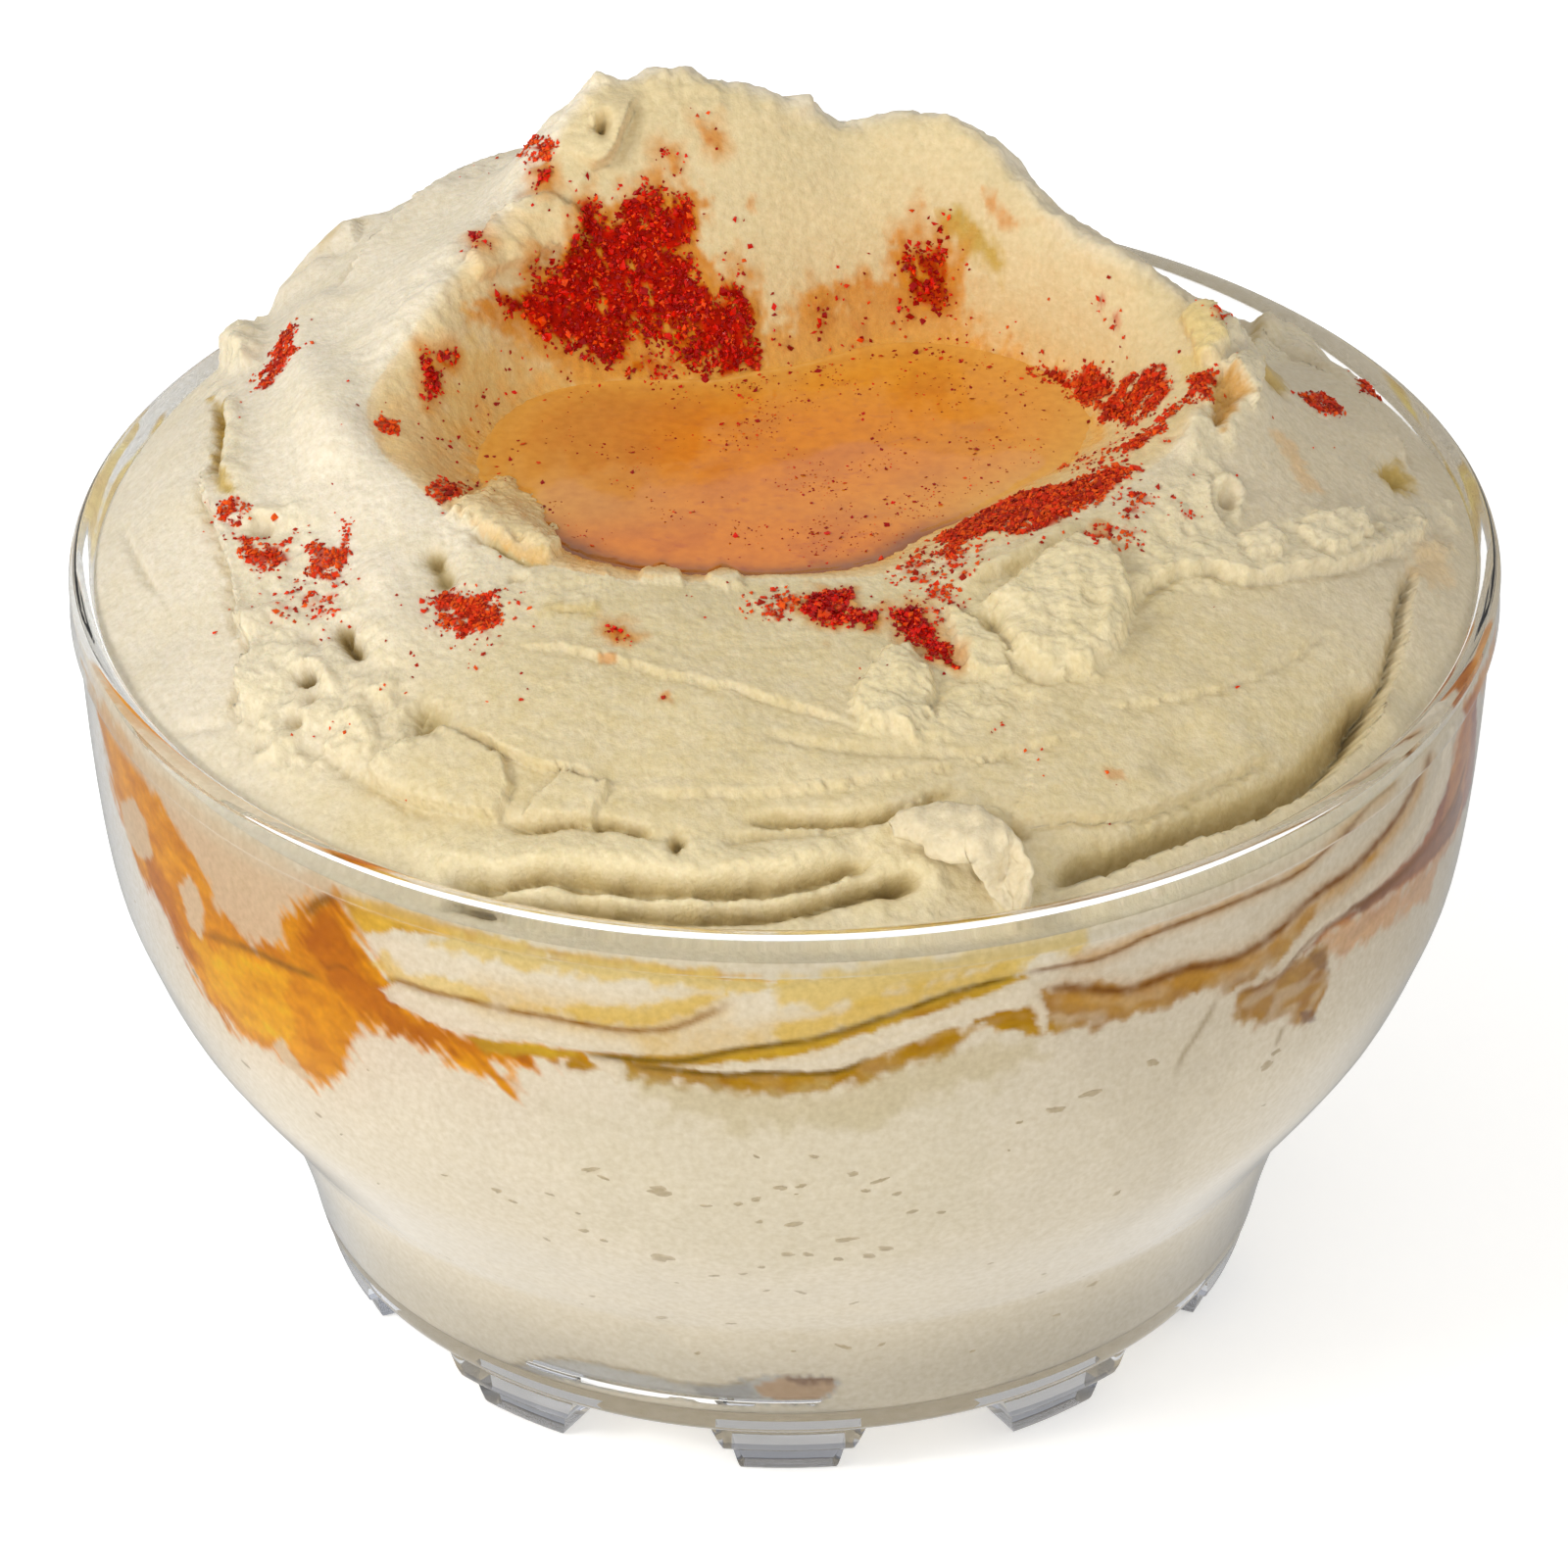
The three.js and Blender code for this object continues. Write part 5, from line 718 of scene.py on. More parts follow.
# clumps of spice stand a little proud
for w, dark, dens, edge, pts in SPICE:
    k = near(pts, X0, Y0, 4)
    if dens >= 0.6 and len(k):
        m = smooth((in_poly(pts, X0[k], Y0[k]) + edge * (0.8 * W1[k] + 0.5 * W2[k]) + 0.2) / 0.8)
        D[k] += m * (0.12 + 0.16 * noise(X0[k] / 0.6, Y0[k] / 0.6, Z0[k] / 0.6, 21) + 0.16 * W1[k])

D *= edge_fade
top = base + bn * D.reshape(NA, NT, 1)
top[..., 2] += (PILED * 2.9 * smooth((rw[ai] - rrg) / 0.5)).reshape(NA, NT)
# stay inside the glass near the rim
lim = inner_r(np.clip(top[..., 2], 8, 77.8)) + INSIDE
rad = np.hypot(top[..., 0], top[..., 1])
over = np.maximum(1, rad / lim)
top[..., 0] /= over
top[..., 1] /= over
tn = grid_normals(top)
tn *= np.sign(np.sum(tn * bn, -1, keepdims=True))
tn[:, 0] = (0, 0, 1)


def surf(x, y):
    """point and normal of the finished mound above plan points"""
    a = np.arctan2(x - CX, -(y - CY))
    r = np.hypot(x - CX, y - CY)
    order = np.searchsorted(AZ, a)
    i0, i1 = (order - 1) % NA, order % NA
    a0, a1 = AZ[i0], AZ[i1]
    t = ((a - a0) % (2 * math.pi)) / np.maximum((a1 - a0) % (2 * math.pi), 1e-9)
    t = np.clip(t, 0, 1)
    out = 0.0
    outn = 0.0
    for i, w in ((i0, 1 - t), (i1, t)):
        ring = RR[i]
        j = np.clip((r[:, None] >= ring).sum(-1) - 1, 0, NT - 2)
        u = np.clip((r - ring[np.arange(len(r)), j]) / (ring[np.arange(len(r)), j + 1] - ring[np.arange(len(r)), j]), 0, 1)
        out = out + w[:, None] * (top[i, j] * (1 - u[:, None]) + top[i, j + 1] * u[:, None])
        outn = outn + w[:, None] * (tn[i, j] * (1 - u[:, None]) + tn[i, j + 1] * u[:, None])
    outn /= np.linalg.norm(outn, axis=1)[:, None]
    return out, outn


# ---------------------------------------------------------------- colours of the mound
PASTE = lin((233, 222, 200))
TINT = {"amber": lin((205, 128, 28)), "yellowish": lin((222, 196, 120)), "golden": lin((204, 150, 58)), "olive": lin((186, 152, 48)), "amberlight": lin((222, 168, 92)), "film": lin((226, 188, 128))}
gx, gy, gz = top[..., 0].ravel(), top[..., 1].ravel(), top[..., 2].ravel()
col = np.repeat(PASTE[None], NA * NT, 0)
tone = fbm(X0 / 9, Y0 / 9, Z0 / 9, 3, seed=71)
col *= (1 + 0.035 * tone + 0.02 * W2)[:, None]
col = mix(col, PASTE * (0.93, 0.9, 0.74), 0.28 * smooth(fbm(X0 / 6, Y0 / 6, Z0 / 6, 3, seed=77) + 0.2))
# hollows hold oil and painted shade: deeper relief is more yellow
hollow = smooth((-D - 0.25) / 1.4)
col = mix(col, lin((190, 166, 100)), 0.75 * hollow)
# painted shade: the outer flank on the left is a little darker
col *= (1 - 0.06 * smooth((-20 - np.degrees(azg)) / 25) * smooth((rrg - 46) / 8))[:, None]
# painted shade: the deepest creases turn dark brown
col = mix(col, lin((122, 94, 34)), 0.9 * smooth((-D - 0.8) / 1.2))
azd = np.degrees(azg)
crater = smooth((0.04 - share) / 0.1)
col = mix(col, lin((217, 197, 149)) * (1 + 0.03 * tone)[:, None], 0.85 * crater)
# painted shade: the front flank is made darker and yellower
front = smooth((azd + 62) / 35) * smooth((85 - azd) / 30) * smooth((1.15 - share) / 0.3) * smooth(share / 0.06 + 0.5)
col = mix(col, lin((212, 193, 143)) * (1 + 0.035 * tone)[:, None], (0.75 + 0.15 * W1.clip(-1, 1)) * front)
# painted shade: the right flank is made darker
right = smooth((azd - 50) / 35) * smooth((150 - azd) / 30) * smooth(share / 0.06 + 0.5)
col = mix(col, lin((208, 192, 159)) * (1 + 0.03 * tone)[:, None], 0.7 * right)
wet = 0.48 + 0.2 * smooth(fbm(X0 / 5, Y0 / 5, 3.0, 2, seed=79) - 0.1) + 0.3 * smooth((6 - (rrg - rp[ai])) / 6)
wet = np.maximum(wet, (0.78 + 0.2 * smooth(0.5 + W1)) * ROUGHM)
# painted highlight: the raised parts of rough lumps are lightened
col = mix(col, lin((238, 224, 184)), 0.4 * ROUGHM * smooth(D / 1.2 + 0.4))
for key, soft, strength, pts in STAINS:
    k = near(pts, X0, Y0, soft * 3 + 2)
    m = smooth((in_poly(pts, X0[k], Y0[k]) + soft * 0.45 * (W1[k] + W2[k])) / soft + 0.5)
    col[k] = mix(col[k], TINT[key], strength * m)
    wet[k] = np.maximum(wet[k], 0.8 * m * strength)
# shoreline of the pool: oil soaked
rise = np.maximum(gz - OIL_Z, 0)
backish = smooth((np.abs(azd) - 50) / 40)
leftish = smooth((-gx - 4) / 12)
shore = np.exp(-rise / (0.8 + 1.3 * backish + 1.6 * leftish)) * smooth((rp[ai] * 1.6 - rrg) / 4) * (share < 0)
shore = np.clip(shore * (1 + 0.5 * W1), 0, 1) * (1 - 0.85 * smooth((D - 0.45) / 0.5))
col = mix(col, lin((236, 170, 72)), 0.85 * shore)
col = mix(col, lin((226, 188, 116)), (0.5 + 0.25 * backish) * np.exp(-rise / 4.6) * smooth((rp[ai] * 1.7 - rrg) / 4) * (share < 0) * (1 - shore))
wet = np.maximum(wet, shore)
COVER = np.zeros(len(D))
RED_WET, RED_DRY = lin((182, 10, 1)), lin((190, 40, 4))
spot = np.clip(1 + 0.5 * fbm(X0 / 1.3, Y0 / 1.3, Z0 / 1.3, 3, seed=87), 0.55, 1.5)[:, None]
for w, dark, dens, edge, pts in SPICE:
    k = near(pts, X0, Y0, 6)
    lobes = fbm(X0[k] / 3.0, Y0[k] / 3.0, 0.0, 2, seed=115)
    sd = in_poly(pts, X0[k], Y0[k]) + edge * (0.8 * W1[k] + 0.5 * W2[k]) + 1.1 * lobes - 0.1
    if w > 0.5:
        halo = smooth((sd + 2.0) / 2.4) * min(1, dens) * 0.85
        col[k] = mix(col[k], lin((204, 130, 18)), halo)
        wet[k] = np.maximum(wet[k], halo)
    isle = 0.9 * fbm(X0[k] / 1.7, Y0[k] / 1.7, 0.0, 2, seed=113) + 0.45 * fbm(X0[k] / 0.8, Y0[k] / 0.8, 0.0, 2, seed=83)
    cover = smooth((sd + 0.1) / 0.7) * min(1.0, dens) * smooth((isle + 0.95 * dens - 0.32) / 0.4)
    paint = (RED_WET * (1 - 0.3 * dark) if w > 0.5 else RED_DRY * (1 - 0.3 * dark)) * spot[k]
    col[k] = col[k] * (1 - 0.98 * cover[:, None]) + paint * 0.98 * cover[:, None]
    wet[k] = wet[k] * (1 - 0.8 * cover)
    COVER[k] = np.maximum(COVER[k], cover)

COLG = col.reshape(NA, NT, 3)

# ---------------------------------------------------------------- fill against the wall
th = np.arctan2(top[:, -1, 0], -top[:, -1, 1])
zt = top[:, -1, 2]
fine, mid, low = 104, 34, 16
zr = np.concatenate([np.linspace(0, 1, fine, endpoint=False) * 30.0, 30 + np.linspace(0, 1, mid, endpoint=False) * 30.0, 60 + np.linspace(0, 1, low) ** 1.0 * 10.0])
zr = zr / zr[-1]
ZS = zt[:, None] + (9.2 - zt[:, None]) * zr[None]
fil = 7.62 + (9.2 - 7.62) * np.array([0.72, 0.45, 0.22, 0.07, 0.0])
ZS = np.concatenate([ZS, np.repeat(fil[None], NA, 0)], 1)
NS = ZS.shape[1]
TH = np.repeat(th[:, None], NS, 1)
zs, ths = ZS.ravel(), np.degrees(TH.ravel())
rs = inner_r(np.maximum(zs, 7.81))
sx, sy = rs * np.sin(TH.ravel()), -rs * np.cos(TH.ravel())
S1 = fbm(sx / 2.4, sy / 2.4, zs / 2.4, 3, seed=91)
S2 = fbm(sx / 0.9, sy / 0.9, zs / 0.9, 2, seed=97)
UX = np.radians(ths) * 66.0       # arc length along the wall
SC = {
    "amber": (238, 158, 4), "deep": (196, 104, 2), "bright": (254, 188, 18), "peach": (228, 192, 146), "peachlight": (240, 218, 184),
    "yelloworange": (242, 190, 70), "yellowamber": (236, 186, 66), "yellow": (244, 212, 112), "yellowolive": (212, 166, 40), "olive": (192, 140, 2),
    "olivepale": (208, 190, 130), "yellowbrown": (184, 130, 22), "brown": (168, 82, 14), "orangepale": (228, 154, 68), "darkbrown": (112, 58, 34),
    "palegreen": (206, 198, 160), "shade": (196, 182, 152), "light": (228, 220, 202), "void": (180, 177, 172), "voiddark": (150, 148, 146),
    "hollow": (178, 148, 116), "hollowdark": (112, 78, 50), "paste": (252, 241, 220), "lineamber": (158, 102, 10), "lineolive": (128, 96, 4),
    "linebrown": (136, 82, 12), "linepale": (176, 154, 112), "glow": (214, 158, 60), "glowyellow": (236, 196, 92), "glowpink": (214, 150, 104),
}
FLOWING = ('amber', 'deep', 'bright', 'peach', 'olive', 'olivepale', 'yellowbrown', 'yellow', 'orangepale', 'palegreen', 'shade')
scol = np.repeat(lin((252, 241, 220))[None], len(zs), 0)
scol *= (1 + 0.02 * fbm(sx / 7, sy / 7, zs / 7, 3, seed=99))[:, None]
scol *= (1 - 0.22 * smooth((24 - zs) / 12))[:, None]
# painted reflection: the paste on the left side is whitened, as the glass edge there looks white
scol = mix(scol, lin((255, 255, 255)), 1.0 * smooth((-52 - ths) / 26) * smooth((ths + 150) / 40))
# painted shade: darker away from the left side, most on the right
scol *= (1 - 0.05 * smooth((ths - 5) / 20) - 0.08 * smooth((ths - 45) / 20) * smooth((110 - ths) / 20))[:, None]
scol *= (1 - 0.045 * smooth((ths + 45) / 20))[:, None]
rel = np.full(len(zs), 0.0)
recess = np.zeros(len(zs))
for key, soft, strength, pts in SIDE:
    P = np.array(pts, float)
    P[:, 0] = np.radians(P[:, 0]) * 66.0
    k = near(P, UX, zs, soft * 3 + 3)
    sd = in_poly(P, UX[k], zs[k]) + soft * 0.4 * S1[k] + min(soft, 0.5) * 0.5 * S2[k]
    if key in FLOWING:
        sd = sd + 0.55 * noise((UX[k] - zs[k] * 0.5) / 1.1, zs[k] / 4.5, 0.0, 8) + 0.5 * noise((UX[k] - zs[k] * 0.4) / 3.0, zs[k] / 7.0, 0.0, 6)
        soft = max(soft * 0.7, 0.8)
        sd = sd + 0.35
    if key in ("amber", "bright", "deep"):
        across, along = UX[k] + 0.9 * zs[k], UX[k] - 0.9 * zs[k]
        sd = sd + 1.1 * noise(across / 1.5, along / 10.0, 0.0, 51) + 0.7 * noise(across / 0.7, along / 6.0, 0.0, 52)
        soft = max(soft, 1.7)
    m = smooth(sd / soft + 0.5)
    if key in ("yellowbrown", "olive"):
        low = 0.9 if key == "olive" else 0.65
        m = m * (low + (1 - low) * smooth(0.6 + 1.3 * noise(UX[k] / 2.4, zs[k] / 1.5, 0.0, 61)))
    tint = np.repeat(lin(SC[key])[None], len(k), 0)
    if key in ("amber", "deep", "bright", "olive", "yellowbrown", "brown", "yellowamber", "orangepale", "yellowolive"):
        flow = fbm(UX[k] / 4.5, zs[k] / 2.6, 0.0, 4, 0.55, seed=103)
        tint = tint * np.clip(1 + 0.30 * flow[:, None] * (0.6, 1.0, 1.3), 0.35, 1.5)
    scol[k] = scol[k] * (1 - (strength * m)[:, None]) + tint * (strength * m)[:, None]
    if key == "paste":
        rel[k] = np.maximum(rel[k], smooth(sd / 1.1 + 0.2))
    if key in ("void", "voiddark"):
        recess[k] = np.maximum(recess[k], smooth(sd / 0.7 + 0.3))
    if key in ("hollow", "light"):
        recess[k] = np.maximum(recess[k], 0.25 * smooth(sd / 0.7 + 0.3))
for key, width, strength, pts in SIDE_LINES:
    P = np.array(pts, float)
    P[:, 0] = np.radians(P[:, 0]) * 66.0
    k = near(P, UX, zs, width * 4 + 1)
    d, s, length, side = to_line(curve(P, 4), UX[k], zs[k])
    ends = min(3.0, length * 0.3)
    m = np.exp(-(np.maximum(d + 0.25 * width * S2[k] + 0.12 * S1[k], 0) / (width * 1.1)) ** 2) * smooth(0.15 + s / ends) * smooth(0.15 + (length - s) / ends)
    scol[k] = mix(scol[k], lin(SC[key]), np.clip(strength * m * (1 + 0.4 * S1[k]), 0, 1))
    rel[k] *= 1 - 0.8 * m
under_lip = smooth((zs - 71.0) / 1.6) * smooth((ths + 78) / 8) * smooth((-39 - ths) / 6)
scol = mix(scol, lin((238, 218, 186)), 0.7 * under_lip)
# the far side: the same thin runs of oil between paste and glass
far = smooth((np.abs(ths) - 86) / 16)
wave = zs + 5.0 * noise(sx / 27, sy / 27, 0.0, 31) + 1.4 * noise(sx / 9, sy / 9, zs / 12, 32)
for level, half_w, key, strength, sd_ in ((71.0, 2.2, "yellow", 0.75, 41), (66.4, 0.35, "lineolive", 0.9, 42), (63.6, 1.5, "yellowbrown", 0.85, 43), (60.4, 0.5, "olive", 0.95, 44), (58.2, 2.3, "amber", 0.95, 45)):
    gate = smooth((noise(sx / 24, sy / 24, 0.0, sd_) + 0.42) / 0.6)
    bulge = 0.35 + 0.9 * smooth(0.5 + 1.4 * noise(sx / 11, sy / 11, 0.0, sd_ + 7))
    off = level + 1.6 * noise(sx / 15, sy / 15, 0.0, sd_ + 14)
    b = smooth((half_w * gate * bulge - np.abs(wave - off) + 0.45 * S1 + 0.3 * S2) / 1.4) * smooth(gate * 2) * far
    flow = fbm(sx / 4.5, sy / 4.5, zs / 2.6, 3, 0.55, seed=104)
    tint = lin(SC[key])[None] * np.clip(1 + 0.3 * flow[:, None] * (0.6, 1.0, 1.3), 0.4, 1.5)
    scol = scol * (1 - (strength * b)[:, None]) + tint * (strength * b)[:, None]

top_fade = smooth((zt[np.repeat(np.arange(NA), NS)] - zs) / 1.2)
bot_fade = smooth((zs - 8.6) / 1.5)
push = INSIDE + (0.5 * rel + 0.05 * (S2 + 0.5 * S1)) * top_fade * bot_fade - 0.3 * recess * bot_fade
push = np.where(zs < 8.6, np.minimum(push, INSIDE), push)
rs2 = rs + push
side_v = np.stack([rs2 * np.sin(TH.ravel()), -rs2 * np.cos(TH.ravel()), zs], -1).reshape(NA, NS, 3)
side_v[:, 0] = top[:, -1]
# the flat underside, on the floor of the bowl
NB = 6
bot = side_v[:, -1][:, None] * (1 - (np.arange(1, NB + 1) / (NB + 0.02)))[None, :, None]
bot[..., 2] = 7.62
side_v = np.concatenate([side_v, bot], 1)
NS2 = side_v.shape[1]
scolg = np.concatenate([scol.reshape(NA, NS, 3), np.repeat(np.repeat(lin((252, 241, 220))[None, None], NA, 0), NB, 1)], 1)
tcol = COLG[:, -1]
for j in range(6):
    a = 1 - j / 6
    scolg[:, j] = scolg[:, j] * (1 - 0.5 * a) + tcol * 0.5 * a
sn = grid_normals(side_v)
sn *= np.sign(np.sum(sn[:, 20] * np.stack([np.sin(th), -np.cos(th), 0 * th], -1), -1).mean())


def strip_faces(ncol_index, nrow, r0, r1, flip=False):
    """quads of a grid with columns in this order and rows r0..r1"""
    c = np.asarray(ncol_index)
    a, b = c[:-1], c[1:]
    rows = np.arange(r0, r1)
    A = (a[:, None] * nrow + rows[None]).ravel()
    B = (b[:, None] * nrow + rows[None]).ravel()
    q = np.stack([A, A + 1, B + 1, B], -1)
    return q[:, ::-1] if flip else q


def part_of(name, verts, nrow, columns, r0, r1, colours, normals, extra):
    q = strip_faces(columns, nrow, r0, r1)
    v = verts.reshape(-1, 3)
    a, b, c = v[q[:, 0]], v[q[:, 1]], v[q[:, 2]]
    n = normals.reshape(-1, 3)
    if np.sum(np.cross(b - a, c - a) * n[q[:, 0]]) < 0:
        q = q[:, ::-1]
    used = np.unique(q)
    remap = np.zeros(len(v), int)
    remap[used] = np.arange(len(used))
    return build(name, v[used], remap[q], colours.reshape(-1, 3)[used], {k: e.ravel()[used] for k, e in extra.items()}, n[used])


front_cols = np.where((AZ > -math.radians(92)) & (AZ < math.radians(92)))[0]
fc = front_cols
bc = np.concatenate([np.arange(fc[-1], NA), np.arange(0, fc[0] + 1)])
wetg = np.clip(wet, 0, 1).reshape(NA, NT)
covg = COVER.reshape(NA, NT)
swet = np.zeros((NA, NS2))
fcs = np.where((AZ > -math.radians(88)) & (AZ < math.radians(88)))[0]
bcs = np.concatenate([np.arange(fcs[-1], NA), np.arange(0, fcs[0] + 1)])
mid_r = 108
food = [
    part_of("hummus_crater_front", top, NT, fc, 0, mid_r, COLG, tn, {"wet": wetg, "spice": covg}),
    part_of("hummus_crater_back", top, NT, bc, 0, mid_r, COLG, tn, {"wet": wetg, "spice": covg}),
    part_of("hummus_flank_front", top, NT, fc, mid_r, NT - 1, COLG, tn, {"wet": wetg, "spice": covg}),
    part_of("hummus_flank_back", top, NT, bc, mid_r, NT - 1, COLG, tn, {"wet": wetg, "spice": covg}),
    part_of("hummus_wall_front", side_v, NS2, fcs, 0, NS2 - 1, scolg, sn, {"wet": swet}),
    part_of("hummus_wall_back", side_v, NS2, bcs, 0, NS2 - 1, scolg, sn, {"wet": swet}),
]

m, nt, bsdf, new, link = nodes_of("hummus_paste")
att = new("ShaderNodeAttribute"); att.attribute_name = "Col"
wat = new("ShaderNodeAttribute"); wat.attribute_name = "wet"
tc = new("ShaderNodeTexCoord")
n1 = new("ShaderNodeTexNoise"); n1.inputs["Scale"].default_value = 650; n1.inputs["Detail"].default_value = 5; n1.inputs["Roughness"].default_value = 0.6
n2 = new("ShaderNodeTexNoise"); n2.inputs["Scale"].default_value = 2400; n2.inputs["Detail"].default_value = 3
n3 = new("ShaderNodeTexNoise"); n3.inputs["Scale"].default_value = 1500; n3.inputs["Detail"].default_value = 4
for n in (n1, n2, n3):
    link(tc.outputs["Object"], n.inputs["Vector"])
ramp = new("ShaderNodeValToRGB")
ramp.color_ramp.elements[0].position, ramp.color_ramp.elements[0].color = 0.25, (0.85, 0.82, 0.73, 1)
ramp.color_ramp.elements[1].position, ramp.color_ramp.elements[1].color = 0.72, (1.02, 1.02, 1.02, 1)
link(n3.outputs["Fac"], ramp.inputs["Fac"])
mul = new("ShaderNodeMix"); mul.data_type = "RGBA"; mul.blend_type = "MULTIPLY"; mul.inputs[0].default_value = 0.85
link(att.outputs["Color"], mul.inputs[6]); link(ramp.outputs["Color"], mul.inputs[7])
link(mul.outputs[2], bsdf.inputs["Base Color"])
rough = new("ShaderNodeMapRange"); rough.inputs["To Min"].default_value = 0.8; rough.inputs["To Max"].default_value = 0.22
link(wat.outputs["Fac"], rough.inputs["Value"]); link(rough.outputs["Result"], bsdf.inputs["Roughness"])
b1 = new("ShaderNodeBump"); b1.inputs["Strength"].default_value = 0.55; b1.inputs["Distance"].default_value = 0.00028
b2 = new("ShaderNodeBump"); b2.inputs["Strength"].default_value = 0.6; b2.inputs["Distance"].default_value = 0.00014
link(n1.outputs["Fac"], b1.inputs["Height"]); link(n2.outputs["Fac"], b2.inputs["Height"])
link(b1.outputs["Normal"], b2.inputs["Normal"]); link(b2.outputs["Normal"], bsdf.inputs["Normal"])
bsdf.inputs["IOR"].default_value = 1.42
bsdf.inputs["Subsurface Weight"].default_value = 0.12
bsdf.inputs["Subsurface Radius"].default_value = (1.0, 0.6, 0.3)
bsdf.inputs["Subsurface Scale"].default_value = 0.0014
PASTE_MAT = m
WALL_MAT = m.copy()
WALL_MAT.name = "hummus_behind_glass"
for nd in WALL_MAT.node_tree.nodes:
    if nd.type == "BUMP":
        nd.inputs["Strength"].default_value *= 0.35
wb = WALL_MAT.node_tree.nodes["Principled BSDF"]
wb.inputs["Specular IOR Level"].default_value = 0.0
wb.inputs["Subsurface Weight"].default_value = 0.0
SPICED_MAT = PASTE_MAT.copy()
SPICED_MAT.name = "hummus_under_spice"
sb = SPICED_MAT.node_tree.nodes["Principled BSDF"]
sb.inputs["Specular IOR Level"].default_value = 0.06
sb.inputs["Subsurface Weight"].default_value = 0.0
for o in food:
    o.data.materials.append(WALL_MAT if "wall" in o.name else PASTE_MAT)
    if "wall" not in o.name:
        o.data.materials.append(SPICED_MAT)
        vi = np.zeros(len(o.data.loops), np.int32)
        o.data.loops.foreach_get("vertex_index", vi)
        ls = np.zeros(len(o.data.polygons), np.int32)
        o.data.polygons.foreach_get("loop_start", ls)
        cv = np.zeros(len(o.data.vertices), np.float32)
        o.data.attributes["spice"].data.foreach_get("value", cv)
        o.data.polygons.foreach_set("material_index", (0.5 * (cv[vi[ls]] + cv[vi[ls + 2]]) > 0.4).astype(np.int32))
        o.data.attributes.remove(o.data.attributes["spice"])
    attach(o, "root")
    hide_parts("hummus")

# ---------------------------------------------------------------- oil in the crater
OA, OR = 320, 96
oa = np.linspace(-math.pi, math.pi, OA, endpoint=False)
orp = periodic(POOL_R, oa) + 2.2
OX = CX + np.sin(oa)[:, None] * orp[:, None] * np.linspace(0.001, 1, OR)[None]
OY = CY - np.cos(oa)[:, None] * orp[:, None] * np.linspace(0.001, 1, OR)[None]
ox, oy = OX.ravel(), OY.ravel()
sp_, _ = surf(ox, oy)
depth = OIL_Z - sp_[:, 2]
oz = OIL_Z + 0.16 * np.exp(-np.maximum(depth, 0) / 0.35) * (depth > -3) + 0.02 * noise(ox / 5, oy / 5, 0.0, 2)
oz = np.where(depth < -1.2, OIL_Z - 0.3, oz)
ocol = np.repeat(lin((237, 137, 28))[None], len(ox), 0)
ocol = mix(ocol, lin((244, 156, 18)), smooth((oy - 8) / 14))
ocol = mix(ocol, lin((238, 142, 40)), 0.8 * smooth((ox - 12) / 14))
ocol = mix(ocol, lin((236, 138, 42)), 0.8 * smooth((-oy - 8) / 10))
cloud = fbm(ox / 5.5, oy / 5.5, 0.0, 4, 0.55, seed=101)
ocol = mix(ocol, lin((188, 92, 46)), 0.30 * smooth(cloud * 1.3 + 0.15))
smudge = smooth((fbm(ox / 1.6, oy / 1.1, 0.0, 3, 0.6, seed=107) - 0.42) / 0.35) * smooth(0.7 + fbm(ox / 8, oy / 8, 0.0, 2, seed=109))
ocol = mix(ocol, lin((176, 62, 56)), 0.3 * smudge)
# painted reflection: the left part of the pool hazier and paler
ocol = mix(ocol, lin((208, 136, 66)), 0.75 * smooth((-ox - 6) / 14) * smooth((oy + 16) / 10))
thin = np.exp(-(np.maximum(depth, 0) / 3.4) ** 1.1)
frontness = smooth((-6 - oy) / 8)
ocol = mix(ocol, lin((236, 170, 72)), thin * (1 - frontness))
ocol = mix(ocol, lin((128, 66, 14)), 0.8 * np.exp(-(np.maximum(depth, 0) / 0.8) ** 2) * frontness)
ocol = ocol * 0.94
q = strip_faces(np.append(np.arange(OA), 0), OR, 0, OR - 1)
ov = np.stack([ox, oy, oz], -1)
if np.cross(ov[q[:, 1]] - ov[q[:, 0]], ov[q[:, 2]] - ov[q[:, 0]])[:, 2].sum() < 0:
    q = q[:, ::-1]
oil = build("oil_surface", ov, q, ocol)
m, nt, bsdf, new, link = nodes_of("red_oil")
att = new("ShaderNodeAttribute"); att.attribute_name = "Col"
tc = new("ShaderNodeTexCoord")
n1 = new("ShaderNodeTexNoise"); n1.inputs["Scale"].default_value = 900; n1.inputs["Detail"].default_value = 6
link(tc.outputs["Object"], n1.inputs["Vector"])
ramp = new("ShaderNodeValToRGB")
ramp.color_ramp.elements[0].position, ramp.color_ramp.elements[0].color = 0.28, (0.84, 0.74, 0.7, 1)
ramp.color_ramp.elements[1].position, ramp.color_ramp.elements[1].color = 0.62, (1, 1, 1, 1)
link(n1.outputs["Fac"], ramp.inputs["Fac"])
mul = new("ShaderNodeMix"); mul.data_type = "RGBA"; mul.blend_type = "MULTIPLY"; mul.inputs[0].default_value = 0.7
link(att.outputs["Color"], mul.inputs[6]); link(ramp.outputs["Color"], mul.inputs[7]); link(mul.outputs[2], bsdf.inputs["Base Color"])
bsdf.inputs["Roughness"].default_value = 0.06
bsdf.inputs["IOR"].default_value = 1.47
oil.data.materials.append(m)
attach(oil, "root")
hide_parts("oil_pool")

# ---------------------------------------------------------------- ground paprika
OCT_F = np.array([[0, 2, 4], [2, 1, 4], [1, 3, 4], [3, 0, 4], [2, 0, 5], [1, 2, 5], [3, 1, 5], [0, 3, 5]])
OCT_V = np.array([[1, 0, 0], [-1, 0, 0], [0, 1, 0], [0, -1, 0], [0, 0, 1], [0, 0, -1]], float)


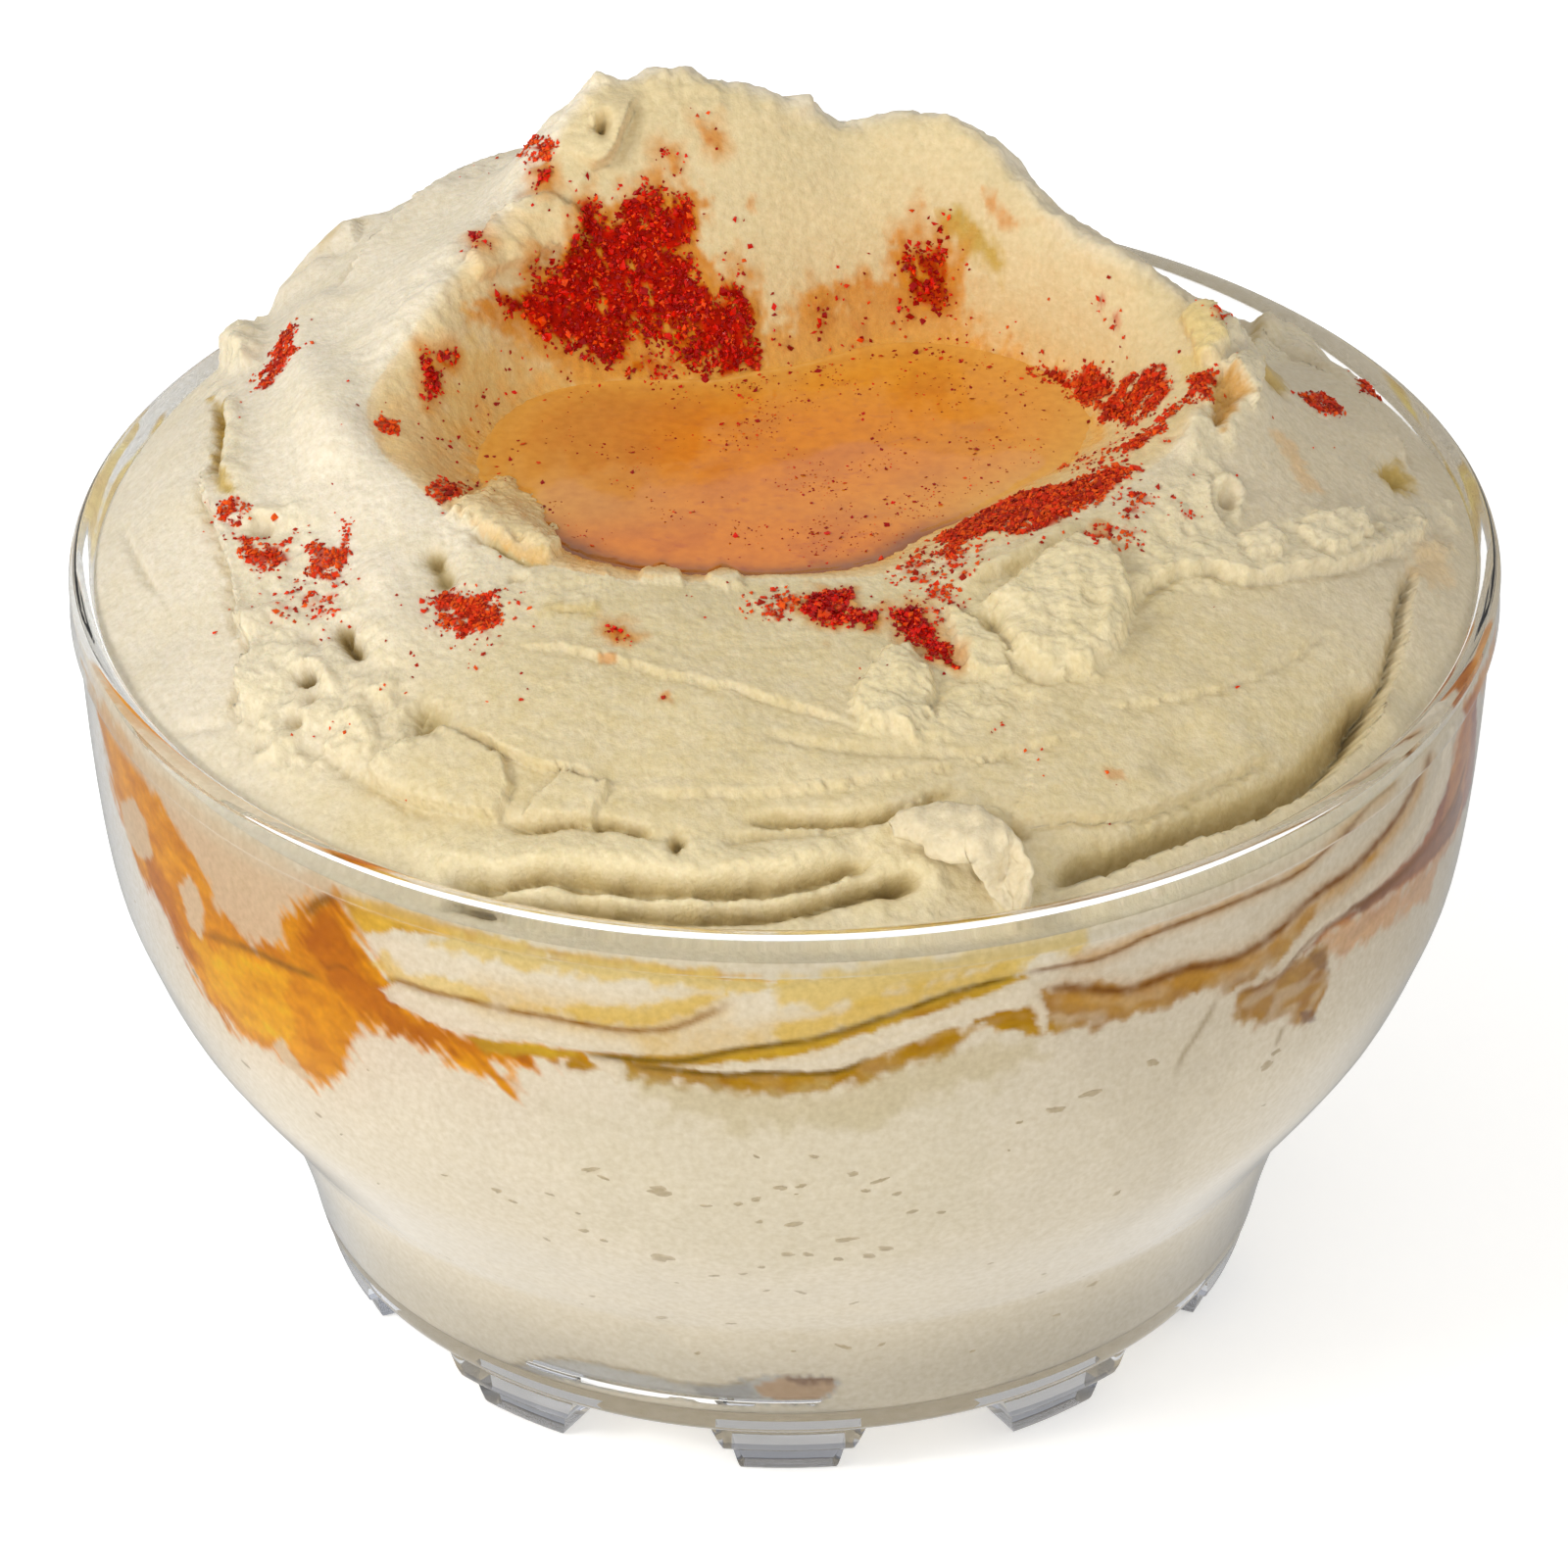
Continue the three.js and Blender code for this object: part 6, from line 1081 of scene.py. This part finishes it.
def grains(name, x, y, size, colours, lift, seed):
    """irregular eight-sided grains lying on the mound, or at the oil's level over the pool"""
    g = np.random.default_rng(seed)
    n = len(x)
    p, nn = surf(x, y)
    pool = (p[:, 2] < OIL_Z + 0.1) & (np.hypot(x - CX, y - CY) < periodic(POOL_R, np.arctan2(x - CX, -(y - CY))) + 3)
    p[:, 2] = np.where(pool, OIL_Z - 0.02, p[:, 2])
    nn = np.where(pool[:, None], [[0, 0, 1]], nn)
    p = p + nn * (lift * size)[:, None]
    a = np.cross(nn, g.normal(size=(n, 3)))
    a /= np.linalg.norm(a, axis=1)[:, None]
    b = np.cross(nn, a)
    tilt = g.normal(0, 0.35, (n, 2))
    up = nn + a * tilt[:, :1] + b * tilt[:, 1:]
    up /= np.linalg.norm(up, axis=1)[:, None]
    a = np.cross(b, up)
    a /= np.linalg.norm(a, axis=1)[:, None]
    b = np.cross(up, a)
    rad = g.uniform(0.62, 1.3, (n, 6)) * np.array([1.0, 1.0, 0.72, 0.72, 0.5, 0.5]) * size[:, None] * 0.5
    flat = np.where(pool, 0.35, 1.0)
    v = np.zeros((n, 6, 3))
    skew = g.normal(0, 0.16, (n, 6, 3)) * size[:, None, None] * 0.5
    for i in range(6):
        s = OCT_V[i]
        v[:, i] = p + rad[:, i][:, None] * (a * s[0] + b * s[1] + up * s[2] * flat[:, None]) + skew[:, i] * flat[:, None]
    f = (np.arange(n) * 6)[:, None, None] + OCT_F[None]
    c = np.repeat(colours, 6, 0)
    o = build(name, v.reshape(-1, 3), f.reshape(-1, 3), c)
    o.data.polygons.foreach_set("use_smooth", np.zeros(len(o.data.polygons), bool))
    return o


g = np.random.default_rng(5)
GX, GY, GS, GW, GD = [], [], [], [], []
for w, dark, dens, edge, pts in SPICE:
    P = np.array(pts, float)
    lo, hi = P.min(0) - edge * 2 - 0.5, P.max(0) + edge * 2 + 0.5
    n = int((hi - lo).prod() * 18.0 * dens)
    x, y = g.uniform(lo[0], hi[0], n), g.uniform(lo[1], hi[1], n)
    jag = 0.8 * fbm(x / 2.2, y / 2.2, 0.0, 2, seed=3) + 0.5 * noise(x / 0.8, y / 0.8, 0.0, 9)
    sd = in_poly(P, x, y) + edge * jag + 1.1 * fbm(x / 3.0, y / 3.0, 0.0, 2, seed=115) - 0.1
    isle = 0.9 * fbm(x / 1.7, y / 1.7, 0.0, 2, seed=113) + 0.45 * fbm(x / 0.8, y / 0.8, 0.0, 2, seed=83)
    clump = 0.12 + 0.88 * smooth((isle + 0.95 * dens - 0.25) / 0.5)
    keep = (g.random(n) < smooth((sd + edge * 0.6) / (edge * 1.2)) * clump) | ((g.random(n) < 0.05 * np.exp(np.minimum(sd, 0) / (edge * 1.2))))
    x, y = x[keep], y[keep]
    GX.append(x); GY.append(y)
    s = np.clip(g.lognormal(math.log(0.44), 0.36, len(x)), 0.2, 1.15)
    GS.append(s)
    GW.append(np.full(len(x), w)); GD.append(np.full(len(x), dark))
for x, y, s in SPECKS:
    GX.append([x]); GY.append([y]); GS.append([s]); GW.append([0.3]); GD.append([0.2])
# flecks that float in the pool
n = 4200
fa_, fr_ = g.uniform(-math.pi, math.pi, n), np.sqrt(g.random(n))
fr_ = fr_ * periodic(POOL_R, fa_) * 0.96
fx_, fy_ = CX + np.sin(fa_) * fr_, CY - np.cos(fa_) * fr_
keep = g.random(n) < smooth(0.3 + 0.9 * fbm(fx_ / 6, fy_ / 6, 0.0, 2, seed=127) + 0.012 * fx_)
fx_, fy_ = fx_[keep], fy_[keep]
GX.append(fx_); GY.append(fy_); GS.append(np.clip(g.lognormal(math.log(0.21), 0.5, len(fx_)), 0.1, 0.85))
GW.append(np.full(len(fx_), 1.0)); GD.append(np.full(len(fx_), 1.0))
GX, GY, GS, GW, GD = (np.concatenate(a) for a in (GX, GY, GS, GW, GD))
ok = np.hypot(GX, GY) < 66.3
GX, GY, GS, GW, GD = GX[ok], GY[ok], GS[ok], GW[ok], GD[ok]
u = g.random(len(GX))
# grain colours: dark and bright reds, and an orange hot_c that is partly a painted highlight
dark_c, bright_c, hot_c, dry_c, drydark_c = lin((158, 5, 3)), lin((214, 22, 2)), lin((232, 72, 8)), lin((224, 84, 10)), lin((164, 32, 5))
GC = np.where((u < 0.30 + 0.4 * GD)[:, None], dark_c, np.where((u < 0.85)[:, None], bright_c, hot_c))
dryc = np.where((u < 0.2 + 0.3 * GD)[:, None], drydark_c, np.where((u < 0.6)[:, None], lin((220, 52, 8)), dry_c))
is_wet = GW > 0.5
GC = np.where(is_wet[:, None], GC, dryc) * g.uniform(0.8, 1.2, (len(GX), 1))
print("grains", len(GX), int(is_wet.sum()))
for name, sel, rough_v, sd_ in (("paprika_wet", is_wet, 0.24, 17), ("paprika_dry", ~is_wet, 0.6, 19)):
    o = grains(name, GX[sel], GY[sel], GS[sel], GC[sel], 0.12, sd_)
    m, nt, bsdf, new, link = nodes_of(name)
    att = new("ShaderNodeAttribute"); att.attribute_name = "Col"
    tc = new("ShaderNodeTexCoord")
    n1 = new("ShaderNodeTexNoise"); n1.inputs["Scale"].default_value = 2600; n1.inputs["Detail"].default_value = 3
    link(tc.outputs["Object"], n1.inputs["Vector"])
    ramp = new("ShaderNodeValToRGB")
    ramp.color_ramp.elements[0].position, ramp.color_ramp.elements[0].color = 0.3, (0.7, 0.62, 0.6, 1)
    ramp.color_ramp.elements[1].position, ramp.color_ramp.elements[1].color = 0.7, (1.1, 1.05, 1.0, 1)
    link(n1.outputs["Fac"], ramp.inputs["Fac"])
    mul = new("ShaderNodeMix"); mul.data_type = "RGBA"; mul.blend_type = "MULTIPLY"; mul.inputs[0].default_value = 0.8
    link(att.outputs["Color"], mul.inputs[6]); link(ramp.outputs["Color"], mul.inputs[7]); link(mul.outputs[2], bsdf.inputs["Base Color"])
    bump = new("ShaderNodeBump"); bump.inputs["Strength"].default_value = 0.5; bump.inputs["Distance"].default_value = 0.00008
    link(n1.outputs["Fac"], bump.inputs["Height"]); link(bump.outputs["Normal"], bsdf.inputs["Normal"])
    bsdf.inputs["Roughness"].default_value = rough_v
    bsdf.inputs["Specular IOR Level"].default_value = 0.22
    o.data.materials.append(m)
    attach(o, "root")

# ---------------------------------------------------------------- torn flap that curls over the front right
FLAP = [[[9.7, -55.8, 82.1], [10.3, -56.8, 82.3], [10.4, -56.7, 81.6]], [[11.4, -54.9, 83.1], [11.8, -57.5, 83.0], [12.1, -57.7, 81.6]], [[14.3, -54.9, 83.9], [14.0, -58.9, 83.3], [14.1, -60.1, 81.1]], [[16.9, -55.9, 84.3], [16.7, -59.9, 83.5], [17.0, -61.4, 81.5]], [[18.6, -57.3, 84.6], [17.9, -60.7, 83.7], [17.0, -61.8, 81.8]], [[20.7, -59.3, 84.1], [19.8, -60.4, 82.5], [17.9, -62.0, 80.3]], [[22.0, -61.0, 82.8], [20.5, -60.4, 80.2], [18.8, -62.2, 79.2]], [[22.8, -62.1, 81.2], [21.1, -61.5, 78.8], [19.7, -62.8, 78.2]], [[22.4, -63.4, 79.2], [21.6, -62.7, 77.8], [20.6, -63.2, 77.5]], [[21.9, -63.8, 77.4], [21.3, -63.5, 77.1], [20.7, -63.5, 77.0]]]


def sheet_piece(name, rows, nu, nv, thick, seed):
    """a closed, uneven sheet through rows of three points"""
    R = np.array(rows, float)
    n = len(R)
    u = np.linspace(0, n - 1, nu)
    i = np.clip(np.floor(u).astype(int), 0, n - 2)
    t = (u - i)[:, None, None]
    Q = np.concatenate([2 * R[:1] - R[1:2], R, 2 * R[-1:] - R[-2:-1]])
    a, b, c, d = Q[i], Q[i + 1], Q[i + 2], Q[i + 3]
    L = 0.5 * (2 * b + (c - a) * t + (2 * a - 5 * b + 4 * c - d) * t ** 2 + (3 * b - a - 3 * c + d) * t ** 3)
    v = np.linspace(0, 1, nv)
    w0, w1, w2 = (1 - v) * (1 - 2 * v), 4 * v * (1 - v), v * (2 * v - 1)
    G = L[:, None, 0] * w0[None, :, None] + L[:, None, 1] * w1[None, :, None] + L[:, None, 2] * w2[None, :, None]
    # ragged outline
    rag = 0.5 * noise(np.arange(nu) / 3.1, 0.0, 0.0, seed)[:, None]
    side = (G[:, -1] - G[:, 0])
    G = G + side[:, None] * (((v - 0.5) * 2)[None, :, None] * 0.07 * rag[:, :, None])
    N = np.cross(np.gradient(G, axis=0), np.gradient(G, axis=1))
    N /= np.maximum(np.linalg.norm(N, axis=-1, keepdims=True), 1e-9)
    if N[..., 2].mean() < 0:
        N = -N
    x, y, z = G[..., 0], G[..., 1], G[..., 2]
    G = G + N * (0.30 * fbm(x / 1.7, y / 1.7, z / 1.7, 3, seed=seed))[..., None]
    edge = np.sqrt(np.clip(1 - ((v - 0.5) * 2) ** 4, 0.03, 1))[None, :] * np.sqrt(np.clip(smooth((nu - 1 - np.arange(nu)) / 5.0), 0.05, 1))[:, None]
    T = (thick * edge * (1 + 0.3 * fbm(x / 1.2, y / 1.2, z / 1.2, 2, seed=seed + 4)))[..., None]
    up, dn = G + N * T * 0.5, G - N * T * 0.5
    V = np.concatenate([up.reshape(-1, 3), dn.reshape(-1, 3)])
    idx = np.arange(nu * nv).reshape(nu, nv)
    q1 = np.stack([idx[:-1, :-1], idx[1:, :-1], idx[1:, 1:], idx[:-1, 1:]], -1).reshape(-1, 4)
    q2 = q1[:, ::-1] + nu * nv
    loop = np.concatenate([idx[0, :-1], idx[:-1, -1], idx[-1, :0:-1], idx[:0:-1, 0]])
    nxt = np.roll(loop, -1)
    q3 = np.stack([loop, nxt, nxt + nu * nv, loop + nu * nv], -1)
    return V, np.concatenate([q1, q2, q3]), up


def closed_piece(name, V, F, colours, wetv, mat):
    o = build(name, V, F, colours, {"wet": wetv})
    b_ = bmesh.new(); b_.from_mesh(o.data); bmesh.ops.recalc_face_normals(b_, faces=b_.faces); b_.to_mesh(o.data); b_.free()
    o.data.materials.append(mat)
    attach(o, "root")
    return o


V, F, up_ = sheet_piece("flap", FLAP, 64, 26, 1.25, 7)
c_ = np.repeat((PASTE * (0.88, 0.84, 0.72))[None], len(V), 0)
c_ *= (1 + 0.05 * fbm(V[:, 0] / 1.5, V[:, 1] / 1.5, V[:, 2] / 1.5, 3, seed=5))[:, None]
closed_piece("hummus_flap", V, F, c_, np.full(len(V), 0.35), PASTE_MAT)

# ---------------------------------------------------------------- air pockets between the fill and the glass
g = np.random.default_rng(23)
PV, PF, PC = [], [], []
pores = list(PORES)
for _ in range(90):
    pores.append((g.uniform(-180, 180), g.uniform(16, 54), float(np.clip(g.lognormal(math.log(0.32), 0.4), 0.15, 0.8))))
for az_, z_, s_ in pores:
    a_ = math.radians(az_)
    rr_ = float(inner_r(z_)) + INSIDE + 0.05
    c = np.array([rr_ * math.sin(a_), -rr_ * math.cos(a_), z_])
    sl = float(inner_r(z_ + 0.5) - inner_r(z_ - 0.5))
    nrm = np.array([math.sin(a_), -math.cos(a_), -sl]); nrm /= np.linalg.norm(nrm)
    tu = np.array([math.cos(a_), math.sin(a_), 0.0])
    tv = np.cross(nrm, tu)
    k = 14
    ang = np.linspace(0, 2 * math.pi, k, endpoint=False)
    w_ = s_ * (1 + 0.3 * g.normal(size=k) * 0.6 + 0.25 * np.cos(2 * ang + g.uniform(0, 6))) * 0.62
    tilt = g.uniform(-0.5, 0.5)
    long = g.uniform(1.15, 1.9)
    ex = np.cos(ang) * w_ * long
    ey = np.sin(ang) * w_ * 0.72
    ex, ey = ex * math.cos(tilt) - ey * math.sin(tilt), ex * math.sin(tilt) + ey * math.cos(tilt)
    start = len(PV)
    # each pocket is painted darker than the paste and darkest in its middle: painted shade in the recess
    for sc, up_ in ((1.0, -0.14), (0.92, 0.06), (0.55, 0.13)):
        for e1, e2 in zip(ex, ey):
            PV.append(c + (tu * e1 + tv * e2) * sc + nrm * up_)
            PC.append(lin((226, 212, 186)) if sc > 0.9 else lin((204, 188, 158)))
    PV.append(c + nrm * 0.14); PC.append(lin((204, 188, 158)))
    PV.append(c - nrm * 0.16); PC.append(lin((204, 188, 158)))
    for ring in (0, 1):
        for i in range(k):
            j = (i + 1) % k
            A, B, C_, D_ = start + ring * k + i, start + ring * k + j, start + (ring + 1) * k + j, start + (ring + 1) * k + i
            PF += [(A, B, C_), (A, C_, D_)]
    for i in range(k):
        j = (i + 1) % k
        PF.append((start + 2 * k + i, start + 2 * k + j, start + 3 * k))
        PF.append((start + j, start + i, start + 3 * k + 1))
closed_piece("air_pockets", np.array(PV), np.array(PF), np.array(PC), np.zeros(len(PV)), WALL_MAT)

# ---------------------------------------------------------------- glass bowl
RIM_R, RIM_H = 70.0, 78.6
def outline():
    """outer wall up, over the lip and down the inside, as (radius, height)"""
    p = [(0.0, 5.0), (20.0, 5.0), (36.0, 5.0), (43.0, 5.0), (44.6, 5.08), (45.5, 5.3)]
    for z in list(np.arange(5.9, 9, 0.5)) + list(np.arange(9, 20.5, 1.5)) + [20.8, 21.3, 21.8, 22.3, 22.9, 23.6] + list(np.arange(24.5, 73, 1.5)):
        p.append((float(outer_r(z)), z))
    p += [(69.25, 73.4), (69.3, 73.75), (69.45, 73.98), (69.72, 74.1), (69.92, 74.3), (70.0, 74.6), (69.97, 75.4), (69.9, 76.4), (69.95, 77.4), (70.0, 77.95), (69.9, 78.35), (69.62, 78.58), (69.2, 78.66), (68.6, 78.6), (68.05, 78.4), (67.7, 78.05), (67.52, 77.5), (67.48, 76.5), (67.48, 75.4)]
    for z in list(np.arange(74.5, 26, -1.5)) + [25.2, 24.4, 23.6, 22.9, 22.3, 21.7, 21.1] + list(np.arange(20, 11.2, -1.25)):
        p.append((float(inner_r(z)), z))
    for t in np.linspace(0.06, 1, 9):
        z = 11.3 - 3.5 * math.sin(t * math.pi / 2)
        p.append((float(inner_r(max(z, 7.8005))), z))
    p += [(38.0, 7.8), (22.0, 7.8), (0.0, 7.8)]
    return np.array(p)


prof = outline()
NG = 240
ga = np.arange(NG) * 2 * math.pi / NG
ring_r, ring_z = prof[1:-1, 0], prof[1:-1, 1]
GV = np.stack([np.sin(ga)[:, None] * ring_r, -np.cos(ga)[:, None] * ring_r, np.repeat(ring_z[None], NG, 0)], -1)
K = len(ring_r)
gv = np.concatenate([GV.reshape(-1, 3), [[0, 0, prof[0, 1]], [0, 0, prof[-1, 1]]]])
quads = strip_faces(np.append(np.arange(NG), 0), K, 0, K - 1)
gm = bpy.data.meshes.new("glass_bowl")
cap0 = [(int(((i + 1) % NG) * K), int(i * K), NG * K) for i in range(NG)]
cap1 = [(int(i * K + K - 1), int(((i + 1) % NG) * K + K - 1), NG * K + 1) for i in range(NG)]
gm.from_pydata([tuple(v * MM) for v in gv], [], [tuple(int(i) for i in f) for f in quads] + cap0 + cap1)
glass = bpy.data.objects.new("glass_bowl", gm)
scene.collection.objects.link(glass)
bm = bmesh.new(); bm.from_mesh(gm); bmesh.ops.recalc_face_normals(bm, faces=bm.faces)
if bm.calc_volume(signed=True) < 0:
    bmesh.ops.reverse_faces(bm, faces=bm.faces)
bm.to_mesh(gm); bm.free()

# ten stepped feet, each a stack of rings that follows the base circle
FOOT = [(7.35, 36.5, 47.05, 9.9), (6.3, 36.9, 47.0, 9.3), (4.6, 37.5, 46.75, 8.45), (3.75, 37.9, 46.45, 8.0), (3.45, 38.15, 46.2, 7.75), (3.3, 38.5, 45.75, 7.4),
        (3.15, 38.75, 45.3, 7.05), (2.6, 38.9, 45.15, 6.85), (1.5, 39.15, 44.9, 6.55), (0.55, 39.4, 44.65, 6.25), (0.18, 39.6, 44.45, 6.05), (0.0, 39.85, 44.2, 5.8)]
fm = bpy.data.meshes.new("feet")
fv, ff = [], []
NARC = 8
for kf in range(10):
    c0 = kf * 36.0
    start = len(fv)
    per_ring = 2 * (NARC + 1)
    for z, r0, r1, half in FOOT:
        for t in np.linspace(-1, 1, NARC + 1):
            a = math.radians(c0 + half * t)
            fv.append((r1 * math.sin(a) * MM, -r1 * math.cos(a) * MM, z * MM))
        for t in np.linspace(1, -1, NARC + 1):
            a = math.radians(c0 + half * t * r1 / r0 * 0.92)
            fv.append((r0 * math.sin(a) * MM, -r0 * math.cos(a) * MM, z * MM))
    for i in range(len(FOOT) - 1):
        for j in range(per_ring):
            a, b = start + i * per_ring + j, start + i * per_ring + (j + 1) % per_ring
            ff.append((a, b, b + per_ring, a + per_ring))
    ff.append(tuple(start + j for j in range(per_ring)))
    ff.append(tuple(start + (len(FOOT) - 1) * per_ring + j for j in reversed(range(per_ring))))
fm.from_pydata(fv, [], ff)
bm = bmesh.new(); bm.from_mesh(fm); bmesh.ops.recalc_face_normals(bm, faces=bm.faces)
if bm.calc_volume(signed=True) < 0:
    bmesh.ops.reverse_faces(bm, faces=bm.faces)
bm.to_mesh(fm); bm.free()
feet = bpy.data.objects.new("feet", fm)
scene.collection.objects.link(feet)
mod = glass.modifiers.new("union", "BOOLEAN")
mod.operation, mod.solver, mod.object = "UNION", "EXACT", feet
bpy.context.view_layer.update()
done = bpy.data.meshes.new_from_object(glass.evaluated_get(bpy.context.evaluated_depsgraph_get()))
glass.modifiers.clear()
glass.data = done
bpy.data.objects.remove(feet)
bm = bmesh.new(); bm.from_mesh(done); bmesh.ops.triangulate(bm, faces=[f for f in bm.faces if len(f.verts) > 4]); bm.to_mesh(done); bm.free()
done.polygons.foreach_set("use_smooth", np.ones(len(done.polygons), bool))
done.set_sharp_from_angle(angle=math.radians(32))
m, nt, bsdf, new, link = nodes_of("clear_glass")
bsdf.inputs["Base Color"].default_value = (0.985, 0.992, 0.992, 1)
bsdf.inputs["Transmission Weight"].default_value = 1.0
bsdf.inputs["Roughness"].default_value = 0.0
bsdf.inputs["IOR"].default_value = 1.5
bsdf.inputs["Specular Tint"].default_value = (0.28, 0.28, 0.29, 1)
tc = new("ShaderNodeTexCoord")
n1 = new("ShaderNodeTexNoise"); n1.inputs["Scale"].default_value = 55; n1.inputs["Detail"].default_value = 2
link(tc.outputs["Object"], n1.inputs["Vector"])
bump = new("ShaderNodeBump"); bump.inputs["Strength"].default_value = 0.08; bump.inputs["Distance"].default_value = 0.0006
link(n1.outputs["Fac"], bump.inputs["Height"]); link(bump.outputs["Normal"], bsdf.inputs["Normal"])
# the feet's glass is tinted dark blue-grey: painted shade in the feet
foot_m = m.copy()
foot_m.name = "clear_glass_feet_painted_shade"
foot_m.node_tree.nodes["Principled BSDF"].inputs["Base Color"].default_value = (0.38, 0.4, 0.46, 1)
done.materials.clear(); done.materials.append(m); done.materials.append(foot_m)
for p_ in done.polygons:
    p_.material_index = 1 if p_.center.z < 0.00495 else 0
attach(glass, "root")
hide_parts("bowl")

# ---------------------------------------------------------------- floor and light
S = 8.0
fl = build("floor", np.array([(-S, -S, 0), (S, -S, 0), (S, S, 0), (-S, S, 0)]) * 1000, np.array([[0, 1, 2, 3]]))
m, nt, bsdf, new, link = nodes_of("floor")
tc = new("ShaderNodeTexCoord")
n1 = new("ShaderNodeTexNoise"); n1.inputs["Scale"].default_value = 6; n1.inputs["Detail"].default_value = 3
link(tc.outputs["Object"], n1.inputs["Vector"])
ramp = new("ShaderNodeValToRGB")
ramp.color_ramp.elements[0].color, ramp.color_ramp.elements[1].color = (0.93, 0.93, 0.93, 1), (0.95, 0.95, 0.95, 1)
link(n1.outputs["Fac"], ramp.inputs["Fac"]); link(ramp.outputs["Color"], bsdf.inputs["Base Color"])
bsdf.inputs["Roughness"].default_value = 0.9
bsdf.inputs["Specular IOR Level"].default_value = 0.0
bsdf.inputs["Emission Color"].default_value = (1, 1, 1, 1)
bsdf.inputs["Emission Strength"].default_value = 0.42
fl.data.materials.append(m)
fl.visible_glossy = False
fl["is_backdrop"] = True

world = bpy.data.worlds.new("world")
scene.world = world
world.use_nodes = True
wn = world.node_tree
bg = wn.nodes["Background"]
tcw = wn.nodes.new("ShaderNodeTexCoord")
sep = wn.nodes.new("ShaderNodeSeparateXYZ")
wn.links.new(tcw.outputs["Generated"], sep.inputs[0])
half = wn.nodes.new("ShaderNodeMapRange")
half.inputs["From Min"].default_value, half.inputs["From Max"].default_value = -1.0, 1.0
wn.links.new(sep.outputs["Z"], half.inputs["Value"])
wr = wn.nodes.new("ShaderNodeValToRGB")
grey = lambda v: (v, v, v, 1)
wr.color_ramp.elements[0].position, wr.color_ramp.elements[0].color = 0.0, grey(0.95)
wr.color_ramp.elements[1].position, wr.color_ramp.elements[1].color = 0.875, grey(0.58)
for at, v in ((0.13, 0.95), (0.19, 0.45), (0.49, 0.36), (0.5, 0.4), (0.57, 0.4 * 1.2), (0.66, 0.8)):
    e = wr.color_ramp.elements.new(at)
    e.color = grey(v)
wn.links.new(half.outputs["Result"], wr.inputs["Fac"])
wn.links.new(wr.outputs["Color"], bg.inputs["Color"])
bg.inputs["Strength"].default_value = 1.0


def area(name, loc, target, size, power, colour=(1, 1, 1), mirrored=True):
    d = bpy.data.lights.new(name, "AREA")
    d.shape, d.size, d.energy, d.color = "DISK", size, power, colour
    o = bpy.data.objects.new(name, d)
    scene.collection.objects.link(o)
    o.visible_glossy = mirrored
    o.location = Vector(loc)
    o.rotation_mode = "QUATERNION"
    o.rotation_quaternion = (Vector(target) - Vector(loc)).to_track_quat("-Z", "Y")
    return o


for spec in [("key", (-1.0, -0.6, 0.85), (0, 0, 0.06), 0.6, 5.8, (1.0, 0.99, 0.97), False), ("left", (-1.3, 0.1, 0.35), (0, 0, 0.05), 0.8, 1.3, (0.97, 0.985, 1.0), False), ("glint", (-1.0, -0.6, 0.85), (0, 0, 0.06), 0.16, 2.4, (1.0, 0.99, 0.97), True), ("fill", (0.2, -1.5, 0.3), (0, 0, 0.05), 1.0, 8.5, (1.0, 1.0, 1.0), False)]:
    area(*spec)

scene.view_settings.view_transform = "Standard"
scene.view_settings.look = "None"
scene.view_settings.exposure = 0.0
scene.view_settings.gamma = 1.0

lo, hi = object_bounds()
{"cad": [list(cad_lo), list(cad_hi)], "visual": [list(lo), list(hi)]}
total = 0
for o in scene.objects:
    if o.type == "MESH":
        t = sum(len(p_.vertices) - 2 for p_ in o.data.polygons)
        total += t
        print("triangles", o.name, t)
print("triangles in all", total)
